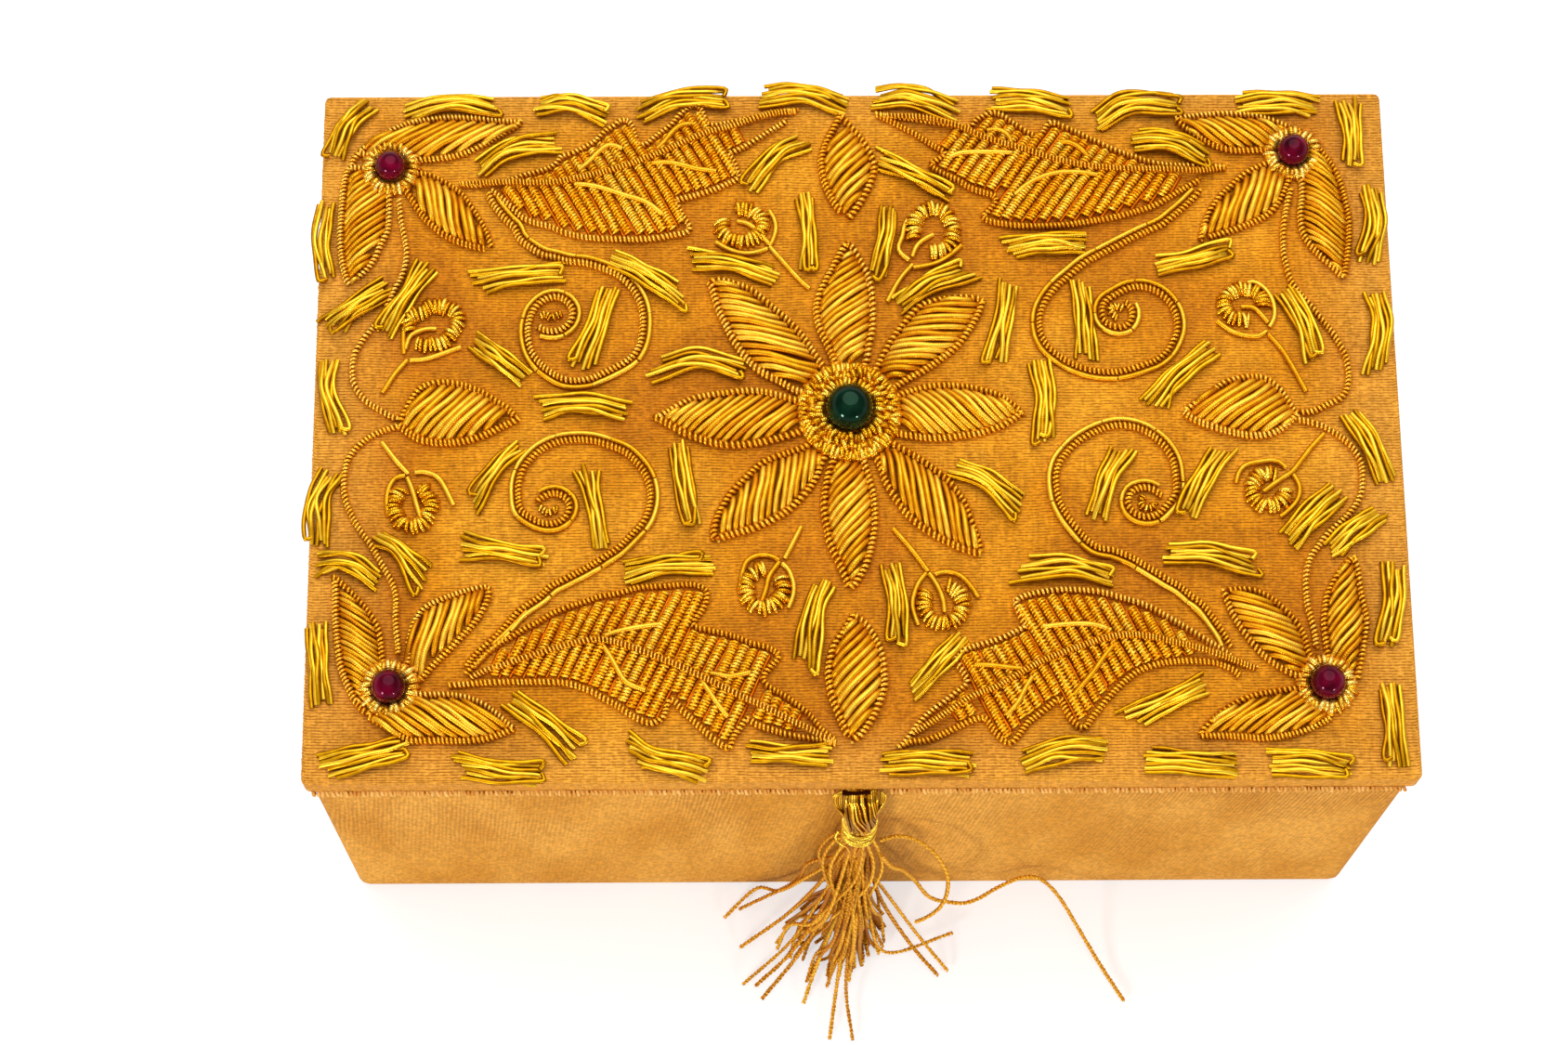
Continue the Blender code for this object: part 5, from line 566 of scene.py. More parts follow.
# Threads of the skirt that bow out from under the binding and back in.
SKIRT_LOOPS = (
    ((-1.9, -53.4, 46.8), (-3.6, -53.8, 44), (-4.8, -54.6, 38), (-4.6, -55.6, 32), (-3, -57.6, 25)),
    ((-1.6, -54, 46.4), (-2.9, -54.8, 42), (-3.8, -55.8, 36), (-3.2, -57.4, 29), (-1, -59, 23)),
    ((-2, -52.8, 46.9), (-4.2, -53, 43), (-5.4, -53.6, 36), (-4.2, -54.8, 29), (-2.4, -56.6, 22)),
    ((1.9, -53.9, 46.4), (3, -54.8, 42), (3.6, -55.8, 36), (2.6, -57.4, 30), (0.6, -59.2, 23)),
    ((1.2, -54.6, 46.2), (2.2, -56, 41), (2, -57.4, 35), (0.4, -58.6, 30), (-3.4, -60.2, 22)),
    ((0.6, -54.8, 46.2), (0.4, -56.2, 41), (-0.4, -57.6, 35), (-2.6, -58.8, 29), (-6, -60.4, 20)),
)


# Materials


def shade(colour):
    """A colour as the shader takes it: one grey level, three levels in 0 to 255, or four as they are."""
    if isinstance(colour, float):
        return (colour, colour, colour, 1.0)
    if len(colour) == 4:
        return colour
    levels = [level / 255.0 for level in colour]
    return (*(v / 12.92 if v <= 0.04045 else ((v + 0.055) / 1.055) ** 2.4 for v in levels), 1.0)


class Finish:
    """The nodes of a material, or of the world, up to the shader that they end in."""

    def __init__(self, owner, inputs, shader="Principled BSDF"):
        owner.use_nodes = True
        self.owner = owner
        self.tree = owner.node_tree
        self.shader = self.tree.nodes[shader]
        self.fill(self.shader, inputs)

    def fill(self, node, inputs):
        for key, value in inputs.items():
            if isinstance(value, bpy.types.NodeSocket):
                self.tree.links.new(value, node.inputs[key])
            else:
                node.inputs[key].default_value = value

    def node(self, kind, inputs=None, **settings):
        made = self.tree.nodes.new(kind)
        for key, value in settings.items():
            setattr(made, key, value)
        self.fill(made, inputs or {})
        return made

    def feed(self, name, socket):
        self.fill(self.shader, {name: socket})

    def stretched(self, place, scale):
        return self.node("ShaderNodeMapping", {"Vector": place, "Scale": scale}).outputs["Vector"]

    def place(self, scale=(1.0, 1.0, 1.0)):
        return self.stretched(self.node("ShaderNodeTexCoord").outputs["Object"], scale)

    def split(self, place):
        return self.node("ShaderNodeSeparateXYZ", {"Vector": place}).outputs

    def noise(self, scale, detail, stretch=(1.0, 1.0, 1.0)):
        inputs = {"Vector": self.place(stretch), "Scale": scale, "Detail": detail}
        return self.node("ShaderNodeTexNoise", inputs).outputs["Fac"]

    def waves(self, place, direction, **more):
        """Soft bands, one to each unit of length along the direction."""
        inputs = {"Vector": place, "Scale": math.pi / 10.0, **more}
        made = self.node("ShaderNodeTexWave", inputs, wave_type="BANDS", bands_direction=direction)
        return made.outputs["Fac"]

    def ramp(self, factor, *stops):
        made = self.node("ShaderNodeValToRGB", {"Fac": factor})
        band = made.color_ramp
        while len(band.elements) < len(stops):
            band.elements.new(0.5)
        for element, (place, colour) in zip(band.elements, stops):
            element.position = place
            element.color = shade(colour)
        return made.outputs["Color"]

    def maths(self, operation, first, second=0.0, third=0.0):
        made = self.node("ShaderNodeMath", {0: first, 1: second, 2: third}, operation=operation)
        return made.outputs["Value"]

    def mix(self, factor, first, second, kind="MIX"):
        inputs = {0: factor, 6: first, 7: second}
        return self.node("ShaderNodeMix", inputs, data_type="RGBA", blend_type=kind).outputs[2]

    def bump(self, height, distance, strength=1.0):
        inputs = {"Height": height, "Distance": distance * MM, "Strength": strength}
        self.feed("Normal", self.node("ShaderNodeBump", inputs).outputs["Normal"])

    def given(self, name):
        return self.node("ShaderNodeAttribute", attribute_name=name).outputs["Fac"]

    def rows(self, level, wander, sway, pitch, edge):
        """Lines a pitch apart, in millimetres, that wander a little and fade out by their edge."""
        level = self.maths("MULTIPLY_ADD", wander, sway, level)
        row = self.maths("FRACT", self.maths("DIVIDE", level, pitch * MM))
        return self.ramp(row, (0.0, 1.0), (edge, 0.0), (1.0 - edge, 0.0), (1.0, 1.0))

    def seen_by(self, *kinds):
        """One for the given kinds of ray, nought for all others."""
        rays = self.node("ShaderNodeLightPath").outputs
        level = rays[kinds[0]]
        for kind in kinds[1:]:
            level = self.maths("MAXIMUM", level, rays[kind])
        return level


def new_finish(name, **inputs):
    """A new material, with values for its shader's own sockets."""
    return Finish(bpy.data.materials.new(name), {key.replace("_", " "): inputs[key] for key in inputs})


def metal_thread(name, colours, roughness, metallic, rib, rib_height, grain=0.0, painted_rib_shade=0.0, painted_sheen=0.3):
    """Gold thread: a tone to each strand, painted highlight on its crown, painted shade on its sides, ribs
    round it, grain.
    """
    look = new_finish(
        name, Roughness=roughness, Metallic=metallic, Specular_Tint=(1.0, 0.82, 0.5, 1.0),
        Specular_IOR_Level=0.3,
    )
    # The sheen amount darkens the thread and lights it again where it faces up: painted shade and painted
    # highlight.
    level = look.maths("MULTIPLY_ADD", look.noise(900.0, 3.0), 0.5, -0.05 - 0.62 * painted_sheen)
    level = look.maths("MULTIPLY_ADD", look.given("tone"), 0.6, level)
    level = look.maths("MULTIPLY_ADD", look.given("crown"), painted_sheen, level)
    thread = look.node("ShaderNodeUVMap", uv_map="UVMap").outputs["UV"]
    height = look.waves(look.stretched(thread, (1.0 / (rib * MM), 0.0, 0.0)), "X")
    # Ribs painted darker in their hollows and lighter on their tops: painted shade and painted highlight.
    if painted_rib_shade:
        level = look.maths("ADD", level, look.maths("MULTIPLY_ADD", height, painted_rib_shade, -0.5 * painted_rib_shade))
    if grain:
        specks = look.noise(2200.0, 2.0)
        level = look.maths("ADD", level, look.maths("MULTIPLY_ADD", specks, 2.0 * grain, -grain))
        height = look.maths("MULTIPLY_ADD", specks, grain, height)
    look.feed("Base Color", look.ramp(level, *zip((0.15, 0.5, 0.85), colours)))
    look.bump(height, rib_height)
    return look.owner


def tissue_silk(name, base, pale, shadow, weft, painted_sheen, rows, depth):
    """Tissue silk: rows of weft that show as short dark dashes, fine warp, and a painted sheen that makes
    it paler by the rim.
    """
    look = new_finish(name, Roughness=0.65, Specular_IOR_Level=0.12)
    ground = look.ramp(look.noise(40.0, 5.0), (0.38, shadow), (0.5, base), (0.66, pale))
    place = look.split(look.place())
    aside = look.maths("MULTIPLY", look.maths("ABSOLUTE", place["X"]), 2.0 / (LID_W * MM))
    forward = look.maths("MULTIPLY", place["Y"], -2.0 / (LID_D * MM))
    # Paler towards the lid's edges: a painted sheen.
    edge = look.maths("MAXIMUM", forward, look.maths("MULTIPLY_ADD", forward, -1.0, -0.04))
    rim = look.ramp(look.maths("MAXIMUM", aside, edge), (0.82, 0.0), (0.95, 1.0))
    ground = look.mix(look.maths("MULTIPLY", rim, 0.75), ground, shade(painted_sheen))
    level = look.maths("ADD", place["Y"], place["Z"])
    line = look.rows(level, look.noise(90.0, 1.0), 0.0007, rows, 0.3)
    shown = look.ramp(look.noise(1.0, 2.0, (900.0, 2600.0, 2600.0)), (0.32, 0.0), (0.52, 1.0))
    dark = look.maths("MULTIPLY", look.maths("MULTIPLY", line, shown), depth)
    warp = look.noise(1.0, 2.0, (3200.0, 420.0, 420.0))
    shine = look.ramp(warp, (0.35, (0.88, 0.87, 0.84, 1.0)), (0.65, (1.08, 1.08, 1.10, 1.0)))
    coloured = look.mix(1.0, look.mix(dark, ground, shade(weft)), shine, "MULTIPLY")
    slubs = look.noise(1.0, 1.0, (1500.0, 4600.0, 4600.0))
    grain = look.ramp(slubs, (0.34, (0.78, 0.73, 0.66, 1.0)), (0.5, 1.0), (0.66, (1.14, 1.16, 1.3, 1.0)))
    look.feed("Base Color", look.mix(1.0, coloured, grain, "MULTIPLY"))
    look.bump(look.maths("MULTIPLY_ADD", warp, 0.5, look.maths("SUBTRACT", 1.0, dark)), 0.09, 0.8)
    return look.owner


def streaked_silk(name, base, pale, weft, rows):
    """The same silk turned on its side: fine upright streaks, soft patches and faint rows."""
    look = new_finish(name, Roughness=0.7, Specular_IOR_Level=0.08)
    ground = look.ramp(look.noise(70.0, 4.0, (1.6, 1.6, 0.5)), (0.36, base), (0.64, pale))
    height = look.split(look.place())["Z"]
    line = look.rows(height, look.noise(120.0, 1.0), 0.0006, rows, 0.35)
    coloured = look.mix(look.maths("MULTIPLY", line, 0.2), ground, shade(weft))
    more = {"Distortion": 3.4, "Detail": 1.5, "Detail Scale": 0.8}
    waves = look.waves(look.place((3300.0, 3300.0, -320.0)), "DIAGONAL", **more)
    shown = look.ramp(look.noise(55.0, 2.0, (1.0, 1.0, 0.7)), (0.4, 0.25), (0.6, 0.8))
    above = look.maths("MULTIPLY_ADD", height, 14.0, 0.15)
    shown = look.maths("MULTIPLY", shown, look.maths("MINIMUM", above, 1.0))
    lines = look.maths("MULTIPLY", look.maths("SUBTRACT", 1.0, waves), shown)
    coloured = look.mix(look.maths("MULTIPLY", lines, 0.7), coloured, shade(weft))
    streaks = look.noise(1.0, 2.0, (1900.0, 1900.0, 1100.0))
    shine = look.ramp(streaks, (0.34, (0.82, 0.79, 0.72, 1.0)), (0.66, (1.15, 1.17, 1.26, 1.0)))
    look.feed("Base Color", look.mix(1.0, coloured, shine, "MULTIPLY"))
    look.bump(look.maths("MULTIPLY_ADD", waves, 0.5, streaks), 0.06, 0.7)
    return look.owner


def clouded(look, noise, low, high, bump=None):
    """Two colours in clouds or flecks, which also stand up a little where there is a bump."""
    flecks = look.noise(*noise)
    look.feed("Base Color", look.ramp(flecks, low, high))
    if bump:
        look.bump(flecks, *bump)
    return look.owner


def glass_bead(name, deep, clear, gleam):
    look = new_finish(name, Roughness=0.07, Specular_Tint=shade(gleam), Specular_IOR_Level=0.24)
    return clouded(look, (420.0, 3.0), (0.35, deep), (0.7, clear))


COIL_GOLD = metal_thread(
    "coil_gold", ((206, 112, 4), (244, 176, 34), (255, 218, 104)), 0.34, 0.72, 0.9, 0.0, painted_sheen=0.22
)
STRAND_GOLD = metal_thread(
    "strand_gold", ((192, 102, 2), (226, 158, 14), (250, 198, 60)), 0.33, 0.72, 0.24, 0.02, painted_sheen=0.34
)
DASH_GOLD = metal_thread(
    "dash_gold", ((144, 82, 0), (218, 158, 6), (255, 208, 56)), 0.28, 0.78, 0.24, 0.01, painted_sheen=0.5
)
ROUGH_GOLD = metal_thread(
    "rough_gold", ((222, 118, 0), (255, 190, 16), (255, 234, 96)), 0.42, 0.66, 0.4, 0.0, grain=0.6, painted_sheen=0.0
)
CUT_GOLD = metal_thread(
    "cut_gold", ((200, 124, 4), (240, 180, 30), (255, 222, 84)), 0.22, 0.9, 0.3, 0.03
)
PALE_GOLD = metal_thread(
    "pale_cut_gold", ((200, 126, 20), (238, 182, 56), (255, 224, 118)), 0.24, 0.85, 0.3, 0.02
)
GIMP_GOLD = metal_thread(
    "gimp_gold", ((176, 102, 4), (226, 154, 22), (250, 198, 64)), 0.5, 0.25, 0.56, 0.06, painted_rib_shade=0.4
)
HEAD_GOLD = metal_thread(
    "tassel_head_gold", ((110, 60, 0), (188, 124, 8), (255, 212, 72)), 0.26, 0.85, 0.5, 0.012
)
HEM_THREAD = metal_thread(
    "hem_thread", ((214, 146, 60), (234, 174, 86), (246, 196, 116)), 0.7, 0.0, 0.5, 0.02
)
# Dark brown for cores, rings and dots put where there is only shade: painted shade.
SHADE_BROWN = clouded(
    new_finish("painted_shade_brown", Roughness=0.8, Specular_IOR_Level=0.0), (500.0, 2.0),
    (0.3, (112, 42, 2)), (0.7, (164, 80, 8)),
)
LID_SILK = tissue_silk(
    "lid_silk", (223, 143, 12), (239, 163, 34), (202, 121, 8), (138, 68, 4), (228, 160, 58), 0.41, 0.85
)
WALL_SILK = streaked_silk("wall_silk", (208, 140, 42), (226, 161, 64), (146, 84, 16), 0.36)
SATIN = clouded(
    new_finish("lining_satin", Roughness=0.38, Sheen_Weight=0.3), (1.0, 1.0, (2500.0, 300.0, 2500.0)),
    (0.35, (196, 132, 42)), (0.65, (214, 152, 60)), (0.03, 0.5),
)
CARD = clouded(
    new_finish("grey_card", Roughness=0.9), (700.0, 4.0),
    (0.35, (150, 140, 120)), (0.65, (176, 166, 146)), (0.08, 0.6),
)
GREEN_GLASS = glass_bead("green_glass", (0, 13, 6), (4, 42, 24), (175, 240, 200))
RUBY_GLASS = glass_bead("ruby_glass", (44, 0, 6), (110, 0, 34), (255, 150, 190))


# Threads


def on_lid(places):
    """Places given in percent of the lid's width and depth, in millimetres."""
    return np.asarray(places, float) * (LID_W, LID_D) / 100.0


def raised(path, height):
    """A flat path lifted above the lid's cloth, by one height or by one to each place."""
    return np.column_stack((path, np.broadcast_to(LID_TOP + height, len(path))))


def lengths_along(points):
    steps = np.linalg.norm(np.diff(points, axis=0), axis=1)
    return np.concatenate(((0.0,), np.cumsum(steps)))


def read_off(marks, lengths, rows):
    """The rows as they are at some marks, from the lengths that the rows belong to."""
    return np.stack([np.interp(marks, lengths, column) for column in rows.T], axis=-1)


def even(points, step):
    """A smooth line through the points, marked off in equal steps."""
    points = np.asarray(points, float)
    if len(points) > 2:
        ends = np.vstack((2 * points[0] - points[1], points, 2 * points[-1] - points[-2]))
        share = np.linspace(0.0, 1.0, 8, endpoint=False)[:, None]
        parts = [
            0.5 * (
                2 * b + (c - a) * share + (2 * a - 5 * b + 4 * c - d) * share**2
                + (3 * b - a - 3 * c + d) * share**3
            )
            for a, b, c, d in zip(ends, ends[1:], ends[2:], ends[3:])
        ]
        points = np.vstack(parts + [points[-1:]])
    reach = lengths_along(points)
    count = max(2, int(round(reach[-1] / step)) + 1)
    return read_off(np.linspace(0.0, reach[-1], count), reach, points)


def side_of(path):
    """Directions along a path and to its left, level with the lid."""
    ahead = np.gradient(path, axis=0)
    ahead /= np.linalg.norm(ahead, axis=1)[:, None]
    left = np.column_stack((-ahead[:, 1], ahead[:, 0]))
    left /= np.maximum(np.linalg.norm(left, axis=1), 1e-6)[:, None]
    return ahead, left


def aside(path, distance):
    return path + side_of(path[:, :2])[1] * distance


class Skein:
    """Threads and wires gathered for one mesh; each keeps its radius, tone and finish."""

    def __init__(self, ring, *materials):
        self.ring = ring
        self.materials = materials
        self.threads = []

    def add(self, path, radius, tone=0.5, slot=0):
        path = np.asarray(path, float) * MM
        radii = np.broadcast_to(np.asarray(radius, float) * MM, len(path))
        self.threads.append((path, radii, tone, slot))

    def mesh(self):
        curve = bpy.data.curves.new("skein", "CURVE")
        curve.dimensions = "3D"
        curve.bevel_depth = 1.0
        curve.bevel_resolution = self.ring
        curve.use_fill_caps = True
        for material in self.materials:
            curve.materials.append(material)
        for path, radii, _, slot in self.threads:
            spline = curve.splines.new("POLY")
            spline.points.add(len(path) - 1)
            spline.points.foreach_set("co", np.column_stack((path, np.ones(len(path)))).ravel())
            spline.points.foreach_set("radius", radii)
            spline.material_index = slot
            spline.use_smooth = True
        holder = bpy.data.objects.new("skein", curve)
        bpy.context.scene.collection.objects.link(holder)
        bpy.context.view_layer.update()
        made = holder.evaluated_get(bpy.context.evaluated_depsgraph_get())
        mesh = bpy.data.meshes.new_from_object(made)
        bpy.data.objects.remove(holder)
        bpy.data.curves.remove(curve)
        self.mark(mesh)
        return mesh

    def mark(self, mesh):
        """Give the mesh its tones and crowns, and bring its UV to metres along each thread."""
        sides = 4 + 2 * self.ring
        tones = [np.full(2 * sides, tone) for _, _, tone, _ in reversed(self.threads)]
        tones += [np.full(sides * len(path), tone) for path, _, tone, _ in self.threads]
        # Crowns: how far each point faces up; the gold finishes paint them lighter, a painted highlight.
        facing = np.zeros(3 * len(mesh.vertices))
        mesh.vertices.foreach_get("normal", facing)
        crowns = np.clip(facing[2::3], 0.0, 1.0)
        for name, values in (("tone", np.concatenate(tones)), ("crown", crowns)):
            mesh.attributes.new(name, "FLOAT", "POINT").data.foreach_set("value", values)
        caps = 2 * (sides - 2) * 3 * len(self.threads)
        scale = [np.zeros(caps)]
        for path, _, _, _ in self.threads:
            scale.append(np.full(4 * sides * (len(path) - 1), lengths_along(path)[-1]))
        layer = mesh.uv_layers[0].data
        uv = np.zeros(2 * len(layer))
        layer.foreach_get("uv", uv)
        uv[0::2] *= np.concatenate(scale)
        layer.foreach_set("uv", uv)


def piece(name, mesh, body, *nodes):
    """One piece from its mesh, riding on a body if it has one and standing for its solids."""
    mesh.name = name
    made = bpy.data.objects.new(name, mesh)
    bpy.context.scene.collection.objects.link(made)
    if body:
        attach(made, body)
    if nodes:
        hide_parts(*nodes)
    return made


def thread_piece(name, skeins, body, *nodes):
    """One piece from the threads of its skeins, which keep their finishes in order."""
    meshes = [skein.mesh() for skein in skeins]
    mesh = meshes[0]
    if len(meshes) > 1:
        joined = bmesh.new()
        materials = []
        for part in meshes:
            start = len(joined.faces)
            joined.from_mesh(part)
            joined.faces.ensure_lookup_table()
            for face in joined.faces[start:]:
                face.material_index += len(materials)
            materials.extend(part.materials)
        mesh = bpy.data.meshes.new(name)
        joined.to_mesh(mesh)
        joined.free()
        for material in materials:
            mesh.materials.append(material)
    return piece(name, mesh, body, *nodes)


def solid_piece(shell, name, material, body, *nodes):
    """One piece from a finished bmesh."""
    for face in shell.faces:
        face.smooth = True
    mesh = bpy.data.meshes.new(name)
    shell.to_mesh(mesh)
    shell.free()
    mesh.materials.append(material)
    return piece(name, mesh, body, *nodes)


def coil_on(
    wires, cores, path, rng, height=COIL_HEIGHT, reach=COIL_REACH, wire=COIL_WIRE, pitch=COIL_PITCH,
    turn=8, ragged=0.0,
):
    """Wind a coil of wire round a path on the lid, over a core; a dark brown core is painted shade between
    the turns.
    """
    path = even(path, 0.5)
    if path.shape[1] == 2:
        path = raised(path, height)
    pitch *= rng.uniform(0.9, 1.12)
    reach *= rng.uniform(0.93, 1.07)
    run = lengths_along(path)
    count = max(turn + 1, int(run[-1] / pitch * turn))
    marks = np.linspace(0.0, run[-1], count)
    middle = read_off(marks, run, path)
    ahead, left = side_of(middle)
    left = np.column_stack((left, np.zeros(count)))
    up = np.cross(ahead, left)
    up *= np.sign(up[:, 2:3] + 1e-9)
    drift = 0.5 * np.sin(marks * 0.9 + rng.uniform(0, 6))
    drift += 0.3 * np.sin(marks * 2.3 + rng.uniform(0, 6))
    angle = (marks / pitch * 2 * math.pi + drift)[:, None]
    tone = rng.uniform(0.3, 0.7)
    swell = np.array([[reach + rng.uniform(-ragged, ragged)] for _ in range(count)])
    wires.add(middle + swell * (np.cos(angle) * left + np.sin(angle) * up), wire, tone)
    cores.add(even(path, 1.0), reach - 0.1)


def hatch(outline, angle, pitch, trim, rng, jitter=0.08):
    """Lines laid across an outline at one angle, a pitch apart, that stop short of its edges."""
    following = np.roll(outline, -1, axis=0)
    turn = math.radians(angle)
    forward = np.array((math.cos(turn), math.sin(turn)))
    across = np.array((-math.sin(turn), math.cos(turn)))
    depth = outline @ across
    lines = []
    level = depth.min() + pitch * 0.6
    while level < depth.max():
        here = depth - level
        there = following @ across - level
        hits = []
        for index in np.nonzero((here < 0) != (there < 0))[0]:
            edge = following[index] - outline[index]
            point = outline[index] + edge * here[index] / (here[index] - there[index])
            slant = abs(edge @ across) / max(np.linalg.norm(edge), 1e-6)
            beside = 0.36 * pitch * math.sqrt(max(0.0, 1.0 - slant**2))
            hits.append((point @ forward, (trim + beside) / max(slant, 0.3)))
        hits.sort()
        for (start, cut), (stop, short) in zip(hits[::2], hits[1::2]):
            if stop - short - start - cut > pitch * 1.5:
                lines.append([forward * reach + across * level for reach in (start + cut, stop - short)])
        level += pitch * (1 + rng.uniform(-jitter, jitter))
    return lines


def arched(start, stop, rise, radius, rng):
    """One strand from edge to edge that rises over its padding and dips at its ends."""
    share = 0.5 - 0.5 * np.cos(np.linspace(0.0, math.pi, 9))
    run = stop - start
    length = np.linalg.norm(run)
    across = np.array((-run[1], run[0])) / length
    bow = 0.022 * length
    sway = rng.uniform(-0.2, 1.2) * bow * np.sin(2 * math.pi * share) + rng.uniform(-0.05, 0.05)
    sway += rng.uniform(-0.6, 0.6) * bow * np.sin(math.pi * share)
    flat = start + run * share[:, None] + across * sway[:, None]
    return raised(flat, radius * 0.6 + rise * np.sin(math.pi * share) ** 0.6 + rng.uniform(-0.05, 0.05))


def run_in(edge, centre, radius):
    """An edge of a petal carried on to the ring round its centre."""
    edge = on_lid(edge)
    if centre is not None:
        inward = on_lid(centre) - edge[0]
        away = np.linalg.norm(inward)
        if radius < away < 2.2 * radius:
            edge = np.vstack((edge[0] + inward * (1 - radius / away), edge))
    return even(edge, 0.8)


def petal(strands, wires, cores, edges, angle, rng, pitch, centre, radius, stout=1.0):
    """A padded petal: coil round its edges and strands laid across it."""
    first, second = [run_in(edge, centre, radius) for edge in edges]
    outline = np.vstack((first, second[::-1]))
    middle = outline.mean(axis=0)
    for edge in (first, second):
        inward = np.sign(np.sum(side_of(edge)[1] * (middle - edge), axis=1).mean())
        coil_on(
            wires, cores, aside(edge, COIL_INSET * inward), rng, 0.5 + 0.05 * stout,
            COIL_REACH * stout, COIL_WIRE * stout, COIL_PITCH * stout,
        )
    for start, stop in hatch(outline, angle, pitch, 0.82, rng):
        rise = min(1.1, 0.3 * np.linalg.norm(stop - start))
        strands.add(
            arched(start, stop, rise, 0.5 * pitch, rng),
            0.5 * pitch * rng.uniform(1.02, 1.16), rng.uniform(0.1, 0.9),
        )


def cut_ring(chips, path, rng, reach, pitch, lift, radius, wild=1.0, closed=False):
    """Cut lengths of bright wire laid side by side across a path, each a small arch."""
    path = even(path, 0.25)
    run = lengths_along(path)
    left = side_of(path)[1]
    share = np.linspace(-1.0, 1.0, 6)
    for index in range(int(run[-1] / pitch) + (0 if closed else 1)):
        rng.random()  # a spare draw, so that those after it fall as they always have
        mark = min(run[-1], (index + rng.uniform(-0.18, 0.18)) * pitch)
        aim = read_off(mark, run, left)
        aim += rng.uniform(-0.16, 0.16) * wild * np.array((-aim[1], aim[0]))
        here = read_off(mark, run, path) + aim * rng.uniform(-0.12, 0.12) * wild
        half = reach * rng.uniform(0.88, 1.1)
        height = 0.3 + rng.uniform(-0.12, 0.12) * (wild - 1)
        height = height + lift * rng.uniform(0.8, 1.15) * (1 - share**2) ** 0.7
        flat = here + aim * (share * half)[:, None]
        chips.add(raised(flat, height), radius * rng.uniform(0.85, 1.15), rng.uniform(0.0, 1.0))


def dash(strands, line, fans, count, rng):
    """A bundle of bright cut strands laid over a little padding, its ends ragged."""
    line = on_lid(line)
    run = line[2] - line[0]
    forward = run / np.linalg.norm(run)
    across = np.array((-forward[1], forward[0]))
    spread = []
    for place, fan in zip((line[0], line[2]), fans):
        half = across * 0.28 * (count - 1)
        ends = on_lid(fan) if fan else np.array((place - half, place + half))
        spread.append(ends if (ends[1] - ends[0]) @ across >= 0 else ends[::-1])
    (begin_low, begin_high), (end_low, end_high) = spread
    order = list(range(count))
    swap = rng.randrange(count - 1)
    if rng.random() < 0.7:
        order[swap], order[swap + 1] = order[swap + 1], order[swap]
    gather = rng.uniform(0.44, 0.58)
    for index in range(count):
        share = index / (count - 1.0)
        begin = begin_low + (begin_high - begin_low) * share
        end = end_low + (end_high - end_low) * order[index] / (count - 1.0)
        centre = line[1] + across * (share - 0.5) * gather * (count - 1)
        begin = begin - forward * rng.uniform(-0.6, 0.8) + across * rng.uniform(-0.2, 0.2)
        end = end + forward * rng.uniform(-0.6, 0.8) + across * rng.uniform(-0.2, 0.2)
        centre = centre + across * rng.uniform(-0.16, 0.16) + forward * rng.uniform(-1.0, 1.0)
        route = [begin, centre, end]
        hooked = index in (0, count - 1) and rng.random() < 0.45
        inward = across * (1.0 if index == 0 else -1.0)
        hook = [end + forward * 0.35 + inward * 0.55, end + inward * rng.uniform(1.0, 1.3)]
        flat = even(route + hook if hooked else route, 0.5)
        walk = np.linspace(0.0, 1.0, len(flat))
        sway = 0.15 * np.sin(math.pi * walk)
        sway *= np.sin(2 * math.pi * (walk * rng.uniform(1.0, 1.7) + rng.random()))
        flat = flat + across * sway[:, None]
        peak = rng.uniform(0.35, 0.65)
        rise = np.sin(math.pi * np.where(walk < peak, walk / peak, (1 - walk) / (1 - peak)) / 2)
        top = (0.5 + 0.5 * math.sin(math.pi * share) + 0.5 * rng.random()) * rise
        if hooked:
            top = top + 0.5 * np.clip(walk * 4 - 2.6, 0.0, 1.0)
        strands.add(
            raised(flat, 0.34 + top), DASH_STRAND * rng.uniform(0.92, 1.08),
            (0.15, 0.75, 0.4, 0.95, 0.25, 0.6)[index % 6] + rng.uniform(-0.15, 0.15),
        )


def bead(name, centre, diameter, material, node):
    """A glass bead, a little flat underneath and sunk among the wires round it."""
    ball = bmesh.new()
    bmesh.ops.create_uvsphere(ball, u_segments=48, v_segments=32, radius=diameter / 2 * MM)
    under = [vertex for vertex in ball.verts if vertex.co.z < 0]
    bmesh.ops.scale(ball, vec=(1.0, 1.0, 0.68), verts=under)
    place = Vector((*on_lid(centre), LID_TOP + 0.36 * diameter)) * MM
    bmesh.ops.translate(ball, vec=place, verts=ball.verts)
    solid_piece(ball, name, material, "lid", node)


def ring_path(centre, radius):
    angles = np.linspace(0.0, 2 * math.pi, 49)
    return on_lid(centre) + radius * np.column_stack((np.cos(angles), np.sin(angles)))


def add_centre_flower():
    rng = random.Random(11)
    for name, first, second, angle in PETALS:
        strands, wires, cores = Skein(1, STRAND_GOLD), Skein(0, COIL_GOLD), Skein(1, SHADE_BROWN)
        centre, pitch = (CENTRE, 0.84) if name.startswith("petal") else (None, 0.98)
        petal(strands, wires, cores, (first, second), angle, rng, pitch, centre, FLOWER_RING, 1.15)
        for vine in SIDE_VINES.get(name, ()):
            coil_on(wires, cores, on_lid(vine), rng)
        thread_piece(name + "_gold", (strands, wires, cores), "lid", name)
    chips, bed = Skein(1, CUT_GOLD), Skein(1, ROUGH_GOLD)
    for radius in (4.0, 5.3, 6.6):
        bed.add(raised(ring_path(CENTRE, radius), 0.3), 0.8)
    for radius, *chip in (
        (4.15, 0.95, 0.64, 1.5, 0.33, 2.2), (5.3, 0.8, 1.1, 1.7, 0.32, 4.0),
        (6.35, 0.98, 0.64, 1.1, 0.33, 2.2),
    ):
        cut_ring(chips, ring_path(CENTRE, radius), rng, *chip, closed=True)
    thread_piece("centre_collar_gold", (chips, bed), "lid", "centre_collar")
    bead("centre_bead_glass", CENTRE, 6.6, GREEN_GLASS, "centre_bead")


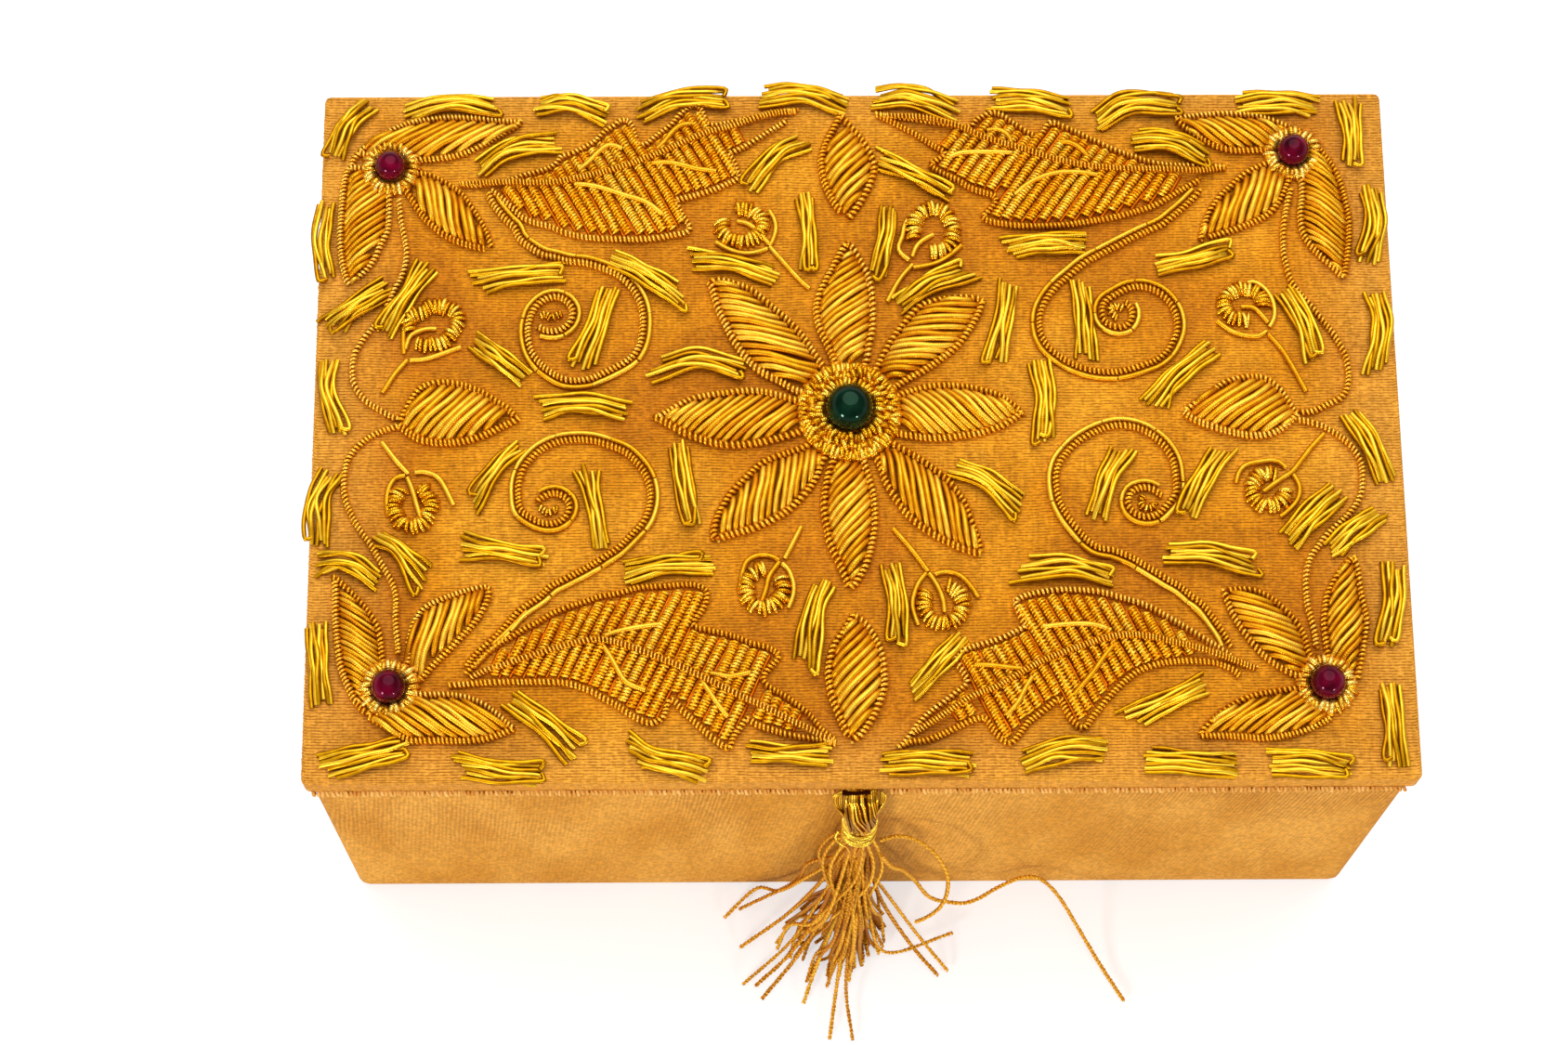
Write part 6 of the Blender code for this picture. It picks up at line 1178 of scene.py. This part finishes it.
def add_corner_flowers():
    for corner, (*spot, diameter) in CORNER_BEADS.items():
        rng = random.Random(corner)
        strands, wires, cores = Skein(1, STRAND_GOLD), Skein(0, COIL_GOLD), Skein(1, SHADE_BROWN)
        chips, bed = Skein(1, PALE_GOLD), Skein(1, ROUGH_GOLD)
        for (*edges, angle), pitch in zip(CORNER_PETALS[corner], CORNER_PITCH[corner]):
            petal(strands, wires, cores, edges, angle, rng, pitch, spot, CORNER_RING)
        # A thin dark brown ring round the bead: painted shadow where it sits among the wires.
        cores.add(raised(ring_path(spot, 2.3), 0.1), 0.35)
        bed.add(raised(ring_path(spot, 3.25), 0.2), 0.88)
        if corner in CORNER_JOINS:
            join = on_lid(CORNER_JOINS[corner])
            run, inward = join[-1] - join[0], on_lid(spot) - join[0]
            side = math.copysign(1.0, run[0] * inward[1] - run[1] * inward[0])
            coil_on(wires, cores, aside(join, COIL_INSET * side), rng)
        cut_ring(chips, ring_path(spot, 3.2), rng, 0.98, 0.74, 0.9, 0.36, 2.0, closed=True)
        flower = "corner_flower_" + corner
        thread_piece(flower + "_gold", (strands, wires, cores, chips, bed), "lid", flower)
        bead("corner_bead_%s_glass" % corner, spot, diameter, RUBY_GLASS, "corner_bead_" + corner)


def follow_outside(strands, coil, left_hand, rng):
    """Smooth strands laid end to end beside a spiral, on its outer side."""
    path = aside(even(coil, 0.4), 1.02 if left_hand else -1.02)
    run = lengths_along(path)
    reach = run[-1] * 0.985
    place = 0.6
    while place < reach:
        stop = min(place + rng.uniform(6.6, 8.6), reach)
        marks = np.linspace(place, stop, max(4, int((stop - place) / 0.8)))
        height = np.full(len(marks), 0.36)
        height[1:-1] += 0.12
        strands.add(raised(read_off(marks, run, path), height), STRAND, rng.uniform(0.3, 0.9))
        place = stop + rng.uniform(0.1, 0.4)


def add_leaf_sprays():
    for name, back, front, midrib, *veins, angle in SAW_LEAVES:
        rng = random.Random(name)
        rough, chips = Skein(0, ROUGH_GOLD), Skein(0, CUT_GOLD)
        strands, wires, cores = Skein(1, STRAND_GOLD), Skein(0, COIL_GOLD), Skein(1, SHADE_BROWN)
        back, front = on_lid(back), on_lid(front)
        if np.linalg.norm(back[0] - front[0]) > np.linalg.norm(back[0] - front[-1]):
            front = front[::-1]
        outline = np.vstack((back, front[::-1]))
        for start, stop in hatch(outline, angle, 1.46, 0.8, rng, 0.06):
            line = even([start, stop], 0.9)
            walk = np.linspace(0.0, 1.0, len(line))
            across = np.array((start[1] - stop[1], stop[0] - start[0]))
            across /= np.linalg.norm(across)
            line = line + across * (0.12 * np.sin(walk * rng.uniform(2, 5) + rng.uniform(0, 6)))[:, None]
            coil_on(
                rough, rough, raised(line, 0.58 + 0.4 * np.sin(math.pi * walk) ** 0.5), rng,
                reach=0.54, wire=0.19, pitch=rng.uniform(0.42, 0.5), turn=7, ragged=0.09,
            )
            # Darker gold threads in the gaps between the ropes: painted shade.
            for gap in (-0.73, 0.73):
                rough.add(raised(line + across * gap, 0.1), 0.3, -0.4)
        for edge in (back, front):
            coil_on(wires, cores, edge, rng)
        rib = even(on_lid(midrib), 0.6)
        run = lengths_along(rib)
        rib = raised(rib, 0.5 + 1.15 * np.clip(np.minimum(run, run[::-1]) / 6.0, 0, 1))
        coil_on(wires, cores, rib, rng, reach=0.42, wire=0.16, pitch=0.5)
        for vein in veins:
            path = even(on_lid(vein), 0.7)
            walk = np.linspace(-1.0, 1.0, len(path))
            strands.add(raised(path, 1.5 - 0.35 * np.abs(walk) ** 3), STRAND, rng.uniform(0.3, 0.9))
        coil, curl = SCROLLS[name]
        coil_on(wires, cores, on_lid(coil), rng)
        follow_outside(strands, on_lid(coil), name.endswith(("back_left", "front_right")), rng)
        cut_ring(chips, on_lid(curl), rng, 0.5, 0.5, 0.6, 0.24)
        if name in STEMS:
            strands.add(raised(even(on_lid(STEMS[name]), 0.8), 0.4), STRAND, 0.6)
        thread_piece(name + "_gold", (rough, strands, wires, cores, chips), "lid", name)


def add_rosettes():
    for name, ring, *paths in ROSETTES:
        rng = random.Random(name)
        chips, strands = Skein(1, CUT_GOLD), Skein(1, STRAND_GOLD)
        strands.add(raised(even(on_lid(ring), 0.7), 0.2), 0.62, 0.0)
        cut_ring(chips, on_lid(ring), rng, 1.0, 0.6, 0.95, 0.32, 1.6)
        for path in paths:
            path = even(on_lid(path), 0.7)
            height = 0.4 + 0.2 * np.sin(math.pi * np.linspace(0.0, 1.0, len(path)))
            strands.add(raised(path, height), STRAND, rng.uniform(0.3, 0.9))
        thread_piece(name + "_gold", (chips, strands), "lid", name)


def add_dashes():
    rng = random.Random(5)
    strands = Skein(1, DASH_GOLD)
    for *line, head, tail, count in DASHES:
        dash(strands, line, (head, tail), count + 1, rng)
    thread_piece("lid_dashes_gold", (strands,), "lid", "lid_cover")


# Cloth


def round_off(block, edges, radius, segments):
    bmesh.ops.bevel(
        block, geom=edges, offset=radius * MM, segments=segments, profile=0.5, affect="EDGES", material=-1
    )


def rounded_block(low, high, upright, level, segments=(3, 3)):
    """A block with rounded upright corners and rounded edges, in millimetres."""
    low, high = Vector(low), Vector(high)
    block = bmesh.new()
    bmesh.ops.create_cube(block, size=1.0)
    bmesh.ops.scale(block, vec=(high - low) * MM, verts=block.verts)
    bmesh.ops.translate(block, vec=(high + low) / 2 * MM, verts=block.verts)
    if upright:
        edges = [e for e in block.edges if abs(e.verts[0].co.z - e.verts[1].co.z) > 0.1 * MM]
        round_off(block, edges, upright, segments[0])
    round_off(block, [e for e in block.edges if e.calc_face_angle(0.0) > 1.2], level, segments[1])
    return block


def slice_up(shell, axis, places):
    """Cut a mesh across at each place along an axis, so that it can bend."""
    direction = Vector((0.0, 0.0, 0.0))
    direction[axis] = 1.0
    for place in places:
        geometry = list(shell.verts) + list(shell.edges) + list(shell.faces)
        bmesh.ops.bisect_plane(
            shell, geom=geometry, dist=1e-7, plane_co=direction * place * MM, plane_no=direction
        )


def level_faces(shell, facing, straight=0.99, area=0.01):
    """Faces of more than an area, in square metres, that look up if facing is 1, or down if it is -1."""
    return [f for f in shell.faces if f.normal.z * facing > straight and f.calc_area() > area]


def stretched_cloth(shell, name, material, body, node):
    """A piece of cloth with its thickness, which lies inside the shell."""
    bmesh.ops.recalc_face_normals(shell, faces=shell.faces)
    cloth = solid_piece(shell, name, material, body, node)
    wall = cloth.modifiers.new("thickness", "SOLIDIFY")
    wall.thickness = CLOTH * MM
    wall.offset = -1.0
    return cloth


def add_lid_cloth():
    half_w, half_d = LID_W / 2, LID_D / 2
    shell = rounded_block((-half_w, -half_d, LID_UNDER), (half_w, half_d, LID_TOP), 0.9, 0.7, (4, 3))
    bmesh.ops.inset_region(shell, faces=level_faces(shell, -1, 0.9, 0.0), thickness=9.0 * MM)
    bmesh.ops.delete(shell, geom=level_faces(shell, -1, 0.9, 0.006), context="FACES")
    slice_up(shell, 0, [step / 20.0 * half_w for step in range(-19, 20)])
    slice_up(shell, 1, [step / 20.0 * half_d for step in range(-19, 20)])
    for vertex in shell.verts:
        x, y = vertex.co.x / MM, vertex.co.y / MM
        if vertex.co.z > (LID_TOP - 0.1) * MM:
            swell = math.sin(x * 0.21 + 1.0) * math.sin(y * 0.17) + math.sin(x * 0.07 - y * 0.11)
            vertex.co.z += 0.08 * MM * swell
    cloth = stretched_cloth(shell, "lid_cloth", LID_SILK, "lid", "lid_cover")


def add_wall_cloth():
    shell = rounded_block((-75.2, -50.3, 0.9), (75.2, 50.8, 62.7), 1.5, 0.6)
    bmesh.ops.delete(shell, geom=level_faces(shell, -1), context="FACES")
    bmesh.ops.inset_region(shell, faces=level_faces(shell, 1), thickness=2.2 * MM)
    bmesh.ops.delete(shell, geom=level_faces(shell, 1, area=0.0138), context="FACES")
    slice_up(shell, 0, range(-72, 73, 4))
    slice_up(shell, 1, range(-44, 45, 8))
    slice_up(shell, 2, range(6, 61, 9))
    for vertex in shell.verts:
        x, y, z = vertex.co / MM
        if 3 < z < 61:
            if abs(x) > 75:
                vertex.co.x += 0.05 * MM * math.sin(y * 0.6 + z * 0.03)
            if abs(y) > 50:
                ripple = 0.07 * math.sin(x * 0.55 + z * 0.02)
                ripple += 0.05 * math.sin(x * 1.31 + 2.0 + z * 0.05)
                vertex.co.y += ripple * MM
    cloth = stretched_cloth(shell, "wall_cloth", WALL_SILK, "base", "side_cover")
    base = rounded_block((-75.0, -50.1, 0.0), (75.0, 50.6, 0.6), 1.5, 0.2, (2, 2))
    under = solid_piece(base, "base_cloth", WALL_SILK, "base", "base_cover")


def pad(name, low, high, face, body, node, cushion=0.55):
    """A thin stuffed panel: flat at its back, crowned at its face, its sides pulled in."""
    low, high = Vector(low), Vector(high)
    middle = (low + high) / 2
    half = (high - low) / 2
    size = high - low
    thin = min(range(3), key=lambda axis: size[axis])
    wide = [axis for axis in range(3) if axis != thin]
    block = rounded_block(low, high, 0, min(0.6, 0.3 * size[thin]), (2, 2))
    for axis in wide:
        count = max(6, int(size[axis] / 5))
        slice_up(block, axis, [low[axis] + size[axis] * step / count for step in range(1, count)])
    for vertex in block.verts:
        share = [(vertex.co[axis] / MM - middle[axis]) / half[axis] for axis in wide]
        crown = (max(0.0, 1 - share[0] ** 2) * max(0.0, 1 - share[1] ** 2)) ** 0.3
        if (vertex.co[thin] / MM - middle[thin]) * face > 0:
            quilt = 0.06 * math.sin(share[0] * 17.0) * math.sin(share[1] * 13.0)
            vertex.co[thin] -= face * size[thin] * MM * (cushion * (1 - crown) + quilt * crown + 0.06)
        for axis, value, other in zip(wide, share, share[::-1]):
            vertex.co[axis] -= math.copysign(0.35 * MM * (1 - other**2) * abs(value) ** 8, value)
    made = solid_piece(block, name, SATIN, body, node)
    smooth = made.modifiers.new("soft", "SUBSURF")
    smooth.levels = 1
    smooth.render_levels = 1


def add_linings():
    pad("back_lining_satin", (-71.7, 45.3, 3.6), (71.7, 47.3, 62.4), -1, "base", "back_lining")
    pad("front_lining_satin", (-71.7, -46.8, 3.6), (71.7, -44.8, 62.4), 1, "base", "front_lining")
    pad("left_lining_satin", (-71.7, -44.5, 3.6), (-69.7, 45.0, 62.4), 1, "base", "left_lining")
    pad("right_lining_satin", (69.7, -44.5, 3.6), (71.7, 45.0, 62.4), -1, "base", "right_lining")
    pad("floor_pad_satin", (-69.4, -44.5, 3.6), (69.4, 45.0, 6.6), 1, "base", "floor_pad")
    pad("lid_lining_satin", (-69.2, -44.3, 61.1), (69.2, 44.8, 62.7), -1, "lid", "lid_lining")
    pad("lid_wadding_felt", (-75.0, -49.8, 66.4), (75.0, 49.8, 67.2), 1, "lid", "lid_wadding", 0.3)
    for name in ("bottom", "front", "back", "left", "right", "lid"):
        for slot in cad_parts[name + "_board"].material_slots:
            slot.material = CARD


def add_hinge():
    strip = rounded_block((-74.4, 51.1, 50.35), (74.4, 51.45, 66.0), 0, 0.1, (1, 1))
    slice_up(strip, 2, [51.5 + 1.5 * step for step in range(6)] + [60.2 + 0.3 * step for step in range(18)])
    hinge = solid_piece(strip, "hinge_strip", WALL_SILK, None, "hinge_wall_leaf", "hinge_lid_leaf")
    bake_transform(hinge)


# Tassel


def twisted(skein, path, radius, rng, turn=1.3, tone=0.5):
    """A thread of two plies twisted together along a path."""
    path = even(path, 0.6)
    run = lengths_along(path)
    marks = np.linspace(0.0, run[-1], max(8, int(run[-1] / turn * 6)))
    middle = read_off(marks, run, path)
    ahead = np.gradient(middle, axis=0)
    ahead /= np.maximum(np.linalg.norm(ahead, axis=1), 1e-9)[:, None]
    first = np.cross(ahead, np.array((0.31, 0.93, 0.21)))
    first /= np.linalg.norm(first, axis=1)[:, None]
    second = np.cross(ahead, first)
    for ply in (0.0, math.pi):
        angle = (marks / turn * 2 * math.pi + ply)[:, None]
        spread = radius * 0.48 * (np.cos(angle) * first + np.sin(angle) * second)
        skein.add(middle + spread, radius * 0.56, tone + rng.uniform(-0.08, 0.08))


def add_head(rng):
    # A near-black thread across the notch under the lid's edge: painted shadow of the hole there.
    dark = shade((44, 16, 4))
    notch_shade = new_finish("painted_notch_shadow", Roughness=0.9, Base_Color=dark, Specular_IOR_Level=0.0)
    head = Skein(1, HEAD_GOLD, SHADE_BROWN, notch_shade.owner)
    # A thick core in the dark brown of painted shade, which shows between the head's threads.
    head.add([(0.0, -52.9, 61.8), (0.0, -53.0, 55.0), (0.0, -53.0, 46.0)], (1.1, 1.7, 1.5), 0.5, 1)
    head.add([(-2.6, -51.25, 63.35), (-0.8, -51.4, 63.4), (1.2, -51.25, 63.35)], 0.36, 0.5, 2)
    walk = np.linspace(0.0, 1.0, 18)
    middle = -52.0 - np.clip(walk * 4, 0, 1) ** 0.5
    wide = 2.1 - 0.1 * walk + 0.1 * np.sin(math.pi * walk)
    deep = (1.65 - 0.1 * walk) * np.clip(walk * 5, 0.3, 1.0)
    for index in range(34):
        start = 2 * math.pi * index / 34 + rng.uniform(-0.12, 0.12)
        angle = start + 1.1 * walk + 0.1 * np.sin(walk * 6 + index)
        height = 63.2 - 14.5 * walk**1.15 - 0.3 * np.cos(angle * 2)
        path = np.column_stack((wide * np.cos(angle), middle + deep * np.sin(angle), height))
        path[:, 1] = np.minimum(path[:, 1], HEAD_FRONT)
        path = np.vstack(((path[0, 0] * 0.95, HEAD_FRONT, 63.35), path))
        path[:, 2] = np.minimum(path[:, 2], TIE_LEVEL)
        path[1:, 1] -= rng.uniform(0.0, 0.28)
        head.add(even(path, 0.7), 0.175 * rng.uniform(0.85, 1.2), rng.random())
    for side, count, out, low in ((-1, 5, 3.9, 57.6), (1, 3, 3.3, 60.2)):
        for index in range(count):
            across = side * (out - 0.28 * index)
            foot = low - 0.5 * index
            loop = even([
                (side * 2.7, -51.1, 63.4), (across * 0.98, -51.6, 63.0 - 0.3 * index),
                (across * 0.94, -52.2, (63.0 + foot) / 2), (side * 2.1, -53.4, foot),
            ], 0.5)
            head.add(loop, 0.2, rng.uniform(0.6, 1.0))
    thread_piece("tassel_head_threads", (head,), "tassel", "tassel_head")


def add_binding(rng):
    wrap = Skein(1, HEAD_GOLD)
    for turn in range(14):
        angle = np.linspace(0.0, 2 * math.pi, 25) + rng.uniform(0, 6)
        upper = turn < 3
        if upper:
            wide, deep, level, sag = 2.3 + 0.03 * turn, 1.6 + 0.1 * turn, 54.6 - 0.4 * turn, 1.5
        else:
            wide, deep = rng.uniform(2.1, 2.45), rng.uniform(1.85, 2.3)
            level, sag = 52.4 - 0.53 * (turn - 3), rng.uniform(-0.3, 0.5)
        path = np.column_stack((
            wide * np.cos(angle), -52.95 + deep * np.sin(angle),
            level + sag * np.sin(angle) + 0.9 * np.cos(angle) * rng.uniform(-1, 1),
        ))
        path[:, 1] = np.minimum(path[:, 1], NECK_FRONT)
        radius = (0.2 if upper else 0.16) * rng.uniform(0.85, 1.15)
        # Tones above 1.0 pass the ramp's light end: painted light on a binding hanging in the lid's shade.
        wrap.add(path, radius, 1.1 if upper else rng.uniform(0.5, 1.3))
    curl = [
        (-2.9, -53.4, 49.4), (-3.3, -54.2, 48.4), (-2.4, -55.0, 47.6), (-1.7, -55.0, 46.2),
        (-1.3, -55.3, 44.6),
    ]
    wrap.add(even(curl, 0.4), 0.17, 1.0)
    thread_piece("neck_binding_thread", (wrap,), "tassel", "neck_binding")


def skirt_root(share, aim, rng):
    """Where a thread of the skirt leaves the binding and how it starts down."""
    angle = 2 * math.pi * share * 3.0 + rng.uniform(-0.2, 0.2)
    reach = 1.9 * math.sqrt(rng.uniform(0.15, 1.0))
    top = (reach * math.cos(angle), -53.1 + 0.8 * reach * math.sin(angle), 46.8)
    neck = (top[0] * 1.15 + 0.12 * (aim[0] - top[0]), top[1] - 0.4, 42.0)
    return top, neck


def hung(points, step):
    """A thread of the skirt kept clear of the wall and of the table."""
    path = even(points, step)
    path[:, 1] = np.minimum(path[:, 1], SKIRT_FRONT)
    path[:, 2] = np.maximum(path[:, 2], SKIRT_FLOOR)
    return path


def add_skirt(rng):
    skirt = Skein(0, GIMP_GOLD)
    routes = list(SKIRT_ENDS)
    for index in range(22):
        share = index / 21.0
        across = -11.5 + 17.5 * share + rng.uniform(-1.2, 1.2)
        out = -57.5 - 9.5 * math.sin(math.pi * (0.12 + 0.8 * share)) * rng.uniform(0.55, 1.0)
        middle = (
            across * rng.uniform(0.3, 0.5), (out - 54.6) / 2 - rng.uniform(1.0, 2.2),
            rng.uniform(15.0, 25.0),
        )
        low = (across * rng.uniform(0.6, 0.88), out + rng.uniform(1.5, 3.5), rng.uniform(2.5, 6.0))
        routes.append((middle, low, (across, out, rng.uniform(0.4, 1.4))))
    for index, route in enumerate(routes):
        root = skirt_root(index * 7 % len(routes) / len(routes), route[0], rng)
        path = hung([*root, *route], 0.6)
        radius = 0.33 * rng.uniform(0.85, 1.1)
        twisted(skirt, path, radius, rng, rng.uniform(1.2, 1.6), rng.uniform(0.3, 0.95))
    for route in SKIRT_LOOPS:
        twisted(skirt, even(route, 0.6), 0.3, rng, 1.35, rng.uniform(0.4, 0.9))
    inner = Skein(1, GIMP_GOLD)
    for index in range(60):
        across = rng.uniform(-10.5, 5.5)
        out = -54.0 - rng.uniform(0.5, 11.5) * math.sin(math.pi * (across + 13.0) / 21.0)
        middle = (across * rng.uniform(0.25, 0.5), (out - 54.6) / 2, rng.uniform(13.0, 26.0))
        low = (across * rng.uniform(0.6, 0.9), out + rng.uniform(0.5, 2.5), rng.uniform(1.5, 5.0))
        root = skirt_root(index / 60.0, middle, rng)
        path = hung([*root, middle, low, (across, out, rng.uniform(0.35, 0.9))], 0.8)
        inner.add(path, 0.3 * rng.uniform(0.85, 1.1), rng.uniform(0.0, 0.6))
    thread_piece("tassel_skirt_threads", (skirt, inner), "tassel", "tassel_skirt")


def add_tassel():
    rng = random.Random(23)
    tie = Skein(1, HEAD_GOLD)
    course = ((1.0, -38.0), (0.98, -45.0), (0.94, HEAD_FRONT))
    for index in range(8):
        x = -2.8 + 0.8 * index
        tie.add([(x * share, y, TIE_LEVEL) for share, y in course], 0.33, rng.random())
    thread_piece("tassel_tie_threads", (tie,), "lid", "tassel_tie")
    add_head(rng)
    add_binding(rng)
    add_skirt(rng)


def add_hem_stitches():
    """Small pale stitches along the lower edge of the lid, here and there a dark dot of painted shade
    between two.
    """
    stitches = Skein(0, HEM_THREAD, SHADE_BROWN)
    rng = random.Random(3)
    pitch = 0.62
    for x0, y0, x1, y1 in ((-75, -51.0, 75, -51.0), (-76.2, -49, -76.2, 49), (76.2, -49, 76.2, 49)):
        front = y0 == y1
        run = math.hypot(x1 - x0, y1 - y0)
        ahead = np.array(((x1 - x0) / run, (y1 - y0) / run, 0.0))
        out = np.array((-ahead[1], ahead[0], 0.0)) * (-1 if front else math.copysign(1, -x0))
        for index in range(int(run / pitch)):
            here = np.array((x0, y0, 63.6)) + ahead * (index + 0.5 + rng.uniform(-0.15, 0.15)) * pitch
            if front and abs(here[0]) < 3.6:
                continue
            lean = ahead * rng.uniform(-0.05, 0.2)
            down = np.array((0.0, 0.0, rng.uniform(0.1, 0.3)))
            reach = out * (rng.uniform(0.22, 0.4) if front else 0.16)
            stitch = (here - out * 0.2 + down, here + reach * 0.7 + lean, here + reach + lean * 2 - down)
            stitches.add(stitch, rng.uniform(0.22, 0.3), rng.random())
            # Now and then a short dark brown thread between two stitches: painted shade of a hole.
            if rng.random() < 0.3:
                hole_shade = here + ahead * pitch / 2
                stitches.add([hole_shade - out * 0.1 + down, hole_shade + reach * 0.4 - down * 0.4], 0.12, 0.5, 1)
    thread_piece("hem_stitches", (stitches,), "lid")


# Stage


def add_camera():
    data = bpy.data.cameras.new("camera")
    data.lens = 81.64
    data.sensor_width = 36.0
    data.clip_start = 0.01
    data.clip_end = 20.0
    camera = bpy.data.objects.new("camera", data)
    camera.matrix_world = (
        Matrix.Translation((-0.01501, -0.16442, 0.53665))
        @ Matrix.Rotation(math.radians(-1.759), 4, "Z")
        @ Matrix.Rotation(math.radians(17.808), 4, "X")
        @ Matrix.Rotation(math.radians(1.428), 4, "Z")
    )
    bpy.context.scene.collection.objects.link(camera)
    bpy.context.scene.camera = camera


def add_lamp(name, place, size, power):
    """A round lamp that looks at the middle of the box."""
    data = bpy.data.lights.new(name, "AREA")
    data.shape = "DISK"
    data.size = size
    data.energy = power
    lamp = bpy.data.objects.new(name, data)
    lamp.location = place
    lamp.rotation_euler = (Vector((0.0, 0.0, 0.05)) - Vector(place)).to_track_quat("-Z", "Y").to_euler()
    bpy.context.scene.collection.objects.link(lamp)


def add_stage():
    look = new_finish(
        "floor_white", Roughness=0.9, Base_Color=shade(0.6), Emission_Color=shade(1.0),
        Specular_IOR_Level=0.0,
    )
    seen = look.seen_by("Is Camera Ray", "Is Glossy Ray")
    look.feed("Emission Strength", look.maths("MULTIPLY", seen, 0.55))
    floor = bmesh.new()
    bmesh.ops.create_grid(floor, x_segments=1, y_segments=1, size=3.0)
    bmesh.ops.translate(floor, vec=(0.0, 0.0, -0.0001), verts=floor.verts)
    solid_piece(floor, "floor", look.owner, None)
    world = bpy.data.worlds.new("white_room")
    bpy.context.scene.world = world
    room = Finish(world, {}, "Background")
    height = room.split(room.node("ShaderNodeTexCoord").outputs["Generated"])["Z"]
    room.feed("Color", room.ramp(height, (0.0, 1.0), (0.14, 1.0), (0.36, 0.34), (0.7, 0.34), (1.0, 0.75)))
    seen = room.seen_by("Is Camera Ray", "Is Glossy Ray", "Is Transmission Ray")
    room.feed("Strength", room.maths("MULTIPLY_ADD", seen, 0.1, 0.9))
    add_lamp("ceiling_panel", (0.04, 0.42, 0.95), 1.4, 10.8)
    add_lamp("window_left", (-0.66, -0.92, 0.40), 0.22, 6.4)
    add_lamp("window_right", (0.60, -1.00, 0.32), 0.16, 3.4)


def add_strays():
    for name, route, node in (
        ("stray_long_thread", LONG_STRAY, "stray_strand_long"),
        ("stray_loop_thread", LOOP_STRAY, "stray_strand_loop"),
    ):
        skein = Skein(0, GIMP_GOLD)
        path = even(np.array(route) / MM, 0.5)
        twisted(skein, path, GIMP, random.Random(4), tone=0.8)
        thread = thread_piece(name, (skein,), "tassel", node)


add_camera()
add_strays()
add_stage()
add_lid_cloth()
add_wall_cloth()
add_linings()
add_hinge()
add_tassel()
add_hem_stitches()
add_centre_flower()
add_corner_flowers()
add_leaf_sprays()
add_rosettes()
add_dashes()

bpy.context.scene.view_settings.view_transform = "Standard"
